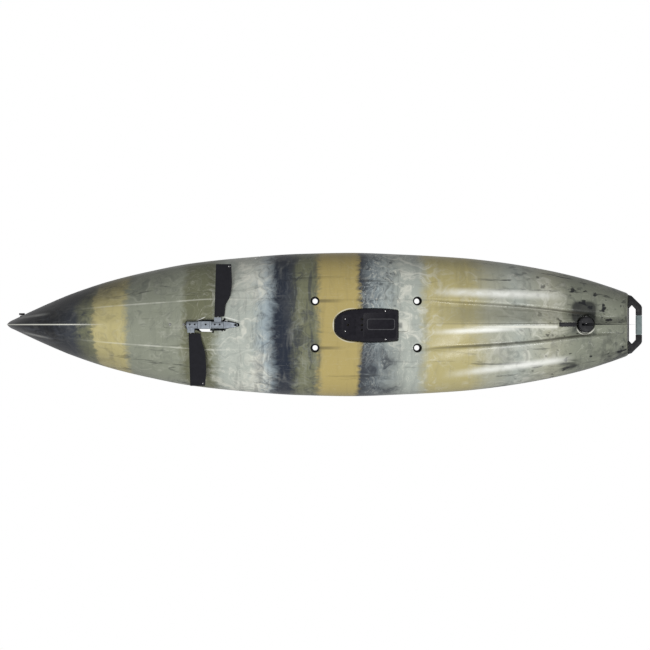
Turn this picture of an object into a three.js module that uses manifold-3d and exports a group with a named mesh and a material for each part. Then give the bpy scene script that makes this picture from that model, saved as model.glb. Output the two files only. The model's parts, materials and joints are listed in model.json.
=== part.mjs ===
// Pedal kayak, in millimetres. The bow points to -X, the deck to +Z and port to -Y.
// The origin is the middle of the overall length, on the floor that the flat bottom stands on.
import * as THREE from "three";
import { mergeVertices } from "three/addons/utils/BufferGeometryUtils.js";
import Module from "manifold-3d";

const wasm = await Module();
wasm.setup();

// Driving dimensions of the boat
const overallLength = 3888;
const sternHandleReach = 86;
const beam = 876;
const wall = 6;
const touchGap = 0.3;
const cutOverrun = 40;
const bowX = -overallLength / 2;
const sternX = overallLength / 2 - sternHandleReach;
const hullLength = sternX - bowX;
const halfBeam = beam / 2;
// A place along the boat, from its share of the hull's length behind the bow
const placeAt = (share) => Math.round(bowX + hullLength * share);

// Shape helpers
const degrees = Math.PI / 180;
const quarterTurn = Math.PI / 2;
const clampShare = (t) => Math.min(1, Math.max(0, t));

function ramp(value, from, to) {
  const t = clampShare((value - from) / (to - from));
  return t * t * (3 - 2 * t);
}

// A curve without overshoot through points given as [place, value], both in shares.
function curveThrough(shares) {
  const count = shares.length;
  const slopes = [];
  for (let i = 0; i + 1 < count; i++)
    slopes.push((shares[i + 1][1] - shares[i][1]) / (shares[i + 1][0] - shares[i][0]));
  const tangents = shares.map((_, i) => {
    if (i === 0) return slopes[0];
    if (i === count - 1) return slopes[count - 2];
    const product = slopes[i - 1] * slopes[i];
    return product <= 0 ? 0 : (2 * product) / (slopes[i - 1] + slopes[i]);
  });
  return (place) => {
    if (place <= shares[0][0]) return shares[0][1];
    if (place >= shares[count - 1][0]) return shares[count - 1][1];
    const i = shares.findIndex((point, k) => k + 1 < count && place <= shares[k + 1][0]);
    const span = shares[i + 1][0] - shares[i][0];
    const t = (place - shares[i][0]) / span;
    const rise = shares[i + 1][1] - shares[i][1];
    const bend = (1 - t) * tangents[i] - t * tangents[i + 1];
    const twist = (1 - 2 * t) * rise;
    return shares[i][1] + rise * t + t * (1 - t) * (bend * span - twist);
  };
}

function solidOf(geometry) {
  const bare = new THREE.BufferGeometry();
  bare.setAttribute("position", geometry.getAttribute("position").clone());
  if (geometry.index) bare.setIndex(geometry.index.clone());
  const merged = mergeVertices(bare.index ? bare.toNonIndexed() : bare, 1e-4);
  const made = new wasm.Manifold(
    new wasm.Mesh({
      numProp: 3,
      vertProperties: new Float32Array(merged.attributes.position.array),
      triVerts: new Uint32Array(merged.index.array),
    }),
  );
  return made;
}

function geometryOf(solid) {
  const mesh = solid.getMesh();
  const places = new Float32Array(mesh.numVert * 3);
  for (let i = 0; i < mesh.numVert; i++)
    places.set(mesh.vertProperties.subarray(i * mesh.numProp, i * mesh.numProp + 3), i * 3);
  const geometry = new THREE.BufferGeometry();
  geometry.setAttribute("position", new THREE.BufferAttribute(places, 3));
  geometry.setIndex(new THREE.BufferAttribute(new Uint32Array(mesh.triVerts), 1));
  geometry.computeVertexNormals();
  return geometry;
}

const joined = (first, ...others) => others.reduce((sum, other) => sum.add(other), first);
const carved = (first, ...others) => others.reduce((rest, other) => rest.subtract(other), first);

// A closed solid through rings of points. Each ring starts on its line of symmetry, and strips
// across that line close the ends.
function lofted(rings) {
  const around = rings[0].length;
  const places = rings.flat().flatMap((point) => [point.x, point.y, point.z]);
  const faces = [];
  for (let r = 0; r + 1 < rings.length; r++)
    for (let k = 0; k < around; k++) {
      const here = r * around + k;
      const beside = r * around + ((k + 1) % around);
      faces.push(here, beside, here + around, beside, beside + around, here + around);
    }
  [0, rings.length - 1].forEach((r, end) => {
    const at = (k) => r * around + (k % around);
    for (let k = 0; k < (around - 1) / 2; k++) {
      const [near, next, far, beyond] = [at(k), at(k + 1), at(around - k), at(around - k - 1)];
      if (k > 0) faces.push(...(end ? [near, next, far] : [next, near, far]));
      if (next !== beyond) faces.push(...(end ? [next, beyond, far] : [beyond, next, far]));
    }
  });
  const turned = [];
  for (let i = 0; i < faces.length; i += 3) turned.push(faces[i], faces[i + 2], faces[i + 1]);
  const corner = (i) => new THREE.Vector3(...places.slice(3 * i, 3 * i + 3));
  let sixfoldVolume = 0;
  for (let i = 0; i < faces.length; i += 3)
    sixfoldVolume += corner(faces[i]).dot(corner(faces[i + 1]).cross(corner(faces[i + 2])));
  const geometry = new THREE.BufferGeometry();
  geometry.setAttribute("position", new THREE.Float32BufferAttribute(places, 3));
  geometry.setIndex(sixfoldVolume > 0 ? faces : turned);
  return solidOf(geometry);
}

// A box by its lowest and highest corners.
function block(low, high) {
  const size = high.map((value, i) => value - low[i]);
  const geometry = new THREE.BoxGeometry(...size);
  geometry.translate(...high.map((value, i) => (value + low[i]) / 2));
  return solidOf(geometry);
}

// A round bar along an axis, from one place on it to another, with the other two places as its centre.
function bar(axis, from, to, radius, centre = [0, 0, 0], sides = 16, endRadius = radius) {
  const geometry = new THREE.CylinderGeometry(endRadius, radius, to - from, sides);
  if (axis === "x") geometry.rotateZ(-quarterTurn);
  if (axis === "z") geometry.rotateX(quarterTurn);
  const middle = (from + to) / 2;
  const shift = { x: [middle, centre[1], centre[2]], y: [centre[0], middle, centre[2]] };
  geometry.translate(...(shift[axis] ?? [centre[0], centre[1], middle]));
  return solidOf(geometry);
}

function outline(points) {
  const shape = new THREE.Shape();
  points.forEach(([u, v], i) => (i ? shape.lineTo(u, v) : shape.moveTo(u, v)));
  shape.closePath();
  return shape;
}

// A plate cut from a plan outline, between two heights, with an optional rounded edge.
function plate(shape, low, high, edge = 0, curveSegments = 6) {
  const geometry = new THREE.ExtrudeGeometry(shape, {
    depth: high - low - 2 * edge,
    bevelEnabled: edge > 0,
    bevelThickness: edge,
    bevelSize: edge,
    bevelOffset: -edge,
    bevelSegments: 1,
    curveSegments,
  });
  geometry.translate(0, 0, low + edge);
  return solidOf(geometry);
}

// The same for a side view: the outline is in X and Z, and the plate runs from port to starboard.
function sidePlate(shape, port, starboard, edge = 0, curveSegments = 6) {
  const geometry = new THREE.ExtrudeGeometry(shape, {
    depth: starboard - port - 2 * edge,
    bevelEnabled: edge > 0,
    bevelThickness: edge,
    bevelSize: edge,
    bevelOffset: -edge,
    bevelSegments: 1,
    curveSegments,
  });
  geometry.rotateX(quarterTurn);
  geometry.translate(0, starboard - edge, 0);
  return solidOf(geometry);
}

function roundedRectangle(length, width, radius) {
  const shape = new THREE.Shape();
  const x = length / 2;
  const y = width / 2;
  shape.moveTo(-x + radius, -y);
  shape.lineTo(x - radius, -y);
  shape.absarc(x - radius, -y + radius, radius, -quarterTurn, 0);
  shape.lineTo(x, y - radius);
  shape.absarc(x - radius, y - radius, radius, 0, quarterTurn);
  shape.lineTo(-x + radius, y);
  shape.absarc(-x + radius, y - radius, radius, quarterTurn, 2 * quarterTurn);
  shape.lineTo(-x, -y + radius);
  shape.absarc(-x + radius, -y + radius, radius, 2 * quarterTurn, 3 * quarterTurn);
  return shape;
}

// Materials
function finish(color, roughness, metalness = 0) {
  return new THREE.MeshStandardMaterial({ color, roughness, metalness });
}
const hullPlastic = finish(0x9c9a72, 0.4);
const blackPlastic = finish(0x16171a, 0.5);
const lidPlastic = finish(0x1d2022, 0.55);
const finRubber = finish(0x1b1c20, 0.6);
const driveMetal = finish(0x9aa4b4, 0.38, 0.8);
const steel = finish(0xc9ccd0, 0.25, 1);
const gripRubber = finish(0x77888a, 0.7);
const sealRubber = finish(0x101112, 0.8);
const railMetal = finish(0x8e9196, 0.35, 0.9);
const seatFabric = finish(0x2d3134, 0.9);

const kayak = new THREE.Group();

function addPiece(name, material, solid, group = kayak) {
  const mesh = new THREE.Mesh(geometryOf(solid), material);
  mesh.name = name;
  group.add(mesh);
  return mesh;
}

// Hull lines, as shares of the hull's length from the bow and of the size that each one follows.
// Half breadth at the gunwale, as shares of half the beam
const breadthShares = [
  [0, 0.03],
  [0.0025, 0.052],
  [0.009, 0.077],
  [0.0315, 0.169],
  [0.06, 0.281],
  [0.1025, 0.434],
  [0.167, 0.616],
  [0.2315, 0.749],
  [0.296, 0.854],
  [0.3765, 0.929],
  [0.473, 0.986],
  [0.555, 1],
  [0.634, 0.977],
  [0.731, 0.929],
  [0.795, 0.868],
  [0.86, 0.776],
  [0.9245, 0.651],
  [0.972, 0.525],
  [1, 0.438],
];
const hullDepth = 300;
const sheerShares = [
  [0, 1.317],
  [0.1, 1.253],
  [0.25, 1.117],
  [0.4, 1.013],
  [0.6, 0.973],
  [0.8, 0.987],
  [1, 1.04],
];
// Height of the keel line over the floor
const keelShares = [
  [0, 1],
  [0.006, 0.783],
  [0.02, 0.55],
  [0.05, 0.36],
  [0.1, 0.247],
  [0.17, 0.167],
  [0.25, 0.132],
  [0.31, 0.127],
  [0.35, 0.118],
  [0.385, 0.072],
  [0.425, 0.02],
  [0.46, 0],
  [0.76, 0],
  [0.85, 0.045],
  [0.9, 0.11],
  [0.925, 0.157],
  [0.96, 0.24],
  [1, 0.36],
];
// Where the edge of the centre plank, or of the keel aft, runs
const plankShares = [
  [0, 0.02],
  [0.05, 0.13],
  [0.099, 0.183],
  [0.18, 0.251],
  [0.27, 0.306],
  [0.341, 0.345],
  [0.497, 0.32],
  [0.656, 0.315],
  [0.692, 0.292],
  [0.785, 0.244],
  [0.847, 0.199],
  [0.879, 0.167],
  [0.925, 0.12],
  [1, 0.09],
];
// Roundness of the sections: 1 is a straight V, and more is a flatter bottom
const fullnessShares = [
  [0, 1.15],
  [0.08, 1.25],
  [0.18, 1.7],
  [0.28, 1.95],
  [0.37, 2.1],
  [0.46, 2.3],
  [0.75, 2.4],
  [1, 2.3],
];
const sideShares = [
  [0, 1.45],
  [0.15, 1.65],
  [0.35, 2],
  [0.8, 2.1],
  [1, 2.1],
];
const crownShares = [
  [0, 0.03],
  [0.1, 0.075],
  [0.3, 0.05],
  [0.5, 0.03],
  [1, 0.05],
];
const breadthCurve = curveThrough(breadthShares);
const sheerCurve = curveThrough(sheerShares);
const keelCurve = curveThrough(keelShares);
const plankCurve = curveThrough(plankShares);
const fullnessCurve = curveThrough(fullnessShares);
const sideCurve = curveThrough(sideShares);
const crownCurve = curveThrough(crownShares);

const rimRadius = 16;
const plankStep = 3;
const plankEdge = 14;
const valleyRise = 30;
const sponsonRise = 5;
const valleyWall = 26;
const ridgeDepth = 6;
const ridgeWidth = 34;

const along = (x) => (x - bowX) / hullLength;
const halfBreadth = (x) => halfBeam * breadthCurve(along(x));
const sheer = (x) => hullDepth * sheerCurve(along(x));
const keel = (x) => hullDepth * keelCurve(along(x));
const plankHalf = (x) => halfBeam * plankCurve(along(x));
const crown = (x) => hullDepth * crownCurve(along(x));
// The bottom is truly flat between the two middle shares, and fades out to the outer two.
const flatSpanShares = [0.37, 0.46, 0.68, 0.8];
const plankSpanShares = [0.3, 0.42, 0.62, 0.72];
const valleySpanShares = [0.64, 0.78, 0.925, 0.985];
const ridgeSpanShares = [0.02, 0.09, 0.24, 0.32];
const valleyPower = 1.3;
const sideFadeShare = 0.8;
function spanWeight(place, [from, full, until, to]) {
  return ramp(place, from, full) * (1 - ramp(place, until, to));
}
const flatHalf = (x) => plankHalf(x) * spanWeight(along(x), flatSpanShares);
const rimAt = (x) => Math.min(rimRadius, halfBreadth(x) / 2);

// Height of the bottom over the floor, at a distance from the centreline
function bottomHeight(x, out) {
  const s = along(x);
  const full = fullnessCurve(s);
  const side = sideCurve(s);
  const share = clampShare((out - flatHalf(x)) / (halfBreadth(x) - flatHalf(x)));
  const depth = sheer(x) - rimAt(x) - keel(x);
  const base = keel(x) + depth * (1 - (1 - share ** full) ** (1 / side));
  const line = plankHalf(x);
  const middleWeight = spanWeight(s, plankSpanShares);
  const aftWeight = spanWeight(s, valleySpanShares);
  const foreWeight = spanWeight(s, ridgeSpanShares);
  const step = plankStep * ramp(out, line, line + plankEdge);
  const inner = valleyRise * Math.min(1, out / line) ** valleyPower;
  const drop = (valleyRise - sponsonRise) * ramp(out, line, line + valleyWall);
  const fade = sponsonRise * ramp(out, line + valleyWall, halfBreadth(x));
  const ridge = ridgeDepth * Math.exp(-(((out - line) / ridgeWidth) ** 2));
  const sideFade = 1 - ramp(share, sideFadeShare, 1);
  const shape = middleWeight * step + aftWeight * (inner - drop - fade) - foreWeight * ridge;
  return base + sideFade * shape;
}

const deckHeight = (x, out) => sheer(x) + crown(x) * (1 - clampShare(out / halfBreadth(x)) ** 2);

// Distance from the centreline at which the plain section reaches a height
function skinAt(x, height) {
  const s = along(x);
  const share = clampShare((height - keel(x)) / (sheer(x) - rimAt(x) - keel(x)));
  const reach = (1 - (1 - share) ** sideCurve(s)) ** (1 / fullnessCurve(s));
  return flatHalf(x) + (halfBreadth(x) - flatHalf(x)) * reach;
}

// One ring of the hull, from the keel round the starboard side, over the deck and back
const keelSteps = 3;
const bilgeSteps = 6;
const deckSteps = 3;
const innerBilgeSteps = 4;
const innerDeckSteps = 2;
const bilgeStartShare = 0.72;

function hullRing(x, inset) {
  const bilge = inset ? innerBilgeSteps : bilgeSteps;
  const deck = inset ? innerDeckSteps : deckSteps;
  const breadth = halfBreadth(x);
  const rim = rimAt(x);
  const half = [];
  const line = Math.min(plankHalf(x), breadth * bilgeStartShare * bilgeStartShare);
  const start = Math.min(line + valleyWall, breadth * bilgeStartShare);
  for (let k = 0; k <= keelSteps; k++) {
    const out = (line * k) / keelSteps;
    half.push([out, bottomHeight(x, out)]);
  }
  half.push([start, bottomHeight(x, start)]);
  for (let k = 1; k <= bilge; k++) {
    const out = start + (breadth - start) * Math.sin((quarterTurn * k) / bilge);
    half.push([out, bottomHeight(x, out)]);
  }
  const corner = rim - rim * Math.SQRT1_2;
  half.push([breadth - corner, sheer(x) - corner]);
  for (let k = 0; k <= deck; k++) {
    const out = (breadth - rim) * (1 - k / deck);
    half.push([out, k ? deckHeight(x, out) : sheer(x)]);
  }
  const shrink = (breadth - inset) / breadth;
  const squeeze = (sheer(x) - keel(x) - 2 * inset) / (sheer(x) - keel(x));
  const ring = half.map(([out, height]) => {
    const over = Math.max(0, height - sheer(x));
    const raised = keel(x) + inset + (height - over - keel(x)) * squeeze + over;
    return new THREE.Vector3(x, out * shrink, raised);
  });
  const mirrored = ring.slice(1, -1).reverse();
  return [...ring, ...mirrored.map((point) => new THREE.Vector3(point.x, -point.y, point.z))];
}

const hullStations = 32;
const cavityStations = 18;
const cavityBowShare = 0.03;

// The transom leans forward below the stern handle
const rakeReach = 46;
const rakeTop = 256;
const rakeLow = 90;

function rakeWedge(inset) {
  const lean = outline([
    [sternX - inset, rakeTop],
    [sternX - rakeReach - inset, rakeLow],
    [sternX + wall, rakeLow],
    [sternX + wall, rakeTop],
  ]);
  return sidePlate(lean, -halfBeam, halfBeam);
}

function hullBody() {
  const rings = [];
  for (let k = 0; k <= hullStations; k++) {
    const share = (1 - Math.cos((Math.PI * k) / hullStations)) / 2;
    rings.push(hullRing(bowX + hullLength * share, 0));
  }
  return lofted(rings).subtract(rakeWedge(0));
}

function hullCavity() {
  const rings = [];
  const from = bowX + hullLength * cavityBowShare;
  const to = sternX - wall;
  for (let k = 0; k <= cavityStations; k++) {
    const share = (1 - Math.cos((Math.PI * k) / cavityStations)) / 2;
    rings.push(hullRing(from + (to - from) * share, wall));
  }
  return lofted(rings).subtract(rakeWedge(wall));
}

// A closed plan outline with rounded ends, at one height or on a height that changes with X
function planRing(from, to, halfWidthAt, heightAt, steps, roundness) {
  const middle = (from + to) / 2;
  const reach = (to - from) / 2;
  const ring = [];
  for (let k = 0; k < 2 * steps; k++) {
    const share = Math.cos((Math.PI * k) / steps);
    const close = (1 - Math.min(1, Math.abs(share)) ** roundness) ** (1 / roundness);
    const x = middle + reach * share;
    const y = (k < steps ? 1 : -1) * halfWidthAt(x) * close;
    ring.push(new THREE.Vector3(x, y, heightAt(x)));
  }
  return ring;
}

// Cockpit well, with its floor rising to the bow
const cockpitFrontShare = 0.2246;
const cockpitFrontX = placeAt(cockpitFrontShare);
const cockpitBackShare = 0.6796;
const cockpitBackX = placeAt(cockpitBackShare);
const cockpitFloor = 84;
const cockpitFrontRise = 52;
const sideDeck = 106;
const doubleWall = 38;
const footwellEndShare = 0.364;
const footwellEndX = placeAt(footwellEndShare);
const cockpitSlopeFront = 120;
const cockpitSlopeBack = 46;
const floorRound = 22;
const basinSteps = 13;
const basinRoundness = 6;
const deckClear = 90;
const floorHeight = (x) =>
  cockpitFloor + cockpitFrontRise * (1 - ramp(x, cockpitFrontX, footwellEndX));
const basinLevelShares = [0, 0.12, 0.42, 1];

function basin(front, back, floorAt, sideInset, slopeFront, slopeBack, grow) {
  const rings = basinLevelShares.map((share, level) => {
    const shrink = level ? 0 : floorRound;
    const lean = 1 - share;
    const heightAt = (x) => {
      const low = floorAt(x) - grow;
      return low + (sheer(x) + deckClear - low) * share;
    };
    const widthAt = (x) => {
      const top = halfBreadth(x) - sideInset;
      return Math.min(top, skinAt(x, heightAt(x) + grow) - doubleWall) - shrink + grow;
    };
    const from = front + slopeFront * lean + shrink - grow;
    const to = back - slopeBack * lean - shrink + grow;
    return planRing(from, to, widthAt, heightAt, basinSteps, basinRoundness);
  });
  return lofted(rings);
}

const cockpit = (grow) =>
  basin(
    cockpitFrontX, cockpitBackX, floorHeight, sideDeck, cockpitSlopeFront, cockpitSlopeBack, grow,
  );

// Cargo well behind the seat
const cargoFrontShare = 0.7091;
const cargoFrontX = placeAt(cargoFrontShare);
const cargoBackShare = 0.9058;
const cargoBackX = placeAt(cargoBackShare);
const cargoFloor = 158;
const cargoInset = 92;
const cargoSlope = 34;
const cargo = (grow) =>
  basin(cargoFrontX, cargoBackX, () => cargoFloor, cargoInset, cargoSlope, cargoSlope, grow);

// Drive: where its parts lie along the boat, and the height of the fins' axis
const driveY = 3;
const finAxisZ = 22;
const drumRadius = 19;
const frontDrumShare = 0.2977;
const frontDrumX = placeAt(frontDrumShare);
const frontDrumLength = 65;
const drumPitch = 150;
const rearDrumX = frontDrumX + drumPitch;
const rearDrumLength = 69;
const drumClear = 1.5;
const drumBackX = frontDrumX + frontDrumLength;
const rearDrumBackX = rearDrumX + rearDrumLength;
const hangerThick = 7;
const spineHalf = 21;
const tailLength = 84;
const tailEndHalf = 11;

// The slot through the console and the bottom. It keeps close to the drive, and narrows to its tail.
const slotFrontMargin = 4.5;
const slotBackMargin = 8;
const slotFrontX = frontDrumX - drumClear - hangerThick - slotFrontMargin;
const slotBackX = rearDrumBackX + tailLength + slotBackMargin;
const slotHalf = 43;
const slotTailHalf = 27;
const slotTaperAhead = 15;
const slotTaperBehind = 50;
const slotRoundness = 4.5;
const slotSteps = 14;
const consoleTop = 150;
const slotHalfAt = (x) => {
  const taper = ramp(x, rearDrumBackX - slotTaperAhead, rearDrumBackX + slotTaperBehind);
  return slotHalf - (slotHalf - slotTailHalf) * taper;
};

function driveSlot(grow) {
  const rings = [-cutOverrun, consoleTop + cutOverrun].map((height) =>
    planRing(
      slotFrontX - grow,
      slotBackX + grow,
      (x) => slotHalfAt(x) + grow,
      () => height,
      slotSteps,
      slotRoundness,
    ),
  );
  return lofted(rings);
}

// Centre console, which carries the drive and the round hatch
const consoleAhead = 120;
const consoleFrontX = slotFrontX - consoleAhead;
const roundHatchBehind = 171;
const roundHatchX = slotBackX + roundHatchBehind;
const consoleBehind = 140;
const consoleBackX = roundHatchX + consoleBehind;
const consoleHalf = 98;
const consoleFlare = 16;
const consoleEdge = 10;
const consoleSteps = 9;
const consoleRoundness = 5;

function centreConsole(inset) {
  const levels = [
    [cockpitFloor - cutOverrun, consoleFlare],
    [consoleTop - consoleEdge, 0],
    [consoleTop, -consoleEdge],
  ];
  const rings = levels.map(([height, flare]) => {
    const top = height - (height > cockpitFloor ? inset : 0);
    return planRing(
      consoleFrontX - flare + inset,
      consoleBackX + flare - inset,
      () => consoleHalf + flare - inset,
      () => top,
      consoleSteps,
      consoleRoundness,
    );
  });
  return lofted(rings);
}

// Scupper tubes, wide at the bottom and narrow at the cockpit floor
const scupperFrontShare = 0.4979;
const scupperFrontX = placeAt(scupperFrontShare);
const scupperBackShare = 0.6573;
const scupperBackX = placeAt(scupperBackShare);
const scupperOutShare = 0.3174;
const scupperOut = halfBeam * scupperOutShare;
const scupperLowRadius = 26;
const scupperHighRadius = 16.5;
const scupperSides = 12;

function scuppers(grow) {
  const tubes = [];
  for (const x of [scupperFrontX, scupperBackX])
    for (const y of [-scupperOut, scupperOut]) {
      const low = scupperLowRadius + grow;
      const high = scupperHighRadius + grow;
      tubes.push(bar("z", -touchGap, cockpitFloor, low, [x, y, 0], scupperSides, high));
      tubes.push(bar("z", cockpitFloor - wall, cockpitFloor + cutOverrun, high, [x, y, 0], scupperSides));
    }
  return joined(...tubes);
}

// Transducer shield and its pocket in the bottom
const shieldFrontShare = 0.5288;
const shieldFrontX = placeAt(shieldFrontShare);
const shieldLength = 374;
const shieldY = 5;
const shieldBackX = shieldFrontX + shieldLength;
const shieldHalf = 98;
const shieldCheekHalf = 91;
const shieldBackHalf = 90;
const shieldNose = 105;
const shieldCorner = 16;
const shieldCheekShare = 0.63;
const shieldTaperShare = 0.57;
const shieldFlatShare = 0.28;
const shieldThick = 5;
const shieldRecess = 1;
const shieldMargin = 4;
const shieldPocketDepth = 30;

function shieldOutline(grow) {
  const front = shieldFrontX - grow;
  const back = shieldBackX + grow;
  const cheekHalf = shieldCheekHalf + grow;
  const backHalf = shieldBackHalf + grow;
  const corner = back - shieldCorner;
  const cheek = front + shieldNose;
  const taper = front + shieldNose * shieldTaperShare;
  const bulge = cheekHalf * shieldCheekShare;
  const flat = cheekHalf * shieldFlatShare;
  const widest = (cheek + corner) / 2;
  const swell = 2 * (shieldHalf + grow) - (cheekHalf + backHalf) / 2;
  const shape = new THREE.Shape();
  shape.moveTo(cheek, -cheekHalf);
  shape.quadraticCurveTo(widest, -swell, corner, -backHalf);
  shape.quadraticCurveTo(back, -backHalf, back, -backHalf + shieldCorner);
  shape.lineTo(back, backHalf - shieldCorner);
  shape.quadraticCurveTo(back, backHalf, corner, backHalf);
  shape.quadraticCurveTo(widest, swell, cheek, cheekHalf);
  shape.bezierCurveTo(taper, cheekHalf, front, bulge, front, flat);
  shape.lineTo(front, -flat);
  shape.bezierCurveTo(front, -bulge, taper, -cheekHalf, cheek, -cheekHalf);
  return shape;
}

function shieldPocket(grow) {
  const around = shieldOutline(shieldMargin + grow);
  return plate(around, -cutOverrun, shieldPocketDepth + grow, 0, 4).translate([0, shieldY, 0]);
}

// Worn strip at the end of the keel, in its own slot
const rudderShare = 0.9216;
const rudderX = placeAt(rudderShare);
const skidAhead = 160;
const skidFrontX = rudderX - skidAhead;
const skidLength = 104;
const skidWidth = 22;
const skidThick = 8;
const skidMargin = 3;
const skidDepth = 14;
const skidZ = keel(skidFrontX + skidLength / 2);
const skidPitch = Math.atan2(keel(skidFrontX + skidLength) - keel(skidFrontX), skidLength);

function skidBlock(grow, low, high) {
  const halfLength = skidLength / 2 + grow;
  const halfWidth = skidWidth / 2 + grow;
  const geometry = new THREE.BoxGeometry(2 * halfLength, 2 * halfWidth, high - low);
  geometry.translate(0, 0, (high + low) / 2);
  geometry.rotateY(-skidPitch);
  geometry.translate(skidFrontX + skidLength / 2, 0, skidZ);
  return solidOf(geometry);
}

// Rudder: the round recess, the turret in it and the post that turns in the boss
const recessRadius = 55;
const recessTop = 84;
const turretRadius = 47;
const turretBottom = 29;
const postRadius = 9;
const postTop = 128;
const postClear = 0.6;
const bossRadius = 20;
const bossTop = 136;
const turretSides = 24;

function rudderRecess(grow) {
  const pit = bar("z", -cutOverrun, recessTop + grow, recessRadius + grow, [rudderX, 0, 0], turretSides);
  const bore = bar("z", recessTop - wall, postTop + wall / 2, postRadius + postClear, [rudderX, 0, 0]);
  const boss = bar("z", recessTop - wall, bossTop, bossRadius, [rudderX, 0, 0]);
  return joined(pit, grow ? boss : bore);
}

// Bow hatch, set out in a tilted frame of its own
const hatchShare = 0.1312;
const hatchX = placeAt(hatchShare);
const hatchLength = 470;
const hatchFrontHalf = 52;
const hatchBackHalf = 178;
const hatchRim = 15;
const hatchStand = 8;
const hatchSink = 60;
const hatchFrontZ = deckHeight(hatchX - hatchLength / 2, 0);
const hatchBackZ = deckHeight(hatchX + hatchLength / 2, 0);
const hatchPitch = Math.atan2(hatchFrontZ - hatchBackZ, hatchLength);
const hatchZ = (hatchFrontZ + hatchBackZ) / 2 + hatchStand;
const hatchSteps = 8;
const hatchRoundness = 4;

function hatchRing(grow, height) {
  const from = -hatchLength / 2 - grow;
  const to = hatchLength / 2 + grow;
  const widthAt = (x) => {
    const share = (x + hatchLength / 2) / hatchLength;
    return hatchFrontHalf + (hatchBackHalf - hatchFrontHalf) * share + grow;
  };
  return planRing(from, to, widthAt, () => height, hatchSteps, hatchRoundness);
}

const hatchStack = (levels) => lofted(levels.map(([grow, height]) => hatchRing(grow, height)));
const hatchTilt = hatchPitch / degrees;
const atHatch = (solid) => solid.rotate([0, hatchTilt, 0]).translate([hatchX, 0, hatchZ]);

// Round hatch in the console
const roundHatchRadius = 62;
const roundHatchFlange = 80;
const roundHatchHigh = 7;
const roundHatchClear = 1;
const roundHatchSides = 24;

// Rod holders beside the bulkhead, leaning aft
const rodShare = 0.6944;
const rodX = placeAt(rodShare);
const rodInset = 98;
const rodY = halfBreadth(rodX) - rodInset;
const rodLeanDegrees = 24;
const rodBore = 21;
const rodWall = 3;
const rodDepth = 150;
const rodFlangeThick = 5;
const rodFlangeInset = 2;
const rodSides = 14;

function atRod(solid, side) {
  const seat = sheer(rodX);
  return solid.rotate([0, rodLeanDegrees, 0]).translate([rodX, side * rodY, seat]);
}

function rodWell(grow) {
  const radius = rodBore + rodWall + touchGap + grow;
  const tube = (side) =>
    atRod(bar("z", -rodDepth - wall - grow, cutOverrun, radius, [0, 0, 0], rodSides), side);
  return joined(tube(-1), tube(1));
}

// Gear rails on the side decks, let into the plastic
const railShare = 0.4456;
const railX = placeAt(railShare);
const railLength = 400;
const railWidth = 32;
const railThick = 11;
const railProud = 3;
const railInset = 56;
const railYaw = Math.atan2(
  halfBreadth(railX + railLength / 2) - halfBreadth(railX - railLength / 2),
  railLength,
);
const railSeat = sheer(railX + railLength / 2) - railThick + railProud;

function atRail(solid, side) {
  const y = side * (halfBreadth(railX) - railInset);
  return solid.rotate([0, 0, (side * railYaw) / degrees]).translate([railX, y, railSeat]);
}

function railPocket(grow) {
  const x = railLength / 2 + touchGap + grow;
  const y = railWidth / 2 + touchGap + grow;
  const low = -touchGap - grow;
  return joined(
    atRail(block([-x, -y, low], [x, y, cutOverrun]), -1),
    atRail(block([-x, -y, low], [x, y, cutOverrun]), 1),
  );
}

// Folding side handles, in ears moulded on the side decks
const sideHandleShare = 0.5613;
const sideHandleX = placeAt(sideHandleShare);
const sideHandleInset = 60;
const sideHandleLength = 190;
const earThick = 12;
const earHalf = 9;
const sidePivotRise = 14;
const trunnionRadius = 4.5;
const runClear = 0.4;
const handleZ = sheer(sideHandleX);
const handleY = halfBreadth(sideHandleX) - sideHandleInset;

function sideEars(side) {
  const reach = sideHandleLength / 2;
  const y = side * handleY;
  const z = handleZ + sidePivotRise;
  const ears = [-1, 1].map((end) => {
    const from = sideHandleX + (end < 0 ? -reach - earThick : reach);
    const foot = [from, y - earHalf, handleZ - 2 * wall];
    const head = [from + earThick, y + earHalf, z];
    return block(foot, head).add(bar("x", from, from + earThick, earHalf, [0, y, z], 16));
  });
  return joined(...ears);
}

const sideEarBores = (side) =>
  bar(
    "x",
    sideHandleX - sideHandleLength,
    sideHandleX + sideHandleLength,
    trunnionRadius + runClear,
    [0, side * handleY, handleZ + sidePivotRise],
    12,
  );

// Steering lever on the port side deck
const leverShare = 0.5139;
const leverX = placeAt(leverShare);
const leverInset = 60;
const leverPadRadius = 24;
const leverPadRise = 4;
const leverBore = 7;
const leverBoreDepth = 20;
const leverPadZ = sheer(leverX) + leverPadRise;
const leverY = -(halfBreadth(leverX) - leverInset);

// Pads under the rod holders' flanges
const rodPadRise = 7;
const rodPadRadius = 37;
const rodPadZ = sheer(rodX) + rodPadRise;

// Screws in the keel ahead of the drive, set in by their own depth
const keelScrewRadius = 5.5;
const keelScrewDepth = 7;
const keelScrewAhead = 15;
const keelScrewPitch = 84;
const keelScrewBackX = slotFrontX - keelScrewAhead;
const keelScrewPlaces = [keelScrewBackX - keelScrewPitch, keelScrewBackX];

// Drain plug in the stern deck
const drainShare = 0.9584;
const drainX = placeAt(drainShare);
const drainRadius = 17;
const drainFlange = 23;
const drainDepth = 16;
const drainPadRise = 3;
const drainPadZ = deckHeight(drainX, 0) + drainPadRise;

// Seat of the bow toggle's bracket, cut into the port edge of the foredeck
const toggleShare = 0.0195;
const toggleX = placeAt(toggleShare);
const toggleSeatHalf = 11;
const toggleSeatInset = 20;
const toggleSeatY = toggleSeatInset - halfBreadth(toggleX);
const toggleSeatDrop = 10;
const toggleSeatZ = sheer(toggleX) - toggleSeatDrop;

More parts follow.
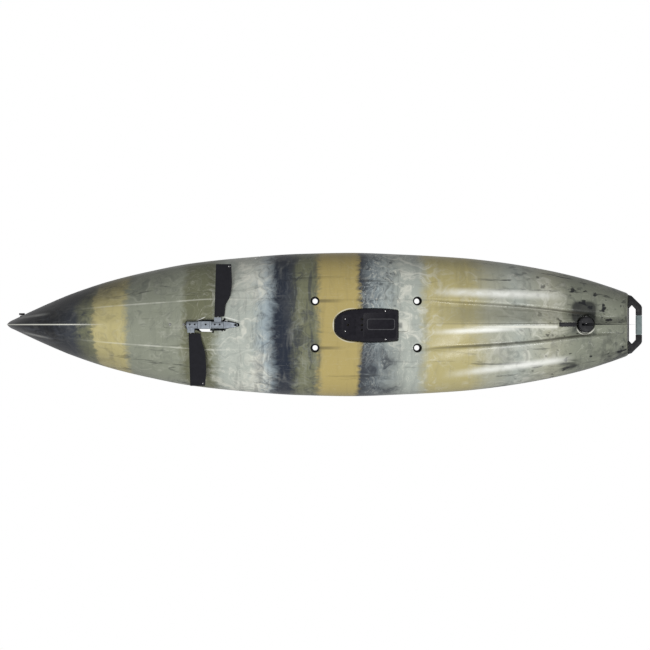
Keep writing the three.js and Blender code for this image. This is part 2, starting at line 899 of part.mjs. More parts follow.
// Hinges of the shield and of the bow hatch
const shieldPivotBack = 14;
const shieldPivotX = shieldFrontX + shieldPivotBack;
const shieldPivotZ = 13;
const shieldPinRadius = 4;
const shieldLugHalf = 9;
const shieldKnuckleHalf = 30;
const shieldLugThick = 14;
const hatchPivotReach = 20;
const hatchPivotX = -(hatchLength / 2 + hatchRim + hatchPivotReach);
const hatchPivotZ = 9;
const hatchPinRadius = 4;
const hatchKnuckleHalf = 24;
const hatchEarThick = 12;
const hatchEarRadius = 8;

// Bolts of the stern handle
const sternBoltRadius = 4.5;
const sternBoltY = 148;
const sternBoltZ = 274;
const sternBoltSink = 5;

function keelScrewBore(x, grow) {
  const top = keel(x) + keelScrewDepth + grow;
  return bar("z", keel(x) - cutOverrun, top, keelScrewRadius + grow, [x, 0, 0], 12);
}

function shieldLugs() {
  const from = shieldKnuckleHalf + touchGap;
  const to = from + shieldLugThick;
  const low = shieldPivotZ - shieldLugHalf / 2;
  return [-1, 1].map((side) => {
    const ys = [shieldY + side * from, shieldY + side * to].sort((a, b) => a - b);
    return block(
      [shieldPivotX - shieldLugHalf, ys[0], low],
      [shieldPivotX + shieldLugHalf, ys[1], shieldPocketDepth + wall / 2],
    );
  });
}

function hatchEars() {
  const ears = [-1, 1].map((side) => {
    const from = hatchKnuckleHalf + touchGap;
    const ys = [side * from, side * (from + hatchEarThick)].sort((a, b) => a - b);
    const foot = block(
      [hatchPivotX - hatchEarRadius, ys[0], -hatchSink / 2],
      [hatchPivotX + hatchEarRadius, ys[1], hatchPivotZ],
    );
    return foot.add(bar("y", ys[0], ys[1], hatchEarRadius, [hatchPivotX, 0, hatchPivotZ], 16));
  });
  return atHatch(joined(...ears));
}

function makeHull() {
  const outer = joined(
    hullBody(),
    atHatch(hatchStack([[hatchRim, -hatchSink], [hatchRim, 0]])),
    hatchEars(),
    bar("z", leverPadZ - cutOverrun, leverPadZ, leverPadRadius, [leverX, leverY, 0]),
    bar("z", drainPadZ - cutOverrun / 2, drainPadZ, drainFlange + wall, [drainX, 0, 0]),
    bar("z", rodPadZ - cutOverrun, rodPadZ, rodPadRadius, [rodX, rodY, 0], 24),
    bar("z", rodPadZ - cutOverrun, rodPadZ, rodPadRadius, [rodX, -rodY, 0], 24),
    sideEars(-1),
    sideEars(1),
  );
  const cavity = carved(
    hullCavity(),
    cockpit(wall).subtract(centreConsole(wall)),
    cargo(wall),
    driveSlot(wall),
    scuppers(wall),
    shieldPocket(wall),
    skidBlock(skidMargin + wall, -cutOverrun, skidDepth + wall),
    rudderRecess(wall),
    rodWell(wall),
    railPocket(wall),
    block(
      [toggleX - toggleSeatHalf - wall, -halfBreadth(toggleX), toggleSeatZ - wall],
      [toggleX + toggleSeatHalf + wall, toggleSeatY + wall, toggleSeatZ + cutOverrun],
    ),
    bar("z", leverPadZ - leverBoreDepth - wall, leverPadZ, leverBore + wall, [leverX, leverY, 0]),
    bar("z", drainPadZ - drainDepth - wall, drainPadZ, drainRadius + wall, [drainX, 0, 0]),
    ...keelScrewPlaces.map((x) => keelScrewBore(x, wall)),
  );
  const hollow = cavity.decompose().reduce((a, b) => (a.volume() > b.volume() ? a : b));
  const shell = carved(
    outer,
    hollow,
    cockpit(0).subtract(centreConsole(0)),
    cargo(0),
    driveSlot(0),
    scuppers(0),
    shieldPocket(0),
    skidBlock(skidMargin, -cutOverrun, skidDepth),
    rudderRecess(0),
    rodWell(0),
    railPocket(0),
    atHatch(hatchStack([[0, -hatchSink - wall], [0, cutOverrun]])),
    block(
      [toggleX - toggleSeatHalf - touchGap, -halfBeam, toggleSeatZ],
      [toggleX + toggleSeatHalf + touchGap, toggleSeatY + touchGap, toggleSeatZ + cutOverrun],
    ),
    bar(
      "z",
      consoleTop - 2 * wall,
      consoleTop + wall,
      roundHatchRadius,
      [roundHatchX, 0, 0],
      roundHatchSides,
    ),
    bar("z", leverPadZ - leverBoreDepth, leverPadZ + wall, leverBore + touchGap, [leverX, leverY, 0]),
    bar("z", drainPadZ - drainDepth, drainPadZ + wall, drainRadius + touchGap, [drainX, 0, 0]),
    ...keelScrewPlaces.map((x) => keelScrewBore(x, touchGap)),
    ...[-1, 1].map((side) =>
      bar(
        "x",
        sternX - sternBoltSink,
        sternX + cutOverrun,
        sternBoltRadius + touchGap,
        [0, side * sternBoltY, sternBoltZ],
        12,
      ),
    ),
  );
  const shieldPinReach = shieldKnuckleHalf + shieldLugThick + cutOverrun / 2;
  const shieldPinBore = bar(
    "y",
    shieldY - shieldPinReach,
    shieldY + shieldPinReach,
    shieldPinRadius + touchGap,
    [shieldPivotX, 0, shieldPivotZ],
    12,
  );
  const hatchPinReach = hatchKnuckleHalf + hatchEarThick + cutOverrun;
  const hatchPinBore = atHatch(
    bar(
      "y",
      -hatchPinReach,
      hatchPinReach,
      hatchPinRadius + touchGap,
      [hatchPivotX, 0, hatchPivotZ],
      12,
    ),
  );
  return carved(
    joined(shell, ...shieldLugs()),
    shieldPinBore,
    hatchPinBore,
    sideEarBores(-1),
    sideEarBores(1),
  );
}

addPiece("hull", hullPlastic, makeHull());

// Bow hatch: seal, lid, hinge pin and two quarter-turn latches
const hatchGroup = new THREE.Group();
hatchGroup.position.set(hatchX, 0, hatchZ);
hatchGroup.rotation.y = hatchPitch;
kayak.add(hatchGroup);

const sealHigh = 4;
const sealInset = 4;
const lidSkirt = 6;
const lidSkirtClear = 2.5;
const lidSkirtDrop = 4;
const lidShoulder = 12;
const lidHigh = 30;
const lidShoulderInset = 6;
const lidTopInset = 26;
const lidThick = 5;
const latchX = 150;
const latchY = 70;
const latchRadius = 21;
const latchHigh = 5;
const latchGripHigh = 13;
const latchGripWide = 9;
const gripReachShare = 0.9;

addPiece(
  "bow_hatch_seal",
  sealRubber,
  carved(
    hatchStack([[hatchRim - sealInset, touchGap], [hatchRim - sealInset, sealHigh]]),
    hatchStack([[sealInset, -sealHigh], [sealInset, 2 * sealHigh]]),
  ),
  hatchGroup,
);

const lidLow = sealHigh + touchGap;
const lidRim = hatchRim + lidSkirt;
const coamingRoom = hatchStack([
  [hatchRim + lidSkirtClear, -cutOverrun],
  [hatchRim + lidSkirtClear, lidLow],
]);
const lidShell = carved(
  hatchStack([
    [lidRim, -lidSkirtDrop],
    [lidRim, lidShoulder],
    [lidRim - lidShoulderInset, lidShoulder + (lidHigh - lidShoulder) / 2],
    [lidRim - lidTopInset, lidHigh],
  ]),
  coamingRoom,
  hatchStack([
    [-lidThick, 0],
    [-lidThick, lidShoulder],
    [-lidTopInset, lidHigh - lidThick],
  ]),
);
const lidKnuckle = joined(
  block(
    [hatchPivotX, -hatchKnuckleHalf, hatchPivotZ - hatchEarRadius / 2],
    [-hatchLength / 2 - hatchRim, hatchKnuckleHalf, hatchPivotZ + hatchEarRadius / 2],
  ),
  bar("y", -hatchKnuckleHalf, hatchKnuckleHalf, hatchEarRadius, [hatchPivotX, 0, hatchPivotZ], 16),
);
const lidPinBore = bar(
  "y",
  -2 * hatchKnuckleHalf,
  2 * hatchKnuckleHalf,
  hatchPinRadius + touchGap,
  [hatchPivotX, 0, hatchPivotZ],
  12,
);
addPiece(
  "bow_hatch_lid",
  lidPlastic,
  carved(lidShell.add(lidKnuckle.subtract(coamingRoom)), lidPinBore),
  hatchGroup,
);

const hatchPinHalf = hatchKnuckleHalf + hatchEarThick;
addPiece(
  "bow_hatch_pin",
  steel,
  bar("y", -hatchPinHalf, hatchPinHalf, hatchPinRadius, [hatchPivotX, 0, hatchPivotZ], 12),
  hatchGroup,
);

function turnLatch(radius, plateHigh, gripHigh, gripWide) {
  const disc = bar("z", 0, plateHigh, radius, [0, 0, 0], 20);
  const reach = radius * gripReachShare;
  return disc.add(
    block([-reach, -gripWide / 2, plateHigh / 2], [reach, gripWide / 2, gripHigh]),
  );
}

for (const [name, side] of [["bow_hatch_latch_port", -1], ["bow_hatch_latch_starboard", 1]]) {
  const latch = addPiece(
    name,
    blackPlastic,
    turnLatch(latchRadius, latchHigh, latchGripHigh, latchGripWide),
    hatchGroup,
  );
  latch.position.set(latchX, side * latchY, lidHigh + touchGap);
}

// Round hatch on the console
const roundHatchGroup = new THREE.Group();
roundHatchGroup.position.set(roundHatchX, 0, consoleTop);
kayak.add(roundHatchGroup);
const roundNeckDrop = 11;
const roundNeckWall = 5;
const roundLidRim = 70;
const roundLidHigh = 5;
const roundLidPlugDrop = 6;
const roundLidGripHalf = 49;
const roundNeckRadius = roundHatchRadius - roundHatchClear / 2;
const roundBore = roundNeckRadius - roundNeckWall;

addPiece(
  "round_hatch_ring",
  blackPlastic,
  carved(
    joined(
      bar("z", touchGap, roundHatchHigh, roundHatchFlange, [0, 0, 0], roundHatchSides),
      bar("z", -roundNeckDrop, wall / 2, roundNeckRadius, [0, 0, 0], roundHatchSides),
    ),
    bar("z", -cutOverrun, cutOverrun, roundBore, [0, 0, 0], roundHatchSides),
  ),
  roundHatchGroup,
);
const roundLidLow = roundHatchHigh + touchGap;
addPiece(
  "round_hatch_lid",
  blackPlastic,
  joined(
    bar("z", roundLidLow, roundLidLow + roundLidHigh, roundLidRim, [0, 0, 0], roundHatchSides),
    bar(
      "z",
      -roundLidPlugDrop,
      roundLidLow + wall / 2,
      roundBore - roundHatchClear / 2,
      [0, 0, 0],
      roundHatchSides,
    ),
    block(
      [-roundLidGripHalf, -latchGripWide, roundLidLow + roundLidHigh / 2],
      [roundLidGripHalf, latchGripWide, roundLidLow + roundLidHigh + latchGripHigh],
    ),
  ),
  roundHatchGroup,
);

// Drive: the spine drops through the slot and hangs from a beam on the console
const beamHalf = 24;
const beamThick = 12;
const beamEndReach = 34;
const beamLow = consoleTop + touchGap;
const beamTop = beamLow + beamThick;
const blockLow = 6;
const notchRoom = 4;
const notchTop = finAxisZ + drumRadius + notchRoom;
const hangerFrontX = frontDrumX - drumClear - hangerThick;
const tailRootX = rearDrumBackX + drumClear;
const tailEndX = rearDrumBackX + tailLength;
const tailHigh = 46;
const spineBackReach = 26;
const spineBackX = tailRootX + spineBackReach;
const towerAhead = 10;
const towerX = rearDrumX - towerAhead;
const towerHalf = 30;
const crankPivotZ = 206;
const crankShaftRadius = 7;
const towerHeadRadius = 17;
const axleRadius = 5;
const spineEdge = 2;
const pinSides = 12;
const holeDepth = 6;
const drumHoleRadius = 3.5;
const bushRadius = 7;
const bushBore = 3.5;
const bushProud = 2;
const bushHead = 6;
const bushX = tailEndX - tailEndHalf - bushProud;

function makeSpine() {
  const side = outline([
    [hangerFrontX, beamLow + beamThick / 2],
    [hangerFrontX, blockLow],
    [hangerFrontX + hangerThick, blockLow],
    [hangerFrontX + hangerThick, notchTop],
    [drumBackX + drumClear, notchTop],
    [drumBackX + drumClear, blockLow],
    [rearDrumX - drumClear, blockLow],
    [rearDrumX - drumClear, notchTop],
    [tailRootX, notchTop],
    [tailRootX, blockLow],
    [tailEndX - tailEndHalf, blockLow + tailEndHalf],
    [tailEndX, blockLow + 2 * tailEndHalf],
    [tailEndX, tailHigh],
    [spineBackX, tailHigh + tailEndHalf],
    [spineBackX, beamLow + beamThick / 2],
  ]);
  const plan = outline([
    [hangerFrontX - wall, driveY - spineHalf - wall],
    [tailRootX + hangerThick, driveY - spineHalf - wall],
    [tailRootX + hangerThick, driveY - spineHalf],
    [tailEndX - tailEndHalf, driveY - tailEndHalf],
    [tailEndX, driveY - tailEndHalf / 2],
    [tailEndX, driveY + tailEndHalf / 2],
    [tailEndX - tailEndHalf, driveY + tailEndHalf],
    [tailRootX + hangerThick, driveY + spineHalf],
    [tailRootX + hangerThick, driveY + spineHalf + wall],
    [hangerFrontX - wall, driveY + spineHalf + wall],
  ]);
  const beamPlate = plate(
    outline([
      [slotFrontX - beamEndReach, driveY - beamHalf],
      [slotBackX + beamEndReach, driveY - beamHalf],
      [slotBackX + beamEndReach, driveY + beamHalf],
      [slotFrontX - beamEndReach, driveY + beamHalf],
    ]),
    beamLow,
    beamTop,
    spineEdge,
  );
  const tower = joined(
    block(
      [towerX - towerHalf, driveY - spineHalf, beamTop - spineEdge],
      [towerX + towerHalf, driveY + spineHalf, crankPivotZ - towerHeadRadius],
    ),
    sidePlate(
      outline([
        [towerX - towerHalf, crankPivotZ - towerHeadRadius - spineEdge],
        [towerX + towerHalf, crankPivotZ - towerHeadRadius - spineEdge],
        [towerX + towerHeadRadius, crankPivotZ + towerHeadRadius],
        [towerX - towerHeadRadius, crankPivotZ + towerHeadRadius],
      ]),
      driveY - spineHalf,
      driveY + spineHalf,
    ),
  );
  const body = sidePlate(side, driveY - spineHalf, driveY + spineHalf, spineEdge).intersect(
    plate(plan, -cutOverrun, beamTop),
  );
  const blockHoleX = (drumBackX + rearDrumX) / 2 + drumClear;
  return carved(
    joined(body, beamPlate, tower),
    bar(
      "x",
      hangerFrontX - wall,
      tailRootX + hangerThick + wall,
      axleRadius + touchGap,
      [0, driveY, finAxisZ],
      pinSides,
    ),
    bar("y", -halfBeam, halfBeam, crankShaftRadius + touchGap, [towerX, 0, crankPivotZ], pinSides),
    bar("z", -cutOverrun, blockLow + holeDepth, drumHoleRadius, [blockHoleX, driveY, 0], 12),
    bar("z", -cutOverrun, tailHigh + cutOverrun, bushRadius + touchGap, [bushX, driveY, 0], pinSides),
  );
}

addPiece("drive_spine", driveMetal, makeSpine());
addPiece(
  "tail_bush",
  blackPlastic,
  bar("z", blockLow + bushProud, tailHigh + bushHead, bushRadius, [bushX, driveY, 0], pinSides).subtract(
    bar("z", -cutOverrun, 2 * cutOverrun, bushBore, [bushX, driveY, 0], 12),
  ),
);
addPiece(
  "fin_axle",
  steel,
  bar("x", hangerFrontX, tailRootX + hangerThick, axleRadius, [0, driveY, finAxisZ], pinSides),
);

// Rubber buffers between the spine and the walls of the slot
const bufferRadius = 6;
const bufferAhead = 3;
const bufferX = tailRootX - bufferAhead;
const bufferReach = 12;
const bufferZ = notchTop + bufferRadius + spineEdge;
for (const [name, side] of [["drive_buffer_port", -1], ["drive_buffer_starboard", 1]]) {
  const from = driveY + side * (spineHalf + touchGap);
  const ys = [from, from + side * bufferReach].sort((a, b) => a - b);
  addPiece(name, sealRubber, bar("y", ys[0], ys[1], bufferRadius, [bufferX, 0, bufferZ], pinSides));
}

// Turning latches that hold the beam down
const driveLatchLength = 58;
const driveLatchRadius = 11;
const driveLatchHigh = 9;
for (const [name, x] of [
  ["drive_latch_front", slotFrontX - beamEndReach + driveLatchRadius + spineEdge],
  ["drive_latch_rear", slotBackX + beamEndReach - driveLatchRadius - spineEdge],
]) {
  const latch = addPiece(
    name,
    blackPlastic,
    joined(
      bar("z", 0, driveLatchHigh, driveLatchRadius, [0, 0, 0], pinSides),
      block(
        [-driveLatchRadius / 2, 0, driveLatchHigh / 4],
        [driveLatchRadius / 2, driveLatchLength, driveLatchHigh],
      ),
    ),
  );
  latch.position.set(x, driveY, beamTop + touchGap);
}

// Cranks, pedals and the shaft they swing on
const crankSwingDegrees = 62;
const crankReach = 300;
const crankThick = 12;
const crankHubRadius = 17;
const crankHeadRadius = 12;
const crankHubInset = 3;
const spindleRadius = 5;
const spindleLength = 122;
const pedalGap = 6;
const pedalWidth = 100;
const pedalHigh = 122;
const pedalThick = 24;
const pedalRound = 18;
const pedalLeanDegrees = 24;
const pedalRibs = 4;
const ribThick = 4;
const crankInner = spineHalf + crankHubInset;
const crankOuter = crankInner + crankThick;

addPiece(
  "crank_shaft",
  steel,
  bar(
    "y",
    driveY - crankOuter,
    driveY + crankOuter,
    crankShaftRadius,
    [towerX, 0, crankPivotZ],
    pinSides,
  ),
);

function makeCrank(side) {
  const arm = new THREE.Shape();
  arm.absarc(0, 0, crankHubRadius, Math.PI, 2 * Math.PI);
  arm.absarc(0, crankReach, crankHeadRadius, 0, Math.PI);
  const ys = [side * crankInner, side * crankOuter].sort((a, b) => a - b);
  return carved(
    sidePlate(arm, ys[0], ys[1], spineEdge, 6),
    bar("y", -halfBeam, halfBeam, crankShaftRadius + touchGap, [0, 0, 0], pinSides),
    bar("y", -halfBeam, halfBeam, spindleRadius + touchGap, [0, 0, crankReach], 12),
  );
}

function makePedal(side) {
  const from = crankOuter + pedalGap;
  const ys = [side * from, side * (from + pedalWidth)].sort((a, b) => a - b);
  const pad = plate(roundedRectangle(pedalHigh, pedalWidth, pedalRound), 0, pedalThick, spineEdge, 3)
    .rotate([0, -90, 0])
    .translate([pedalThick / 2, (ys[0] + ys[1]) / 2, 0]);
  const pitch = pedalHigh / (pedalRibs + 1);
  const ribs = [];
  for (let k = 1; k <= pedalRibs; k++) {
    const z = -pedalHigh / 2 + pitch * k;
    ribs.push(
      block(
        [pedalThick / 2 - spineEdge, ys[0] + pedalRound, z - ribThick / 2],
        [pedalThick / 2 + ribThick, ys[1] - pedalRound, z + ribThick / 2],
      ),
    );
  }
  const bore = bar("y", -halfBeam, halfBeam, spindleRadius + touchGap, [0, 0, 0], 12);
  return joined(pad, ...ribs).subtract(bore);
}

for (const [sideName, side] of [["left", -1], ["right", 1]]) {
  const lean = (side * crankSwingDegrees) / 2;
  const group = new THREE.Group();
  group.position.set(towerX, driveY, crankPivotZ);
  group.rotation.y = lean * degrees;
  kayak.add(group);
  addPiece(sideName + "_crank", driveMetal, makeCrank(side), group);
  const from = side * crankInner;
  const ys = [from, from + side * spindleLength].sort((a, b) => a - b);
  addPiece(
    sideName + "_spindle",
    steel,
    bar("y", ys[0], ys[1], spindleRadius, [0, 0, crankReach], 12),
    group,
  );
  const pedal = addPiece(sideName + "_pedal", blackPlastic, makePedal(side), group);
  pedal.position.z = crankReach;
  pedal.rotation.y = (pedalLeanDegrees - lean) * degrees;
}

// Fin drums, masts, fins and their screws. Each is drawn pointing to starboard, with the axis at zero.
const finLiftDegrees = 3;
const socketWidth = 44;
const socketReach = 43;
const socketHalf = 8;
const mastRadius = 4;
const mastSeat = 17;
const finRoot = 50;
const finTip = 362;
const frontFinLead = 13;
const rearFinLead = 20;
const finThick = 12;
const finEdgeThick = 3;
const finSections = 9;
const finScrewRadius = 4.5;
const finScrewInset = 14;
const mastTipClear = 120;
const finChord = 98;
const finRake = 8;
const finTaperShare = 0.12;
const finNoseShare = 0.72;
const finMidShare = 0.45;
// Chord along each fin, as shares of the reach from root to tip and of the widest chord
const frontChordShares = [
  [0, 0.7],
  [0.12, 0.76],
  [0.43, 0.99],
  [0.7, 1],
  [1, 0.9],
];
const rearChordShares = [
  [0, 0.6],
  [0.2, 0.65],
  [0.4, 0.93],
  [0.62, 1],
  [1, 0.93],
];

function makeFin(chordShares, finLead) {
  const chordAt = curveThrough(chordShares);
  const rings = [];
  for (let k = 0; k <= finSections; k++) {
    const share = k / finSections;
    const y = finRoot + (finTip - finRoot) * share;
    const lead = -finLead + finRake * share;
    const chord = finChord * chordAt(share);
    const thick = (finThick / 2) * (1 - finTaperShare * share);
    const edge = finEdgeThick / 2;
    const middle = lead + finLead + (chord - finLead) * finMidShare;
    rings.push([
      new THREE.Vector3(lead, y, 0),
      new THREE.Vector3(lead + finLead / 3, y, thick * finNoseShare),
      new THREE.Vector3(lead + finLead, y, thick),
      new THREE.Vector3(middle, y, (thick + edge) / 2),
      new THREE.Vector3(lead + chord, y, edge),
      new THREE.Vector3(lead + chord, y, -edge),
      new THREE.Vector3(middle, y, -(thick + edge) / 2),
      new THREE.Vector3(lead + finLead, y, -thick),
      new THREE.Vector3(lead + finLead / 3, y, -thick * finNoseShare),
    ]);
  }
  const screw = finScrewPlace(chordShares, finLead);
  return carved(
    lofted(rings),
    bar("y", finRoot - wall, finTip - mastTipClear + touchGap, mastRadius + touchGap),
    bar("z", -finThick, finThick, finScrewRadius + touchGap, [screw[0], screw[1], 0], 12),
  );
}

function finScrewPlace(chordShares, finLead) {
  const chord = finChord * curveThrough(chordShares)(1);
  return [finRake - finLead + chord - finScrewInset, finTip - finScrewInset];
}

function makeDrum(length, mastPlace) {
  return carved(
    joined(
      bar("x", -mastPlace, length - mastPlace, drumRadius, [0, 0, 0], 24),
      block([-socketWidth / 2, 0, -socketHalf], [socketWidth / 2, socketReach, socketHalf]),
    ),
    bar("x", -length, length, axleRadius + touchGap, [0, 0, 0], pinSides),
    bar("y", mastSeat, socketReach + wall, mastRadius + touchGap, [0, 0, 0], 12),
    drumHole(-socketWidth / 5),
    drumHole(socketWidth / 2),
  );
}

function drumHole(x) {
  const top = holeDepth / 2 - drumRadius;
  return bar("z", -drumRadius - wall, top, drumHoleRadius, [x, 0, 0], 12);
}

const frontMastPlace = 25;
const rearMastPlace = 34;
for (const [name, x, length, mastPlace, side, chordShares, finLead] of [
  ["front", frontDrumX, frontDrumLength, frontMastPlace, 1, frontChordShares, frontFinLead],
  ["rear", rearDrumX, rearDrumLength, rearMastPlace, -1, rearChordShares, rearFinLead],
]) {
  const group = new THREE.Group();
  group.position.set(x + mastPlace, driveY, finAxisZ);
  group.rotation.x = side * finLiftDegrees * degrees;
  group.scale.y = side;
  kayak.add(group);
  addPiece(name + "_drum", driveMetal, makeDrum(length, mastPlace), group);
  addPiece(
    name + "_mast",
    steel,
    bar("y", mastSeat + touchGap, finTip - mastTipClear, mastRadius, [0, 0, 0], 12),
    group,
  );
  addPiece(name + "_fin", finRubber, makeFin(chordShares, finLead), group);
  const screw = finScrewPlace(chordShares, finLead);
  addPiece(
    name + "_fin_screw",
    steel,
    bar("z", -finEdgeThick, finEdgeThick, finScrewRadius, [screw[0], screw[1], 0], 12),
    group,
  );
}

// Bright screws in the keel ahead of the slot
const screwProud = 1.5;
["front", "rear"].forEach((name, i) => {
  const x = keelScrewPlaces[i];
  const low = keel(x) - screwProud;
  const top = keel(x) + keelScrewDepth - touchGap;
  addPiece("keel_screw_" + name, steel, bar("z", low, top, keelScrewRadius - touchGap, [x, 0, 0], 12));
});

// Transducer shield, hinged at its nose
const shieldGroup = new THREE.Group();
shieldGroup.position.set(0, shieldY, 0);
kayak.add(shieldGroup);
const shieldScrewRadius = 4.2;
const shieldScrewHigh = 9;
const shieldHoleRadius = 3;
const shieldLow = shieldRecess;
const shieldTop = shieldLow + shieldThick;
// Places on the shield, from its nose and its middle line
const shieldScrewPlaces = [
  [61, -37],
  [61, 34],
  [298, -84],
  [298, 84],
];
const shieldHolePlaces = [
  [77, -2],
  [161, -36],
  [161, -2],
  [160, 27],
];

const shieldBores = [
  ...shieldScrewPlaces.map(([x, y]) =>
    bar("z", -wall, cutOverrun, shieldScrewRadius + touchGap, [shieldFrontX + x, y, 0], 12),
  ),
  ...shieldHolePlaces.map(([x, y]) =>
    bar("z", -wall, cutOverrun, shieldHoleRadius, [shieldFrontX + x, y, 0], 8),
  ),
];
const shieldPinHalf = shieldKnuckleHalf + shieldLugThick;
addPiece(
  "shield_plate",
  blackPlastic,
  carved(
    joined(
      plate(shieldOutline(0), shieldLow, shieldTop, shieldRecess, 5),
      block(
        [shieldPivotX - shieldLugHalf, -shieldKnuckleHalf, shieldTop - shieldRecess],
        [shieldPivotX + shieldLugHalf, shieldKnuckleHalf, shieldPivotZ + shieldLugHalf],
      ),
    ),
    bar("y", -halfBeam, halfBeam, shieldPinRadius + touchGap, [shieldPivotX, 0, shieldPivotZ], 12),
    ...shieldBores,
  ),
  shieldGroup,
);
addPiece(
  "shield_pin",
  steel,
  bar("y", -shieldPinHalf, shieldPinHalf, shieldPinRadius, [shieldPivotX, 0, shieldPivotZ], 12),
  shieldGroup,
);
shieldScrewPlaces.forEach(([x, y], i) =>
  addPiece(
    "shield_screw_" + (i + 1),
    steel,
    bar("z", shieldLow - touchGap, shieldScrewHigh, shieldScrewRadius, [shieldFrontX + x, y, 0], 12),
    shieldGroup,
  ),
);

// Wear plate in its slot at the end of the keel strip
addPiece(
  "skid_plate",
  blackPlastic,
  skidBlock(0, skidDepth - touchGap - skidThick, skidDepth - touchGap),
);

// Rudder
const rudderGroup = new THREE.Group();
rudderGroup.position.set(rudderX, 0, 0);
kayak.add(rudderGroup);
const steerSwingDegrees = 35;
const turretTopClear = 3;
const turretTop = recessTop - turretTopClear;
const bladePivotZ = 51;
const bladeThick = 10;
const bladeTipThick = 4;
const bladeReach = 285;
const bladeHeel = 15;
const bladeSlotClear = 1.2;
const bladeSlotTop = 72;
const bladeSlotFront = 26;
const bladeHullClear = 6;
const bladeFloorClear = 7;
const bladePinRadius = 5;
const bladePinHalf = 26;
const turretEdge = 4;
const bladeSections = 8;
const bladeCheekShare = 1.4;
const bladeTopShare = 0.7;
const bladeTaperShare = 0.8;

function makeTurret() {
  const drum = joined(
    bar("z", turretBottom + turretEdge, turretTop, turretRadius, [0, 0, 0], turretSides),
    bar(
      "z",
      turretBottom,
      turretBottom + turretEdge,
      turretRadius - turretEdge,
      [0, 0, 0],
      turretSides,
      turretRadius,
    ),
    bar("z", turretTop - wall, postTop, postRadius, [0, 0, 0], pinSides),
  );
  const slotHalfWidth = bladeThick / 2 + bladeSlotClear;
  return carved(
    drum,
    block(
      [-bladeSlotFront, -slotHalfWidth, -cutOverrun],
      [2 * turretRadius, slotHalfWidth, bladeSlotTop],
    ),
    bar("y", -bladePinHalf, bladePinHalf, bladePinRadius + touchGap, [0, 0, bladePivotZ], 12),
  );
}

function makeBlade() {
  const exit = turretRadius + turretEdge;
  const swungX = (x) => rudderX + x * Math.cos(steerSwingDegrees * degrees);
  const places = [
    [-bladeHeel, bladePivotZ - bladeHeel / 2, bladePivotZ + bladeHeel / 2],
    [-bladeHeel / 3, bladePivotZ - bladeHeel, bladePivotZ + bladeHeel],
    [bladeHeel, bladePivotZ - bladeCheekShare * bladeHeel, bladePivotZ + bladeHeel],
  ];
  const start = exit - 3 * turretEdge;
  for (let k = 0; k <= bladeSections; k++) {
    const share = k / bladeSections;
    const x = start + (bladeReach - start) * share;
    const roundOff = (bladeHeel * Math.max(0, share - bladeTaperShare)) / (1 - bladeTaperShare);
    const top = Math.min(keel(swungX(x)) - bladeHullClear, bladePivotZ + 3 * bladeHeel);
    const low = bladeFloorClear + bladeHeel * (1 - Math.min(1, share * bladeSections));
    places.push([x, low + roundOff, top - roundOff / 3]);
  }
  const last = places.length - 1;
  const rings = places.map(([x, low, high], i) => {
    const half = (bladeThick + (bladeTipThick - bladeThick) * (i / last)) / 2;
    const middle = (low + high) / 2;
    return [
      new THREE.Vector3(x, 0, low),
      new THREE.Vector3(x, half, low + half),
      new THREE.Vector3(x, half, middle),
      new THREE.Vector3(x, half * bladeTopShare, high),
      new THREE.Vector3(x, -half * bladeTopShare, high),
      new THREE.Vector3(x, -half, middle),
      new THREE.Vector3(x, -half, low + half),
    ];
  });
  return lofted(rings).subtract(
    bar("y", -turretRadius, turretRadius, bladePinRadius + touchGap, [0, 0, bladePivotZ], 12),
  );
}

addPiece("rudder_turret", blackPlastic, makeTurret(), rudderGroup);
addPiece("rudder_blade", blackPlastic, makeBlade(), rudderGroup);
addPiece(
  "rudder_pin",
  steel,
  bar("y", touchGap - bladePinHalf, bladePinHalf - touchGap, bladePinRadius, [0, 0, bladePivotZ], 12),
  rudderGroup,
);

// Steering lever
const leverReach = 84;
const leverHubRadius = 15;
const leverHubHigh = 16;
const leverBarHalf = 6;
const leverKnobRadius = 11;
const leverKnobHigh = 30;
const leverKnobFoot = 9;
const leverGroup = new THREE.Group();
leverGroup.position.set(leverX, leverY, leverPadZ);
kayak.add(leverGroup);
addPiece(
  "steering_lever",
  blackPlastic,
  joined(
    bar("z", touchGap - leverBoreDepth, wall, leverBore - touchGap),
    bar("z", touchGap, leverHubHigh, leverHubRadius, [0, 0, 0], pinSides),
    block([-leverReach, -leverBarHalf, leverHubHigh / 3], [0, leverBarHalf, leverHubHigh]),
    bar(
      "z",
      leverHubHigh / 3,
      leverKnobHigh,
      leverKnobFoot,
      [-leverReach, 0, 0],
      pinSides,
      leverKnobRadius,
    ),
  ),
  leverGroup,
);

// Stern handle round the transom's corners, with a grip on its bar
const sternHandleLow = 262;
const sternHandleHigh = 286;
const sternHandleHalf = 182;
const sternBarHalf = 106;
const sternArmX = 22;
const sternBarWidth = 35;
const sternStrap = 6.5;
const sternMouthHalf = 120;
const sternMouthX = 26;
const sternGripHalf = 60;
const sternGripY = 3;
const sternCoreSide = 8;
const sternCoreHigh = 6;
const sternHandleX = sternX + touchGap;
const sternBackX = overallLength / 2;
const boltHeadRadius = 8;
const boltHeadHigh = 4;

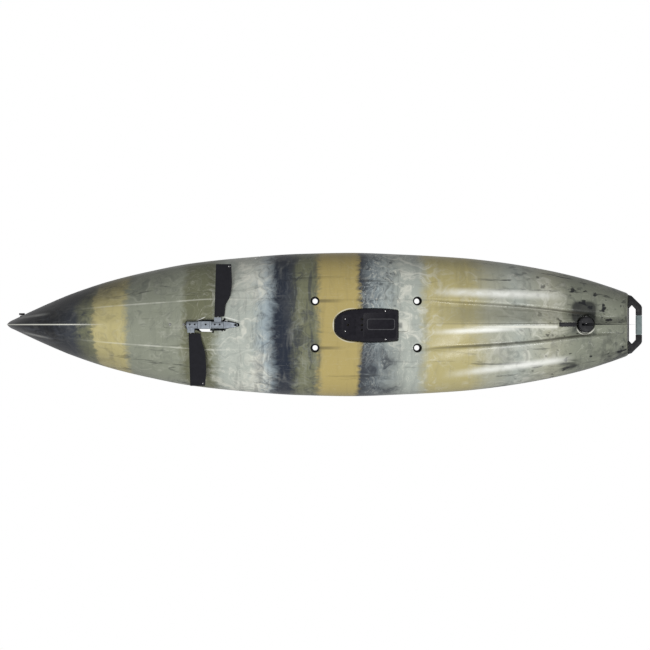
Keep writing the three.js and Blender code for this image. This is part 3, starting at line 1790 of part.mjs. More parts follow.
function makeSternHandle() {
  const ring = outline([
    [sternHandleX, -sternHandleHalf],
    [sternX + sternArmX, -sternHandleHalf + sternStrap],
    [sternBackX - sternStrap, -sternBarHalf - 2 * sternStrap],
    [sternBackX, -sternBarHalf],
    [sternBackX, sternBarHalf],
    [sternBackX - sternStrap, sternBarHalf + 2 * sternStrap],
    [sternX + sternArmX, sternHandleHalf - sternStrap],
    [sternHandleX, sternHandleHalf],
  ]);
  ring.holes.push(
    outline([
      [sternHandleX + sternStrap, -sternBarHalf + sternStrap],
      [sternX + sternMouthX, -sternMouthHalf],
      [sternBackX - sternBarWidth, -sternBarHalf + 2 * sternStrap],
      [sternBackX - sternBarWidth, sternBarHalf - 2 * sternStrap],
      [sternX + sternMouthX, sternMouthHalf],
      [sternHandleX + sternStrap, sternBarHalf - sternStrap],
    ]),
  );
  const gripLow = sternGripY - sternGripHalf;
  const gripHigh = sternGripY + sternGripHalf;
  const around = block(
    [sternBackX - sternBarWidth - wall, gripLow, sternHandleLow - wall],
    [sternBackX + wall, gripHigh, sternHandleHigh + wall],
  );
  const bolts = [-1, 1].flatMap((side) => {
    const centre = [0, side * sternBoltY, sternBoltZ];
    const headX = sternX + sternArmX - boltHeadHigh;
    return [
      bar("x", sternX - wall, sternBackX, sternBoltRadius + touchGap, centre, 12),
      bar("x", headX - touchGap, sternBackX + wall, boltHeadRadius + touchGap, centre, pinSides),
    ];
  });
  return carved(
    plate(ring, sternHandleLow, sternHandleHigh, spineEdge),
    around.subtract(sternCore(0)),
    ...bolts,
  );
}

function sternCore(grow) {
  return block(
    [
      sternBackX - sternBarWidth + sternCoreSide - grow,
      sternGripY - sternGripHalf - wall,
      sternHandleLow + sternCoreHigh - grow,
    ],
    [
      sternBackX - sternCoreSide + grow,
      sternGripY + sternGripHalf + wall,
      sternHandleHigh - sternCoreHigh + grow,
    ],
  );
}

addPiece("stern_handle", blackPlastic, makeSternHandle());
const gripSection = plate(
  roundedRectangle(sternBarWidth, 2 * (sternGripHalf - touchGap), 3 * spineEdge),
  sternHandleLow,
  sternHandleHigh,
  spineEdge,
  3,
).translate([sternBackX - sternBarWidth / 2, sternGripY, 0]);
addPiece("stern_handle_grip", gripRubber, gripSection.subtract(sternCore(touchGap)));
for (const [name, side] of [["stern_bolt_port", -1], ["stern_bolt_starboard", 1]]) {
  const centre = [0, side * sternBoltY, sternBoltZ];
  const headX = sternX + sternArmX - boltHeadHigh;
  addPiece(
    name,
    steel,
    joined(
      bar("x", sternX - sternBoltSink + touchGap, headX + touchGap, sternBoltRadius, centre, 12),
      bar("x", headX, headX + boltHeadHigh, boltHeadRadius, centre, pinSides),
    ),
  );
}

// Folding side handles, lying towards the cockpit
const handleFold = 42;
const handleGripRadius = 7;
const handleArmHalf = 6;
const trunnionLength = 9;
for (const [name, side] of [["side_handle_port", -1], ["side_handle_starboard", 1]]) {
  const reach = sideHandleLength / 2 - touchGap;
  const grip = bar("x", -reach, reach, handleGripRadius, [0, -side * handleFold, 0], pinSides);
  const arms = [-1, 1].map((end) => {
    const xs = [end * reach, end * (reach - 2 * handleArmHalf)].sort((a, b) => a - b);
    const ys = [handleArmHalf * side, -side * handleFold].sort((a, b) => a - b);
    const pins = [end * (reach - handleArmHalf), end * (reach + trunnionLength)];
    pins.sort((a, b) => a - b);
    return joined(
      block([xs[0], ys[0], -handleArmHalf], [xs[1], ys[1], handleArmHalf]),
      bar("x", pins[0], pins[1], trunnionRadius, [0, 0, 0], 12),
    );
  });
  const handle = addPiece(name, gripRubber, joined(grip, ...arms));
  handle.position.set(sideHandleX, side * handleY, handleZ + sidePivotRise);
}

// Gear rails
const railSlot = 9;
const railSlotDepth = 8;
const railSlotInner = 18;
const railSlotInnerHigh = 4;
for (const [name, side] of [["gear_rail_port", -1], ["gear_rail_starboard", 1]]) {
  const x = railLength / 2;
  const y = railWidth / 2;
  const neckLow = railThick - railSlotDepth;
  const rail = addPiece(
    name,
    railMetal,
    carved(
      block([-x, -y, 0], [x, y, railThick]),
      block([-x - wall, -railSlot / 2, neckLow], [x + wall, railSlot / 2, railThick + wall]),
      block(
        [-x - wall, -railSlotInner / 2, neckLow],
        [x + wall, railSlotInner / 2, neckLow + railSlotInnerHigh],
      ),
    ),
  );
  rail.position.set(railX, side * (halfBreadth(railX) - railInset), railSeat);
  rail.rotation.z = side * railYaw;
}

// Rod holders
for (const [name, side] of [["rod_holder_port", -1], ["rod_holder_starboard", 1]]) {
  const outerTube = bar("z", -rodDepth, 0, rodBore + rodWall, [0, 0, 0], rodSides);
  const inner = bar("z", rodWall - rodDepth, cutOverrun, rodBore, [0, 0, 0], rodSides);
  const low = rodPadRise + touchGap;
  const tube = outerTube.rotate([0, rodLeanDegrees, 0]);
  const neck = bar("z", -rodWall, 2 * rodPadRise, rodBore + rodWall, [0, 0, 0], rodSides);
  const trimmed = neck.rotate([0, rodLeanDegrees, 0]).subtract(
    block([-halfBeam, -halfBeam, low + rodFlangeThick], [halfBeam, halfBeam, halfBeam]),
  );
  const flange = bar("z", low, low + rodFlangeThick, rodPadRadius - rodFlangeInset, [0, 0, 0], 24);
  const holder = addPiece(
    name,
    blackPlastic,
    carved(joined(tube, trimmed, flange), inner.rotate([0, rodLeanDegrees, 0])),
  );
  holder.position.set(rodX, side * rodY, sheer(rodX));
}

// Seat: tube frame, base cushion, folding back and its cushion
const seatShare = 0.5771;
const seatX = placeAt(seatShare);
const seatLength = 380;
const seatWidth = 420;
const seatTube = 22;
const seatRise = 66;
const slatTop = seatRise + (3 * seatTube) / 4;
const seatCorner = 60;
const seatLegX = 130;
const seatLegY = 150;
const seatHingeX = 176;
const seatHingeZ = 178;
const seatEarThick = 10;
const seatEarHalf = 15;
const seatPinRadius = 6;
const seatCushionThick = 46;
const seatBackLeanDegrees = 14;
const seatBackHigh = 300;
const seatBackStart = 16;
const seatBackThick = 20;
const seatBackEyeInset = 2;
const seatBackSlatReach = 80;
const seatSideClear = 1.3;
const seatGroup = new THREE.Group();
seatGroup.position.set(seatX, 0, cockpitFloor);
kayak.add(seatGroup);

function tubeRing(length, width, corner, tube, low, high) {
  const shape = roundedRectangle(length, width, corner);
  shape.holes.push(roundedRectangle(length - 2 * tube, width - 2 * tube, corner - tube));
  return plate(shape, low, high, tube / 4, 3);
}

function makeSeatFrame() {
  const top = seatRise + seatTube;
  const legs = [-1, 1].flatMap((x) =>
    [-1, 1].map((y) =>
      bar(
        "z",
        touchGap,
        seatRise + seatTube / 2,
        seatTube / 2,
        [x * seatLegX, y * seatLegY, 0],
        pinSides,
      ),
    ),
  );
  const slats = [-1, 1].map((x) =>
    block(
      [x * seatLegX - seatTube / 2, -seatWidth / 2 + seatTube / 2, seatRise + seatTube / 4],
      [x * seatLegX + seatTube / 2, seatWidth / 2 - seatTube / 2, slatTop],
    ),
  );
  const ears = [-1, 1].map((y) => {
    const outer = y * (seatWidth / 2 - seatTube / 4);
    const ys = [outer, outer - y * seatEarThick].sort((a, b) => a - b);
    const pins = [outer - y * (seatEarThick / 2), outer + y * (seatEarThick + seatTube / 2)];
    pins.sort((a, b) => a - b);
    return joined(
      block(
        [seatHingeX - seatEarHalf, ys[0], seatRise + seatTube / 2],
        [seatHingeX + seatEarHalf, ys[1], seatHingeZ],
      ),
      bar("y", ys[0], ys[1], seatEarHalf, [seatHingeX, 0, seatHingeZ], pinSides),
      bar("y", pins[0], pins[1], seatPinRadius, [seatHingeX, 0, seatHingeZ], pinSides),
    );
  });
  const ring = tubeRing(seatLength, seatWidth, seatCorner, seatTube, seatRise, top);
  return joined(ring, ...legs, ...slats, ...ears);
}

// A cushion that is flat below, crowned on top and drawn in along its sides. The shares give each
// level's height and how far its edge is drawn in.
const cushionLevelShares = [
  [0, 0.06],
  [0.22, 0],
  [0.6, 0.02],
  [0.9, 0.12],
  [1, 0.4],
];
const cushionSteps = 11;
const cushionRoundness = 5;
function cushion(length, width, thick, drawn) {
  const rings = cushionLevelShares.map(([high, inset]) => {
    const halfX = (length / 2) * (1 - inset);
    const halfY = (width / 2) * (1 - inset);
    const pull = (share) => 1 - drawn * (1 - share * share);
    return planRing(
      -halfX,
      halfX,
      (x) => halfY * pull(x / halfX),
      () => thick * high,
      cushionSteps,
      cushionRoundness,
    );
  });
  return lofted(rings);
}

addPiece("seat_frame", blackPlastic, makeSeatFrame(), seatGroup);
const cushionDrawn = 0.03;
const cushionMargin = 10;
const seatCushion = addPiece(
  "seat_cushion",
  seatFabric,
  cushion(
    seatLength - 2 * seatTube - 2 * cushionMargin,
    seatWidth - 2 * seatTube - 2 * cushionMargin,
    seatCushionThick,
    cushionDrawn,
  ),
  seatGroup,
);
seatCushion.position.z = slatTop + touchGap;

const seatBackGroup = new THREE.Group();
seatBackGroup.position.set(seatHingeX, 0, seatHingeZ);
seatBackGroup.rotation.y = seatBackLeanDegrees * degrees;
seatGroup.add(seatBackGroup);

function makeSeatBack() {
  const inner = seatWidth / 2 - seatTube / 4 + seatSideClear;
  const outer = inner + seatEarThick;
  const middle = seatBackStart + seatBackHigh / 2;
  const ring = tubeRing(seatBackHigh, 2 * outer, seatCorner, seatTube, 0, seatBackThick)
    .rotate([0, -90, 0])
    .translate([seatBackThick / 2, 0, middle]);
  const ears = [-1, 1].map((y) => {
    const ys = [y * inner, y * outer].sort((a, b) => a - b);
    return carved(
      joined(
        block([-seatBackThick / 2, ys[0], 0], [seatBackThick / 2, ys[1], seatBackStart + seatCorner]),
        bar("y", ys[0], ys[1], seatEarHalf - seatBackEyeInset, [0, 0, 0], pinSides),
      ),
      bar("y", ys[0] - wall, ys[1] + wall, seatPinRadius + touchGap, [0, 0, 0], pinSides),
    );
  });
  const slats = [-1, 1].map((end) => {
    const centre = middle + end * seatBackSlatReach;
    return block(
      [-seatBackThick / 2, -outer + seatTube / 2, centre - seatTube / 2],
      [0, outer - seatTube / 2, centre + seatTube / 2],
    );
  });
  return joined(ring, ...ears, ...slats);
}

addPiece("seat_back_frame", blackPlastic, makeSeatBack(), seatBackGroup);
const backCushion = addPiece(
  "seat_back_cushion",
  seatFabric,
  cushion(
    seatBackHigh - 2 * cushionMargin,
    seatWidth - 2 * seatTube - 2 * cushionMargin,
    seatCushionThick,
    cushionDrawn,
  ),
  seatBackGroup,
);
backCushion.rotation.y = -quarterTurn;
backCushion.position.set(-seatBackThick / 2 - touchGap, 0, seatBackStart + seatBackHigh / 2);

// Bow toggle on its bracket
const bracketProud = 3;
const bracketOut = halfBreadth(toggleX) + bracketProud;
const bracketHigh = 12;
const neckRadius = 3;
const neckZ = 6;
const toggleReach = 9;
const toggleOut = bracketOut + toggleReach;
const toggleRadius = 6;
const toggleHalf = 17;
const neckSeat = 12;
const toggleGroup = new THREE.Group();
toggleGroup.position.set(toggleX, 0, toggleSeatZ);
kayak.add(toggleGroup);
addPiece(
  "bow_toggle_bracket",
  blackPlastic,
  block([-toggleSeatHalf, -bracketOut, touchGap], [toggleSeatHalf, toggleSeatY, bracketHigh]).subtract(
    bar("y", -bracketOut - wall, -bracketOut + neckSeat, neckRadius + touchGap, [0, 0, neckZ], 12),
  ),
  toggleGroup,
);
addPiece(
  "bow_toggle",
  sealRubber,
  joined(
    bar("y", -toggleOut, -bracketOut + neckSeat - touchGap, neckRadius, [0, 0, neckZ], 12),
    bar("x", -toggleHalf, toggleHalf, toggleRadius, [0, -toggleOut, neckZ], 12),
  ),
  toggleGroup,
);

// Drain plug
const drainGroup = new THREE.Group();
drainGroup.position.set(drainX, 0, drainPadZ);
kayak.add(drainGroup);
addPiece(
  "drain_plug",
  blackPlastic,
  joined(
    bar("z", touchGap - drainDepth, 2 * touchGap, drainRadius - touchGap, [0, 0, 0], pinSides),
    turnLatch(drainFlange, latchHigh, latchGripHigh, latchGripWide).translate([0, 0, touchGap]),
  ),
  drainGroup,
);

export default kayak;
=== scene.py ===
# %% [markdown]
# # A pedal kayak, seen from below
#
# This lesson dresses a CAD kayak for a picture of its underside: a hull of marbled plastic, a
# pedal drive with two flat fins, a dark shield plate, a small rudder and a carrying handle.
# The CAD model gives every place and size. Blender adds the smooth surfaces, the finishes
# and the light.

import json
import math

import bmesh
import bpy
import numpy as np
from mathutils import Matrix, Vector


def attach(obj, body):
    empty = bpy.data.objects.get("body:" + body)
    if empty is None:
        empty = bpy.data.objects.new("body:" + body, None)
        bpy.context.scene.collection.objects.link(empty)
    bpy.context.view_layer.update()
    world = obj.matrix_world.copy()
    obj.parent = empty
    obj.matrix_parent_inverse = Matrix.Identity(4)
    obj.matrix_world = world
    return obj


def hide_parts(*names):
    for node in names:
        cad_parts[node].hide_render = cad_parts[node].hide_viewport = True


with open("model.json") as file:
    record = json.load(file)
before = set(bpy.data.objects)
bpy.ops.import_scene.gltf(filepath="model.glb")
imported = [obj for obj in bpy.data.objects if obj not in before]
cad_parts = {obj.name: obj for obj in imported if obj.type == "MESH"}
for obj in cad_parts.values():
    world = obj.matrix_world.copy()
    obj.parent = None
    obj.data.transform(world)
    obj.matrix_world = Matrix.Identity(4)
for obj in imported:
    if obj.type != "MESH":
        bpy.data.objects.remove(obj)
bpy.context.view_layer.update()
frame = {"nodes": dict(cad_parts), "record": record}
nodes = frame["nodes"]


def into_scene(thing):
    bpy.context.scene.collection.objects.link(thing)
    return thing


# %% [markdown]
# ## Camera
#
# The picture looks straight up at the boat, with the bow to the left. A short lens close by would
# bulge the middle of the hull, and no perspective at all would lose the depth of the fins. So the
# camera has a longish lens and lies eight metres below.

# %% Camera
CAMERA_PLACE = (0.008, 0.003, -8.0)
LENS = 74.95
lens = bpy.data.cameras.new("picture_camera")
lens.lens = LENS
camera = bpy.data.objects.new("picture_camera", lens)
camera.location = CAMERA_PLACE
camera.rotation_euler = (math.pi, 0, 0)
into_scene(camera)
bpy.context.scene.camera = camera
bpy.context.scene.view_settings.view_transform = "Standard"
print("camera at", CAMERA_PLACE, "with a lens of", LENS, "mm")

# %% [markdown]
# ## Lamps
#
# The boat hangs in a white studio. A key lamp from starboard models the bottom, and two long
# strips give the plastic soft highlights. Two lamps over the deck serve the views from above.
# They stay out of reflections, since a lamp mirrored at a grazing angle burns a ragged edge along
# the gunwale.

# %% Lamps
LAMPS = (
    # name, place, what it points at, size, watts, whether the boat mirrors it
    ("key_below", (-2.2, 4.0, -7.4), (0.0, 0.0, 0.1), (2.8, 2.0), 480, False),
    ("strip_aft", (2.6, 0.95, -5.4), (1.2, 0.1, 0.1), (3.0, 0.2), 90, True),
    ("strip_bow", (-3.7, 0.1, -4.6), (-1.5, 0.0, 0.1), (2.6, 0.35), 22, True),
    ("deck_key", (-1.2, -1.2, 4.8), (0.0, 0.0, 0.2), (3.0, 1.6), 150, False),
    ("deck_fill", (1.6, 0.9, 4.6), (0.2, 0.0, 0.2), (2.4, 1.2), 60, False),
)


def soft_lamp(name, place, target, size, watts, mirrored):
    lamp = bpy.data.lights.new(name, "AREA")
    lamp.shape = "RECTANGLE"
    lamp.size, lamp.size_y = size
    lamp.energy = watts
    holder = bpy.data.objects.new(name, lamp)
    holder.location = place
    aim = Vector(target) - Vector(place)
    holder.rotation_euler = aim.to_track_quat("-Z", "Y").to_euler()
    holder.visible_camera = False
    holder.visible_glossy = mirrored
    into_scene(holder)


for lamp_row in LAMPS:
    soft_lamp(*lamp_row)
print("lamps:", len(LAMPS))

# %% [markdown]
# ## Small helpers for node trees
#
# Every finish below is made of shader nodes. `add` makes a node and `give` sets or joins one
# socket, so a finish reads like a recipe. Each helper after them stands for one step that comes
# back often, such as a soft ramp or a mix of two colours.

# %% Node helpers
def give(tree, socket, value):
    if isinstance(value, bpy.types.NodeSocket):
        tree.links.new(value, socket)
    elif isinstance(value, tuple) and socket.type == "RGBA":
        socket.default_value = (*value[:3], 1)
    else:
        socket.default_value = value


def add(tree, kind, values=None, **settings):
    node = tree.nodes.new("ShaderNode" + kind)
    for name, value in settings.items():
        setattr(node, name, value)
    for name, value in (values or {}).items():
        give(tree, node.inputs[name], value)
    return node


def feed(tree, node, **values):
    for name, value in values.items():
        give(tree, node.inputs[name.replace("_", " ")], value)


def use_group(tree, group, **values):
    node = add(tree, "Group", node_tree=group)
    feed(tree, node, **values)
    return node


def open_group(name, amounts, *results):
    tree = bpy.data.node_groups.new(name, "ShaderNodeTree")
    tree.interface.new_socket("Vector", in_out="INPUT", socket_type="NodeSocketVector")
    for label, value in amounts.items():
        amount = tree.interface.new_socket(label, in_out="INPUT", socket_type="NodeSocketFloat")
        amount.default_value = value
    for label in results:
        kind = "NodeSocketColor" if label == "Color" else "NodeSocketFloat"
        tree.interface.new_socket(label, in_out="OUTPUT", socket_type=kind)
    ends = tree.nodes.new("NodeGroupInput").outputs, tree.nodes.new("NodeGroupOutput").inputs
    return tree, *ends


# %% Sums, ramps and mixes
def calc(tree, operation, *terms):
    node = add(tree, "Math", operation=operation)
    for socket, term in zip(node.inputs, terms):
        give(tree, socket, term)
    return node.outputs[0]


def product(tree, first, *others):
    for other in others:
        first = calc(tree, "MULTIPLY", first, other)
    return first


def strongest(tree, first, *others):
    for other in others:
        first = calc(tree, "MAXIMUM", first, other)
    return first


def between(tree, value, start, end, low=0.0, high=1.0):
    ramp_values = {"Value": value, "From Min": start, "From Max": end, "To Min": low, "To Max": high}
    return add(tree, "MapRange", ramp_values, interpolation_type="SMOOTHSTEP").outputs[0]


def mix(tree, factor, first, second):
    # Sockets 6 and 7 are the two colours of a mix node, and output 2 is its colour
    node = add(tree, "Mix", {0: factor, 6: first, 7: second}, data_type="RGBA")
    return node.outputs[2]


# %% Noises and colour ramps
def stretched(tree, vector, scale, shift=(0, 0, 0)):
    node = add(tree, "Mapping", {"Vector": vector, "Scale": scale, "Location": shift})
    return node.outputs[0]


def noise(tree, vector, scale, detail=4.0, roughness=0.55, distortion=0.0):
    values = {"Vector": vector, "Scale": scale, "Detail": detail, "Roughness": roughness}
    values["Distortion"] = distortion
    return add(tree, "TexNoise", values).outputs[0]


def colour_steps(tree, factor, steps):
    node = add(tree, "ValToRGB", {"Fac": factor})
    stops = node.color_ramp.elements
    while len(stops) < len(steps):
        stops.new(0.5)
    for stop, (place, colour) in zip(stops, sorted(steps)):
        stop.position = place
    # The stops sort themselves as they move, so the colours wait until all are in place
    for stop, (place, colour) in zip(stops, sorted(steps)):
        stop.color = (*colour, 1)
    return node.outputs[0]


# %% [markdown]
# ## Floor and sky
#
# A real floor would hide the boat from a camera below it, and glass would bend the light. This
# floor is pale seen from above and clear to all else. The sky looks white, but lights the boat
# with about a third of that, so that the lamps can shape it.

# %% Floor
FLOOR_REACH, FLOOR_DROP = 30, 0.001
FLOOR_SHADE = (0.86, 0.86, 0.85)
floor_mesh = bpy.data.meshes.new("studio_floor")
floor_corners = [(x * FLOOR_REACH, y * FLOOR_REACH, 0) for x, y in ((-1, -1), (1, -1), (1, 1), (-1, 1))]
floor_mesh.from_pydata(floor_corners, [], [(0, 1, 2, 3)])
studio_floor = into_scene(bpy.data.objects.new("studio_floor", floor_mesh))
studio_floor.location.z = -FLOOR_DROP

floor_paint = bpy.data.materials.new("floor_paint")
floor_paint.use_nodes = True
tree = floor_paint.node_tree
tree.nodes.clear()
pale = add(tree, "BsdfDiffuse", {"Color": FLOOR_SHADE})
clear = add(tree, "BsdfTransparent")
rays = add(tree, "LightPath")
unseen = calc(tree, "SUBTRACT", 1.0, rays.outputs["Is Camera Ray"])
facing = add(tree, "NewGeometry")
unseen = calc(tree, "MAXIMUM", unseen, facing.outputs["Backfacing"])
either = add(tree, "MixShader", {0: unseen, 1: pale.outputs[0], 2: clear.outputs[0]})
add(tree, "OutputMaterial", {"Surface": either.outputs[0]})
floor_mesh.materials.append(floor_paint)
print("floor:", 2 * FLOOR_REACH, "m wide, clear from below")

# %% White sky
SKY_LIGHT = 0.34
world = bpy.data.worlds.new("white_studio")
bpy.context.scene.world = world
world.use_nodes = True
tree = world.node_tree
tree.nodes.clear()
rays = add(tree, "LightPath")
seen = calc(tree, "MAXIMUM", rays.outputs["Is Camera Ray"], rays.outputs["Is Transmission Ray"])
strength = between(tree, seen, 0.0, 1.0, SKY_LIGHT, 1.0)
sky = add(tree, "Background", {"Color": (1, 1, 1), "Strength": strength})
add(tree, "OutputWorld", {"Surface": sky.outputs[0]})
print("sky lights the boat with", SKY_LIGHT)

# %% [markdown]
# ## Effects that several finishes share
#
# Moulded plastic has a fine pebbled skin, used parts carry scratches along the way they slide,
# and outdoor gear gathers a little dust. Each effect is one node group that gives a height or a
# mask, so every finish can use it in its own way.

# %% Pebbled skin
WAVES_TO_GRAIN = 0.06
amounts = {"Grain Size": 0.004, "Waviness": 0.4}
tree, given, out = open_group("pebbled_skin", amounts, "Height", "Mottle")
per_metre = calc(tree, "DIVIDE", 1.0, given["Grain Size"])
grain = noise(tree, given["Vector"], per_metre, 3.0)
waves = noise(tree, given["Vector"], product(tree, per_metre, WAVES_TO_GRAIN), 2.0)
summed = calc(tree, "ADD", grain, product(tree, waves, given["Waviness"]))
tree.links.new(summed, out["Height"])
tree.links.new(between(tree, waves, 0.3, 0.7), out["Mottle"])
pebbled_skin = tree

# %% Fine scratches along the boat
tree, given, out = open_group("fine_scratches", {"Spacing": 0.02, "Amount": 0.5}, "Mask")
per_metre = calc(tree, "DIVIDE", 1.0, given["Spacing"])
combed = stretched(tree, given["Vector"], (0.04, 1.0, 1.0))
lines = noise(tree, combed, per_metre, 5.0, 0.65, 0.3)
patches = noise(tree, given["Vector"], 3.0, 2.0)
fine = between(tree, lines, 0.56, 0.74)
tree.links.new(product(tree, fine, patches, given["Amount"]), out["Mask"])
fine_scratches = tree

# %% Settled dust
tree, given, out = open_group("settled_dust", {"Amount": 0.3}, "Mask")
turned = add(tree, "NewGeometry").outputs["Normal"]
up = add(tree, "SeparateXYZ", {"Vector": turned}).outputs["Z"]
lying = between(tree, up, 0.2, 1.0)
cloud = between(tree, noise(tree, given["Vector"], 9.0, 5.0, 0.6), 0.35, 0.8)
tree.links.new(product(tree, lying, cloud, given["Amount"]), out["Mask"])
settled_dust = tree
print("shared effects:", [group.name for group in (pebbled_skin, fine_scratches, settled_dust)])

# %% [markdown]
# ## The hull's lines
#
# A boat's shape is a few curves along its length: half breadth, deck edge, keel, the edge of the
# centre plank, and how round each section is. The CAD model uses coarse sections through these
# curves, to keep its faces few. The same curves, sampled finely, give the picture a smooth hull
# that lies on the CAD one everywhere.


# %% A curve through a few points
def curve_through(points):
    places, values = (np.array(part, float) for part in zip(*points))
    slopes = np.diff(values) / np.diff(places)
    paired = slopes[:-1] * slopes[1:]
    total = np.where(slopes[:-1] + slopes[1:] == 0, 1, slopes[:-1] + slopes[1:])
    inner = np.where(paired <= 0, 0, 2 * paired / total)
    tangents = np.concatenate([[slopes[0]], inner, [slopes[-1]]])

    def curve(place):
        place = np.clip(place, places[0], places[-1])
        i = np.clip(np.searchsorted(places, place) - 1, 0, len(slopes) - 1)
        span = places[i + 1] - places[i]
        t = (place - places[i]) / span
        rise = values[i + 1] - values[i]
        bend = (1 - t) * tangents[i] - t * tangents[i + 1]
        return values[i] + rise * t + t * (1 - t) * (bend * span - (1 - 2 * t) * rise)

    return curve


# %% Curves along the hull, as shares of its length and of its greatest measure
breadth_curve = curve_through([
    (0, 0.03), (0.0025, 0.052), (0.009, 0.077), (0.0315, 0.169), (0.06, 0.281), (0.1025, 0.434),
    (0.167, 0.616), (0.2315, 0.749), (0.296, 0.854), (0.3765, 0.929), (0.473, 0.986), (0.555, 1),
    (0.634, 0.977), (0.731, 0.929), (0.795, 0.868), (0.86, 0.776), (0.9245, 0.651), (0.972, 0.525),
    (1, 0.438),
])
sheer_curve = curve_through([
    (0, 1.317), (0.1, 1.253), (0.25, 1.117), (0.4, 1.013), (0.6, 0.973), (0.8, 0.987), (1, 1.04),
])
keel_curve = curve_through([
    (0, 1), (0.006, 0.783), (0.02, 0.55), (0.05, 0.36), (0.1, 0.247), (0.17, 0.167), (0.25, 0.132),
    (0.31, 0.127), (0.35, 0.118), (0.385, 0.072), (0.425, 0.02), (0.46, 0), (0.76, 0),
    (0.85, 0.045), (0.9, 0.11), (0.925, 0.157), (0.96, 0.24), (1, 0.36),
])
plank_curve = curve_through([
    (0, 0.02), (0.05, 0.13), (0.099, 0.183), (0.18, 0.251), (0.27, 0.306), (0.341, 0.345),
    (0.497, 0.32), (0.656, 0.315), (0.692, 0.292), (0.785, 0.244), (0.847, 0.199), (0.879, 0.167),
    (0.925, 0.12), (1, 0.09),
])
fullness_curve = curve_through([
    (0, 1.15), (0.08, 1.25), (0.18, 1.7), (0.28, 1.95), (0.37, 2.1), (0.46, 2.3), (0.75, 2.4),
    (1, 2.3),
])
side_curve = curve_through([(0, 1.45), (0.15, 1.65), (0.35, 2), (0.8, 2.1), (1, 2.1)])
crown_curve = curve_through([(0, 0.03), (0.1, 0.075), (0.3, 0.05), (0.5, 0.03), (1, 0.05)])
print("lines of the hull: breadth, sheer, keel, plank, fullness, side and crown")

# %% Sizes of the hull, in metres
BOW, STERN = -1.944, 1.858
HALF_BEAM, HULL_DEPTH = 0.438, 0.3
RIM_ROUND = 0.016
PLANK_STEP, PLANK_EDGE = 0.003, 0.014
VALLEY_RISE, SPONSON_RISE, VALLEY_WALL = 0.03, 0.005, 0.026
RIDGE_DEPTH, RIDGE_WIDTH = 0.006, 0.034
WALL = 0.006

# Shares of the length where a shape starts, is full, is full until, and ends
FLAT_SPAN, STEP_SPAN = (0.37, 0.46, 0.68, 0.8), (0.3, 0.42, 0.62, 0.72)
VALLEY_SPAN, RIDGE_SPAN = (0.64, 0.78, 0.925, 0.985), (0.02, 0.09, 0.24, 0.32)
VALLEY_POWER, SHAPES_END = 1.3, 0.8
print("hull:", STERN - BOW, "m long and", 2 * HALF_BEAM, "m wide")


# %% Breadth, deck edge and keel at a place
def ramp(value, start, end):
    t = np.clip((value - start) / (end - start), 0, 1)
    return t * t * (3 - 2 * t)


def span_weight(place, start, full, until, end):
    return ramp(place, start, full) * (1 - ramp(place, until, end))


def share_along(x):
    return (x - BOW) / (STERN - BOW)


def half_breadth(x):
    return HALF_BEAM * breadth_curve(share_along(x))


def sheer(x):
    return HULL_DEPTH * sheer_curve(share_along(x))


def keel(x):
    return HULL_DEPTH * keel_curve(share_along(x))


def plank_half(x):
    return HALF_BEAM * plank_curve(share_along(x))


def flat_half(x):
    return plank_half(x) * span_weight(share_along(x), *FLAT_SPAN)


def rim_at(x):
    return np.minimum(RIM_ROUND, half_breadth(x) / 2)


def deck_height(x, out):
    crown = HULL_DEPTH * crown_curve(share_along(x))
    return sheer(x) + crown * (1 - np.clip(out / half_breadth(x), 0, 1) ** 2)


# %% Height of the bottom at a place and a distance from the middle
def bottom_height(x, out):
    s = share_along(x)
    share = np.clip((out - flat_half(x)) / (half_breadth(x) - flat_half(x)), 0, 1)
    depth = sheer(x) - rim_at(x) - keel(x)
    base = keel(x) + depth * (1 - (1 - share ** fullness_curve(s)) ** (1 / side_curve(s)))
    line = plank_half(x)
    step = PLANK_STEP * ramp(out, line, line + PLANK_EDGE)
    inner = VALLEY_RISE * np.minimum(1, out / line) ** VALLEY_POWER
    drop = (VALLEY_RISE - SPONSON_RISE) * ramp(out, line, line + VALLEY_WALL)
    fade = SPONSON_RISE * ramp(out, line + VALLEY_WALL, half_breadth(x))
    ridge = RIDGE_DEPTH * np.exp(-(((out - line) / RIDGE_WIDTH) ** 2))
    shape = span_weight(s, *STEP_SPAN) * step
    shape = shape + span_weight(s, *VALLEY_SPAN) * (inner - drop - fade)
    shape = shape - span_weight(s, *RIDGE_SPAN) * ridge
    return base + (1 - ramp(share, SHAPES_END, 1)) * shape


def skin_at(x, height):
    s = share_along(x)
    share = np.clip((height - keel(x)) / (sheer(x) - rim_at(x) - keel(x)), 0, 1)
    reach = (1 - (1 - share) ** side_curve(s)) ** (1 / fullness_curve(s))
    return flat_half(x) + (half_breadth(x) - flat_half(x)) * reach


print("hull depth at the middle:", round(float(sheer(0.0) - keel(0.0)), 3))

# %% [markdown]
# ## The marbled hull plastic
#
# Such a hull is moulded from coloured powders that melt into each other in the turning mould.
# Each colour lies in a broad band across the boat, and swirls drag it into its neighbours.
# So the base is one row of named colours along the boat, whose borders are pushed about by
# noise at three sizes. Pale smoke, dark smoke, thin veins and ink spots come on top, each
# only in the stretch of the boat that shows it.

# %% Colours of the powders
INK = (0.008, 0.009, 0.012)
CHARCOAL = (0.035, 0.04, 0.05)
NAVY = (0.014, 0.02, 0.034)
HAZE_BLUE = (0.3, 0.36, 0.39)
OLIVE = (0.15, 0.155, 0.095)
SAGE = (0.235, 0.25, 0.195)
STRAW = (0.43, 0.38, 0.18)
OCHRE = (0.4, 0.32, 0.12)
MIST = (0.37, 0.4, 0.36)
SLATE = (0.2, 0.235, 0.25)
REED = (0.38, 0.38, 0.29)
CREAM = (0.66, 0.66, 0.58)

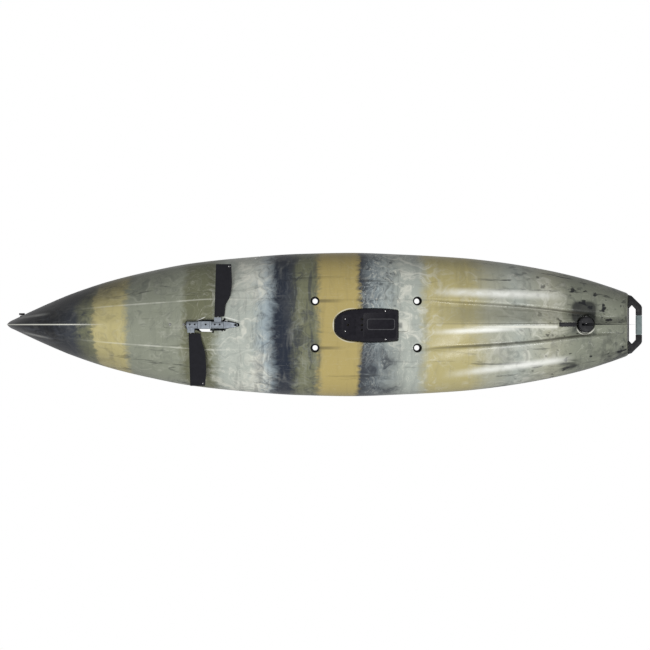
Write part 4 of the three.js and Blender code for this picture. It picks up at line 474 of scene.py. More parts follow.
# Where each colour is at its fullest, in metres from the middle of the boat
BANDS = [
    (-1.944, INK), (-1.62, INK), (-1.5, CHARCOAL), (-1.43, OLIVE), (-1.385, OLIVE), (-1.365, STRAW),
    (-1.2, STRAW), (-1.16, SAGE), (-0.86, SAGE), (-0.82, OLIVE), (-0.67, OLIVE), (-0.6, MIST),
    (-0.42, MIST), (-0.345, HAZE_BLUE), (-0.275, NAVY), (-0.205, NAVY), (-0.14, OLIVE), (-0.05, OLIVE),
    (-0.01, OCHRE), (0.205, OCHRE), (0.225, CHARCOAL), (0.3, SLATE), (0.46, MIST), (0.56, MIST),
    (0.63, STRAW), (0.86, STRAW), (0.98, REED), (1.15, MIST), (1.35, REED), (1.5, SAGE),
    (1.78, SAGE), (1.944, OLIVE),
]
print("bands along the hull:", len(BANDS))

# %% Stretches of the boat
HALF_LENGTH = 1.944
FULL_CORE = 0.3


def share_of(x):
    return x / (2 * HALF_LENGTH) + 0.5


def share_node(tree, x):
    return calc(tree, "ADD", calc(tree, "DIVIDE", x, 2 * HALF_LENGTH), 0.5)


def stretch_mask(tree, along, stops):
    return colour_steps(tree, along, [(share_of(x), (value, value, value)) for x, value in stops])


# %% Distances as masks
def distance(tree, value, middle):
    return calc(tree, "ABSOLUTE", calc(tree, "SUBTRACT", value, middle))


def near(tree, value, middle, reach):
    return between(tree, distance(tree, value, middle), reach, product(tree, reach, FULL_CORE))


def line_mask(tree, value, middle, half):
    return between(tree, distance(tree, value, middle), half, 0.0)


def plan_distance(tree, place, middle, reach=(1, 1)):
    off = add(tree, "VectorMath", {0: place, 1: (*middle, 0)}, operation="SUBTRACT")
    flat = (1 / reach[0], 1 / reach[1], 0)
    off = add(tree, "VectorMath", {0: off.outputs[0], 1: flat}, operation="MULTIPLY")
    off = add(tree, "VectorMath", {0: off.outputs[0]}, operation="LENGTH")
    return off.outputs["Value"]

# %% [markdown]
# ### Where a place lies on the hull
#
# A pattern that follows the hull has to know how far along and how far out a place is. Painted
# maps would need an unwrapped mesh. Float curves through the hull's own lines give both measures
# at any place.

# %% Where a place lies on the hull
def curve_node(tree, share, curve, count=30):
    node = add(tree, "FloatCurve", {"Value": share})
    points = node.mapping.curves[0].points
    points[0].location = (0, float(curve(0)))
    points[1].location = (1, float(curve(1)))
    for at in np.linspace(0, 1, count + 1)[1:-1]:
        points.new(at, float(curve(at)))
    node.mapping.update()
    return node.outputs[0]


tree, given, out = open_group("hull_place", {}, "X", "Y", "Share", "Outness", "Past Line")
split = add(tree, "SeparateXYZ", {"Vector": given["Vector"]}).outputs
share = calc(tree, "DIVIDE", calc(tree, "SUBTRACT", split["X"], BOW), STERN - BOW)
side = calc(tree, "ABSOLUTE", split["Y"])
breadth = product(tree, curve_node(tree, share, breadth_curve), HALF_BEAM)
plank = product(tree, curve_node(tree, share, plank_curve), HALF_BEAM)
tree.links.new(split["X"], out["X"])
tree.links.new(split["Y"], out["Y"])
tree.links.new(share_node(tree, split["X"]), out["Share"])
tree.links.new(calc(tree, "DIVIDE", side, breadth), out["Outness"])
tree.links.new(calc(tree, "SUBTRACT", side, plank), out["Past Line"])
hull_place = tree
print("measures of a place:", list(out.keys()))

# %% [markdown]
# ### Bands of colour
#
# The bands have ragged borders. Before a place's colour is looked up, one noise drags it along
# the boat and a finer one tears it.

# %% The marble group
tree, given, out = open_group("marbled_powder", {"Drag": 0.1, "Smoke": 0.8}, "Color", "Depth")
place = given["Vector"]
spot = use_group(tree, hull_place, Vector=place).outputs
plain, outness = spot["Share"], spot["Outness"]
wide = noise(tree, stretched(tree, place, (0.8, 1.0, 1.0)), 2.6, 3.0, 0.5, 0.8)
ragged = noise(tree, stretched(tree, place, (1.0, 1.6, 1.6), (3, 1, 0)), 11.0, 6.0, 0.62, 1.4)


def along(*stops):
    # Each stop is a place along the boat, in metres, and how much shows there
    return stretch_mask(tree, plain, stops)


def window(x, reach_x, y, reach_y):
    return product(tree, near(tree, spot["X"], x, reach_x), near(tree, spot["Y"], y, reach_y))


drag = product(tree, calc(tree, "SUBTRACT", wide, 0.5), product(tree, given["Drag"], 0.6))
tear = product(tree, calc(tree, "SUBTRACT", ragged, 0.5), given["Drag"])
pushed = calc(tree, "ADD", calc(tree, "ADD", spot["X"], drag), tear)
colour = colour_steps(tree, share_node(tree, pushed), [(share_of(x), shade) for x, shade in BANDS])

# %% [markdown]
# ### Smoke
#
# Where two soft powders met, one drifts through the other like smoke. A noise looked up at places
# that another noise has shifted curls in the same way. Pale smoke is laid on first and dark smoke
# over it, each along its own stretches.

# %% Pale and dark smoke
swirl = add(tree, "TexNoise", {"Vector": place, "Scale": 3.2, "Detail": 3.0})
curl = add(tree, "VectorMath", {0: place, 1: swirl.outputs[1]}, operation="ADD").outputs[0]
smoke = noise(tree, stretched(tree, curl, (0.7, 1.3, 1.3)), 4.2, 7.0, 0.6, 1.6)
pale_places = along(
    (-1.9, 0), (-1.3, 0.1), (-1.0, 0.2), (-0.72, 0.15), (-0.6, 0.8), (-0.36, 1), (-0.3, 0.1),
    (-0.08, 0.1), (0.05, 0), (0.2, 0), (0.3, 0.5), (0.5, 1), (0.75, 0.2), (1.0, 0.4), (1.3, 0.7),
    (1.6, 0.1),
)
pale = product(tree, between(tree, smoke, 0.5, 0.68), pale_places)
colour = mix(tree, product(tree, pale, given["Smoke"]), colour, CREAM)

flank_places = along((-0.62, 0), (-0.5, 0.3), (-0.4, 0.75), (-0.34, 0.3), (-0.3, 0))
flanks = between(tree, outness, 0.25, 0.45)
colour = mix(tree, product(tree, flanks, between(tree, smoke, 0.3, 0.6), flank_places), colour, CREAM)

soot = noise(tree, stretched(tree, curl, (0.8, 1.5, 1.5), (7, 3, 1)), 5.0, 7.0, 0.62, 1.4)
dark_places = along(
    (-1.9, 1), (-1.45, 1), (-1.35, 0.2), (-1.1, 0.35), (-0.75, 0.2), (-0.42, 0.2), (-0.33, 1),
    (-0.2, 1), (-0.05, 0.6), (0.0, 0), (0.21, 0), (0.23, 1), (0.4, 0.9), (0.5, 0), (0.9, 0.1),
    (1.1, 0.3), (1.5, 0.45), (1.944, 0.7),
)
dark = product(tree, between(tree, soot, 0.5, 0.66), dark_places)
colour = mix(tree, product(tree, dark, given["Smoke"]), colour, CHARCOAL)

# %% [markdown]
# ### Brushed strands
#
# Round the drive the colours look combed across the boat. A noise squeezed along the boat and
# drawn out across it gives such strands, which darken the colour where it is high and lighten it
# a little where it is low.

# %% Brushed strands across the boat
STRAND_DARKENS, STRAND_LIGHTENS = 0.8, 0.12
strand = noise(tree, stretched(tree, place, (3.2, 0.45, 0.45), (6, 2, 8)), 6.0, 5.0, 0.6, 0.8)
strand_places = along(
    (-1.7, 0.3), (-1.4, 0.3), (-1.35, 0.08), (-1.0, 0.12), (-0.6, 0.15), (-0.36, 0.5), (-0.2, 0.9),
    (-0.05, 0.8), (0.0, 0.1), (0.2, 0.1), (0.3, 0.4), (0.6, 0.15), (1.2, 0.15), (1.8, 0.4),
)
darker = product(tree, between(tree, strand, 0.5, 0.64), strand_places, STRAND_DARKENS)
colour = mix(tree, darker, colour, CHARCOAL)
lighter = product(tree, between(tree, strand, 0.46, 0.3), strand_places, STRAND_LIGHTENS)
colour = mix(tree, lighter, colour, CREAM)

# %% [markdown]
# ### Wisps and veins
#
# Thin pale lines feather the border of a dark band. Drawn one by one they would look drawn. A
# line also appears wherever a soft noise passes through its middle value, and such lines branch
# and close as real marbling does.

# %% Feathered wisps and veins
WISP_BLUE = (0.42, 0.47, 0.47)
NOISE_MIDDLE = 0.5
wisp = noise(tree, stretched(tree, curl, (2.4, 0.8, 0.8), (1, 4, 2)), 5.0, 5.0, 0.55, 0.9)
wisp_places = along(
    (-0.5, 0), (-0.37, 0.5), (-0.31, 0.25), (-0.25, 0), (-0.17, 0.12), (-0.06, 0.1), (0.0, 0),
    (0.2, 0), (0.25, 0.5), (0.33, 0.6), (0.5, 0),
)
wisp = line_mask(tree, wisp, NOISE_MIDDLE, 0.03)
colour = mix(tree, product(tree, wisp, wisp_places), colour, WISP_BLUE)

vein = noise(tree, stretched(tree, curl, (0.5, 1.9, 1.9), (2, 9, 4)), 3.4, 3.0, 0.5, 1.6)
vein_places = along(
    (-1.2, 0), (-0.85, 0.2), (-0.5, 0.4), (-0.36, 0.2), (-0.28, 0), (0.0, 0.05), (0.2, 0.1),
    (0.26, 0.6), (0.5, 0.6), (0.7, 0.1), (1.3, 0.25),
)
vein = line_mask(tree, vein, NOISE_MIDDLE, 0.011)
colour = mix(tree, product(tree, vein, vein_places), colour, CREAM)

# %% [markdown]
# ### Ink and dark patches
#
# Black powder lies in thin runs along the boat and in drops near the stern. Steep steps in a noise
# make the runs and drops. A few dark patches lie round the rudder, and painted shade darkens the
# stern's starboard half. Each patch has its own place, so it is a soft window in length and
# breadth whose edge a cloudy noise eats into.

# %% Runs and drops of ink
streak = noise(tree, stretched(tree, place, (0.22, 2.0, 2.0), (4, 8, 6)), 10.0, 5.0, 0.6, 0.6)
streak_places = along(
    (-1.35, 0.3), (-1.1, 0.7), (-0.8, 0.7), (-0.6, 0.2), (-0.2, 0.5), (-0.02, 0.3), (0.15, 0.2),
    (0.25, 0.8), (0.45, 0.3), (0.8, 0.4), (1.1, 0.9), (1.8, 1),
)
outer = between(tree, outness, 0.25, 0.85, 0.35, 1.0)
colour = mix(tree, product(tree, between(tree, streak, 0.58, 0.67), streak_places, outer), colour, INK)

drop_values = {"Vector": stretched(tree, place, (1, 1.3, 1.3), (5, 5, 5)), "Scale": 17.0, "Detail": 3.5}
drops = add(tree, "TexNoise", drop_values).outputs[0]
drop_places = along((0.95, 0), (1.2, 0.4), (1.45, 0.9), (1.8, 1))
colour = mix(tree, product(tree, between(tree, drops, 0.62, 0.67), drop_places), colour, INK)

# %% Dark patches round the rudder, and painted shade on the stern's starboard half
SMEAR_STRENGTH = 0.85
cloudy = noise(tree, place, 12.0, 4.0, 0.6)
turned = add(tree, "SeparateXYZ", {"Vector": add(tree, "NewGeometry").outputs["Normal"]})
below = between(tree, turned.outputs["Z"], 0.02, -0.12)
around_rudder = product(tree, window(1.545, 0.13, -0.03, 0.11), between(tree, cloudy, 0.36, 0.56), below, )
dark_patch_by_rudder = product(tree, window(1.55, 0.1, -0.07, 0.09), between(tree, cloudy, 0.2, 0.42), below, )
dark_patch_by_rudder = between(tree, dark_patch_by_rudder, 0.0, 0.5)
brushed_patch = product(tree, window(1.47, 0.09, 0.24, 0.045), between(tree, streak, 0.4, 0.56), )
# The stern's starboard half is darker where its V-bottom lies in shade: painted shade
starboard_stern_shade = product(
    tree, along((1.55, 0), (1.72, 0.7), (1.86, 0.95)),
    between(tree, spot["Y"], 0.03, 0.12), between(tree, cloudy, 0.38, 0.62),
)
smear = strongest(tree, around_rudder, dark_patch_by_rudder, brushed_patch, starboard_stern_shade)
colour = mix(tree, product(tree, smear, SMEAR_STRENGTH), colour, INK)

# %% A dark pool on the starboard side, painted shade beside the keel and painted shadows behind the scuppers
KEEL_PAINTED_SHADE, SCUPPER_PAINTED_SHADOW = (0.17, 0.17, 0.12), (0.07, 0.06, 0.035)
starboard_pool = product(
    tree, along((0.2, 0), (0.225, 1), (0.4, 0.6), (0.5, 0)),
    between(tree, spot["Y"], 0.08, 0.2), between(tree, cloudy, 0.3, 0.6, 0.3, 0.75),
)
colour = mix(tree, starboard_pool, colour, CHARCOAL)
# Darker colour on the keel's port flank, which faces away from the light: painted shade
painted_shade_beside_keel = product(
    tree, near(tree, spot["Y"], -0.06, 0.075),
    along((0.66, 0), (0.8, 0.4), (1.15, 0.55), (1.4, 0.3), (1.5, 0)),
)
colour = mix(tree, painted_shade_beside_keel, colour, KEEL_PAINTED_SHADE)
# Dark smears behind the front scuppers: painted shadows
shadows_past_scuppers = product(
    tree, near(tree, calc(tree, "ABSOLUTE", spot["Y"]), 0.139, 0.014),
    along((-0.06, 0), (-0.04, 0.6), (0.03, 0.5), (0.13, 0)),
)
colour = mix(tree, shadows_past_scuppers, colour, SCUPPER_PAINTED_SHADOW)

# %% [markdown]
# ### Painted highlights
#
# Painted highlights lie as pale streaks on the aft bottom, near the bow and along the slot's lip
# beside the drive, where the glossy hull mirrors the lamps. Each follows a straight line and fades
# at both ends, so one function makes a streak from its ends, and a table holds them all.

# %% Painted highlights, first where the sponsons are lowest
HIGHLIGHT_MILK = (0.86, 0.87, 0.82)
HIGHLIGHT_STREAKS = (
    # x and y of both ends, half the width, and how strong it is along the boat
    ((0.75, -0.19), (1.4, -0.172), 0.038, [(0.62, 0), (0.83, 0.8), (1.08, 1), (1.3, 0.65), (1.45, 0)]),
    ((0.84, 0.287), (1.43, 0.21), 0.034, [(0.7, 0), (0.95, 0.7), (1.2, 0.95), (1.38, 0.8), (1.5, 0)]),
    ((0.69, 0.045), (1.15, 0.024), 0.025, [(0.6, 0), (0.78, 0.7), (1.0, 1), (1.2, 0)]),
    ((-0.7705, -0.014), (-0.704, -0.0445), 0.0045, [(-0.775, 0), (-0.765, 1), (-0.71, 1), (-0.7, 0)]),
    ((-0.58, -0.042), (-0.5, -0.02), 0.006, [(-0.59, 0), (-0.58, 0.8), (-0.52, 0.6), (-0.49, 0)]),
    ((-1.855, -0.041), (-1.656, -0.065), 0.013, [(-1.88, 0), (-1.84, 0.35), (-1.72, 0.35), (-1.64, 0)]),
    ((-1.825, 0.05), (-1.656, 0.084), 0.011, [(-1.85, 0), (-1.8, 0.3), (-1.72, 0.3), (-1.63, 0)]),
)


def highlight_streak_mask(tree, spot, start, end, half, stops):
    slope = (end[1] - start[1]) / (end[0] - start[0])
    rise = product(tree, calc(tree, "SUBTRACT", spot["X"], start[0]), slope)
    middle = calc(tree, "ADD", rise, start[1])
    line = line_mask(tree, spot["Y"], middle, half)
    return product(tree, line, stretch_mask(tree, spot["Share"], stops))


# Pale colour that stands for the lamps mirrored in the gloss: painted highlights
painted_highlights = strongest(tree, *(highlight_streak_mask(tree, spot, *highlight_row) for highlight_row in HIGHLIGHT_STREAKS))
painted_highlights = product(tree, painted_highlights, between(tree, ragged, 0.3, 0.6, 0.7, 1.0), below)
colour = mix(tree, painted_highlights, colour, HIGHLIGHT_MILK)
print("pale streaks:", len(HIGHLIGHT_STREAKS))

# %% Marks round the shield, a painted shadow by the cable recess and a painted reflection on the gunwale
SHIELD_NOSE_MIDDLE, SHIELD_NOSE_REACH = (0.171, 0.005), (0.105, 0.091)
HALO_SHARE, HALO_REACH, HALO_STRENGTH = 1.085, 0.065, 0.6
BEHIND_STRENGTH, CABLE_SHADOW_STRENGTH = 0.55, 0.6
GUNWALE_REFLECTION_GREY = (0.62, 0.63, 0.6)
behind_shield = product(tree, window(0.478, 0.055, 0.005, 0.055), below, BEHIND_STRENGTH, )
colour = mix(tree, behind_shield, colour, CREAM)
# A dark mark in the cable recess behind the shield: painted shadow
cable_shadow = product(tree, window(0.452, 0.02, 0.005, 0.026), below, CABLE_SHADOW_STRENGTH, )
colour = mix(tree, cable_shadow, colour, CHARCOAL)
nose_off = plan_distance(tree, place, SHIELD_NOSE_MIDDLE, SHIELD_NOSE_REACH)
nose_halo = product(
    tree, near(tree, nose_off, HALO_SHARE, HALO_REACH), below,
    along((0.04, 1), (0.15, 0.9), (0.22, 0)), HALO_STRENGTH,
)
colour = mix(tree, nose_halo, colour, CREAM)
# Pale grey on the port side wall only, the studio mirrored in it: painted reflection
gunwale_reflection = product(
    tree, between(tree, outness, 0.935, 0.96), between(tree, spot["Y"], 0.05, -0.05),
    along((-1.35, 0), (-1.15, 0.2), (-0.5, 0.2), (-0.3, 0)),
)
colour = mix(tree, gunwale_reflection, colour, GUNWALE_REFLECTION_GREY)

# %% [markdown]
# ### Rims, ridges and creases
#
# The hull is darkest round its bow, from dark powder and from painted shade that is heavier on
# the port side. Painted highlights lie pale on its ridges, and painted shade lies in the creases
# beside them. The hull's own lines say where these run. A mask found from the mesh's curvature
# would also mark every round lip.

# %% Dark rim of the bow: dark powder with painted shade, heavier on the port side
rim_places = along(
    (-1.9, 1), (-1.5, 1), (-1.3, 0.7), (-1.1, 0.25), (-0.85, 0.08), (-0.5, 0), (1.0, 0.0),
    (1.5, 0.08), (1.8, 0.2),
)
# The port side, away from the key lamp, gets more of the dark: painted shade
port_shade_weight = between(tree, spot["Y"], -0.05, 0.05, 1.0, 0.35)
rim = product(
    tree, between(tree, outness, 0.35, 0.85), rim_places, port_shade_weight,
    between(tree, ragged, 0.25, 0.6, 0.55, 1.0),
)
colour = mix(tree, rim, colour, INK)

# %% Painted highlights on the ridges, the keel and the rudder recess's lip
RIDGE_HIGHLIGHT = (0.74, 0.74, 0.66)
RIDGE_HIGHLIGHT_STRENGTH = 0.85
lip_off = plan_distance(tree, place, (1.56, 0))
recess_lip = product(tree, near(tree, lip_off, 0.058, 0.006), between(tree, spot["Y"], 0.015, 0.04))
crest = product(tree, near(tree, spot["Y"], 0.0, 0.005), along((-1.92, 1), (-1.5, 0.9), (-1.3, 0)), )
ridge = product(
    tree, near(tree, spot["Past Line"], 0.0, 0.006), between(tree, cloudy, 0.3, 0.6, 0.3, 1.0),
    along((-1.5, 0), (-1.3, 0.3), (-1.0, 0.5), (-0.6, 0.35), (-0.3, 0), (0.6, 0)),
)
strip_half = between(tree, spot["X"], 0.7, 1.4, 0.002, 0.012)
keel_strip = product(
    tree, near(tree, spot["Y"], 0.014, strip_half),
    along((0.8, 0), (1.05, 0.9), (1.392, 1), (1.396, 0)),
)
# Pale colour on the crests and lips that stands for reflected light: painted highlights
ridge_highlights = strongest(tree, crest, ridge, keel_strip, recess_lip)
well_below = between(tree, below, 0.0, 1.0)
colour = mix(tree, product(tree, ridge_highlights, below, well_below, RIDGE_HIGHLIGHT_STRENGTH), colour, RIDGE_HIGHLIGHT)

# %% Painted shade in the creases and along the keel line
CREASE_SHADE_COLOUR = (0.05, 0.045, 0.035)
CREASE_SHADE_STRENGTH = 0.8
crease = product(
    tree, near(tree, spot["Past Line"], 0.01, 0.009),
    along((0.45, 0), (0.65, 0.35), (1.0, 0.6), (1.5, 0.9), (1.6, 0)),
)
keel_line = product(
    tree, near(tree, spot["Y"], -0.004, 0.004),
    along((0.5, 0), (0.8, 0.4), (1.2, 0.8), (1.392, 0.9), (1.396, 0)),
)
# Darker colour where shade falls in the creases: painted shade
painted_crease_shade = product(
    tree, strongest(tree, crease, keel_line), between(tree, cloudy, 0.2, 0.5, 0.6, 1.0),
    well_below, CREASE_SHADE_STRENGTH,
)
colour = mix(tree, painted_crease_shade, colour, CREASE_SHADE_COLOUR)
tree.links.new(colour, out["Color"])
tree.links.new(calc(tree, "SUBTRACT", pale, dark), out["Depth"])
marbled_powder = tree
print("nodes in the marble:", len(marbled_powder.nodes))

# %% [markdown]
# ## Finishes
#
# The real boat shows smooth marbled plastic, matt black plastic, near black rubber fins, and a
# drive of blasted blue-grey metal. Flat colours would look like a toy, so each finish varies its
# colour, its roughness and its height together. `start_finish` begins each of them.


# %% Helpers for finishes
def start_finish(name):
    material = bpy.data.materials.new(name)
    material.use_nodes = True
    tree = material.node_tree
    tree.nodes.clear()
    shader = add(tree, "BsdfPrincipled")
    add(tree, "OutputMaterial", {"Surface": shader.outputs[0]})
    place = add(tree, "TexCoord").outputs["Object"]
    return material, tree, shader, place


def bumped(tree, shader, height, strength, distance):
    bump = add(tree, "Bump", {"Height": height, "Strength": strength, "Distance": distance})
    tree.links.new(bump.outputs[0], shader.inputs["Normal"])


def scaled(shade, factor, lift=0.0):
    return tuple(min(1.0, factor * part + lift) for part in shade)


# %% Edge wear, read from how sharply the surface turns
tree, given, out = open_group("worn_edges", {"Amount": 0.5}, "Mask")
turning = add(tree, "NewGeometry").outputs["Pointiness"]
edges = between(tree, turning, 0.52, 0.6)
chips = between(tree, noise(tree, given["Vector"], 60.0, 4.0, 0.7), 0.42, 0.66)
tree.links.new(product(tree, edges, chips, given["Amount"]), out["Mask"])
worn_edges = tree
print("edge wear has", len(worn_edges.nodes), "nodes")


# %% Hull finish
SCUFF_SHADE, DUST_SHADE = (0.6, 0.6, 0.55), (0.5, 0.48, 0.42)


def make_hull_finish():
    material, tree, shader, place = start_finish("marbled_hull")
    marble = use_group(tree, marbled_powder, Vector=place, Drag=0.1, Smoke=0.85)
    skin = use_group(tree, pebbled_skin, Vector=place, Grain_Size=0.0035, Waviness=0.5)
    scuffs = use_group(tree, fine_scratches, Vector=place, Spacing=0.012, Amount=0.35).outputs[0]
    dust = use_group(tree, settled_dust, Vector=place, Amount=0.12).outputs[0]
    colour = mix(tree, product(tree, scuffs, 0.5), marble.outputs[0], SCUFF_SHADE)
    colour = mix(tree, dust, colour, DUST_SHADE)
    rough = between(tree, skin.outputs["Mottle"], 0.0, 1.0, 0.24, 0.3)
    rough = calc(tree, "ADD", rough, product(tree, scuffs, 0.15))
    feed(tree, shader, Base_Color=colour, Roughness=rough, Specular_IOR_Level=0.5)
    bumped(tree, shader, skin.outputs["Height"], 0.06, 0.0006)
    return material


hull_finish = make_hull_finish()

# %% [markdown]
# ### Black plastics and rubbers
#
# The shield, the lid, the fittings and the fins are all black, yet don't look alike: rubber is
# duller, and a handled part is scratched paler. One function makes them all, so that they still
# look like one boat.

# %% Black plastics and rubbers
PALE_WEAR, WEAR_LIFT, MOTTLED = 2.6, 0.015, 1.25
BLACK_DUST = (0.3, 0.29, 0.26)


def make_black_plastic(name, shade, roughness, grain=0.0012, worn=0.25, shine=0.3):
    material, tree, shader, place = start_finish(name)
    skin = use_group(tree, pebbled_skin, Vector=place, Grain_Size=grain, Waviness=0.3).outputs
    edge = use_group(tree, worn_edges, Vector=place, Amount=worn).outputs[0]
    marks = use_group(tree, fine_scratches, Vector=place, Spacing=0.01, Amount=0.4).outputs[0]
    dust = use_group(tree, settled_dust, Vector=place, Amount=0.1).outputs[0]
    paler = scaled(shade, PALE_WEAR, WEAR_LIFT)
    colour = mix(tree, skin["Mottle"], shade, scaled(shade, MOTTLED))
    colour = mix(tree, edge, colour, paler)
    colour = mix(tree, product(tree, marks, 0.4), colour, paler)
    colour = mix(tree, dust, colour, BLACK_DUST)
    rough = between(tree, skin["Mottle"], 0.0, 1.0, roughness - 0.05, roughness + 0.06)
    feed(tree, shader, Base_Color=colour, Roughness=rough, Specular_IOR_Level=shine)
    bumped(tree, shader, skin["Height"], 0.25, 0.0002)
    return material


shield_black = make_black_plastic("shield_black", (0.007, 0.0065, 0.01), 0.4, shine=0.22)
fitting_black = make_black_plastic("fitting_black", (0.012, 0.012, 0.014), 0.45, shine=0.25)
badge_grey = make_black_plastic("badge_grey", (0.05, 0.05, 0.055), 0.4)
lid_black = make_black_plastic("lid_black", (0.02, 0.022, 0.024), 0.5, grain=0.002)
fin_rubber = make_black_plastic(
    "fin_rubber", (0.011, 0.011, 0.014), 0.55, grain=0.0015, worn=0.15, shine=0.18,
)
seal_rubber = make_black_plastic("seal_rubber", (0.01, 0.01, 0.01), 0.7, shine=0.2)
# The grip's pale teal-grey stands for the sheen seen on its dark rubber: painted reflection
grip_rubber = make_black_plastic("grip_rubber", (0.16, 0.2, 0.2), 0.62, grain=0.0018, worn=0.1)

# %% [markdown]
# ### Metals
#
# The drive is cast and blasted, so its grey is soft and slightly blue. The rails are drawn
# aluminium and the bolts are steel. A blasted casting is no mirror: it is half metallic and
# rough.

# %% Metals
def make_metal(name, shade, roughness, brushed=0.2, metallic=0.85):
    material, tree, shader, place = start_finish(name)
    blast = use_group(tree, pebbled_skin, Vector=place, Grain_Size=0.0008, Waviness=0.6).outputs
    lines = use_group(tree, fine_scratches, Vector=place, Spacing=0.004, Amount=brushed).outputs[0]
    edge = use_group(tree, worn_edges, Vector=place, Amount=0.3).outputs[0]
    colour = mix(tree, blast["Mottle"], scaled(shade, 0.8), shade)
    colour = mix(tree, edge, colour, scaled(shade, 1.35))
    rough = between(tree, blast["Mottle"], 0.0, 1.0, roughness - 0.06, roughness + 0.06)
    rough = calc(tree, "SUBTRACT", rough, product(tree, lines, 0.15))
    feed(tree, shader, Base_Color=colour, Roughness=rough, Metallic=metallic)
    height = calc(tree, "ADD", blast["Height"], product(tree, lines, 2.0))
    bumped(tree, shader, height, 0.2, 0.0001)
    return material


drive_metal = make_metal("drive_metal", (0.36, 0.4, 0.45), 0.45, metallic=0.5)
rail_metal = make_metal("rail_metal", (0.45, 0.46, 0.48), 0.38, brushed=0.5)
bright_steel = make_metal("bright_steel", (0.66, 0.66, 0.65), 0.34, metallic=1.0)

# %% [markdown]
# ### Woven seat fabric
#
# The seat has a coarse woven cover. Real threads would need millions of faces. Two sets of waves
# that cross each other give the same small bumps, and a slow noise fades the cloth as the sun
# does.

# %% Woven seat fabric
THREADS = 260.0
THREAD_DARK, THREAD_PALE, SUN_FADED = (0.016, 0.018, 0.02), (0.06, 0.066, 0.07), (0.05, 0.054, 0.056)


def make_seat_fabric():
    material, tree, shader, place = start_finish("seat_weave")
    waves = {"Vector": place, "Scale": THREADS, "Distortion": 0.4}
    along = add(tree, "TexWave", waves, bands_direction="X")
    across = add(tree, "TexWave", waves, bands_direction="Y")
    weave = product(tree, along.outputs[1], across.outputs[1])
    fade = noise(tree, place, 14.0, 4.0)
    colour = mix(tree, weave, THREAD_DARK, THREAD_PALE)
    colour = mix(tree, between(tree, fade, 0.4, 0.7), colour, SUN_FADED)
    feed(tree, shader, Base_Color=colour, Roughness=0.85, Sheen_Weight=0.25, Specular_IOR_Level=0.2)
    bumped(tree, shader, weave, 0.4, 0.0005)
    return material


seat_weave = make_seat_fabric()
print("finishes:", len(bpy.data.materials))

# %% [markdown]
# ## From sections to a skin
#
# One section runs from the keel, round the bilge and over the deck to the middle again. Rows of
# such sections make the skin. The last few rows at the bow and the transom draw in along a
# quarter circle, so those corners are round, as on a moulded boat.

# %% One section of the hull
def quarter_turn(count):
    return np.linspace(0, math.pi / 2, count)


KEEL_STEPS, WALL_STEPS, BILGE_STEPS, RIM_STEPS, DECK_STEPS = 16, 8, 34, 6, 14
BILGE_START, DECK_BLEND = 0.72, 0.8


def hull_section(x, inset=0.0, finer=1):
    breadth, rim = float(half_breadth(x)), float(rim_at(x))
    line = min(float(plank_half(x)), breadth * BILGE_START * BILGE_START)
    start = min(line + VALLEY_WALL, breadth * BILGE_START)
    keel_part = line * np.linspace(0, 1, KEEL_STEPS // finer + 1)
    wall_part = np.linspace(line, start, WALL_STEPS // finer + 1)[1:]
    turn = quarter_turn(BILGE_STEPS // finer + 1)[1:]
    bilge_part = start + (breadth - start) * np.sin(turn)
    out = np.concatenate([keel_part, wall_part, bilge_part])
    height = bottom_height(np.full_like(out, x), out)
    arc = quarter_turn(RIM_STEPS // finer + 1)[1:]
    rim_out = breadth - rim + rim * np.cos(arc)
    rim_height = sheer(x) - rim + rim * np.sin(arc)
    deck_out = (breadth - rim) * np.linspace(1, 0, DECK_STEPS // finer + 1)[1:]
    blend = ramp(deck_out, breadth - rim, (breadth - rim) * DECK_BLEND)
    flat_deck = deck_height(np.full_like(deck_out, x), deck_out)
    deck_part = sheer(x) + (flat_deck - sheer(x)) * blend
    out = np.concatenate([out, rim_out, deck_out])
    height = np.concatenate([height, rim_height, deck_part])
    # An inset section is lower and narrower on all sides, which rounds the ends of the hull
    low, high = float(keel(x)), float(sheer(x))
    over = np.maximum(0, height - high)
    height = low + inset + (height - over - low) * (high - low - 2 * inset) / (high - low) + over
    out = out * (breadth - inset) / breadth
    half = np.stack([np.full_like(out, x), out, height], 1)
    mirrored = half[1:-1][::-1] * np.array([1, -1, 1])
    return np.concatenate([half, mirrored])


# %% Solids from points and faces
WELD = 1e-7


def solid_from(name, points, faces, weld=False):
    mesh = bpy.data.meshes.new(name)
    mesh.from_pydata(points, [], faces)
    shape = bmesh.new()
    shape.from_mesh(mesh)
    if weld:
        bmesh.ops.remove_doubles(shape, verts=shape.verts, dist=WELD)
    bmesh.ops.recalc_face_normals(shape, faces=shape.faces)
    if shape.calc_volume(signed=True) < 0:
        bmesh.ops.reverse_faces(shape, faces=shape.faces)
    shape.to_mesh(mesh)
    shape.free()
    return into_scene(bpy.data.objects.new(name, mesh))


# %% Solids from rings
def ring_solid(name, rings):
    around, count = len(rings[0]), len(rings)
    faces = []
    for r in range(count - 1):
        for k in range(around):
            here, beside = r * around + k, r * around + (k + 1) % around
            faces.append((here, here + around, beside + around, beside))
    # Each end is closed with a ladder of four-sided faces from one side to the other
    for r in (0, count - 1):
        row = [r * around + k for k in range(around)]
        for k in range((around - 1) // 2 + 1):
            four = [row[k], row[k + 1], row[(around - k - 1) % around], row[(around - k) % around]]
            face = tuple(dict.fromkeys(four))
            if len(face) > 2:
                faces.append(face if r == 0 else face[::-1])
    return solid_from(name, np.concatenate(rings).tolist(), faces, weld=True)


# %% The hull's skin
STATIONS = 260
BOW_ROUND, TRANSOM_ROUND, END_STEPS = 0.006, 0.014, 5


def rounded_end(tip, inward, radius):
    angles = quarter_turn(END_STEPS + 1)[1:]
    return [
        hull_section(tip + inward * radius * (1 - math.sin(angle)), radius * (1 - math.cos(angle)))
        for angle in angles
    ]


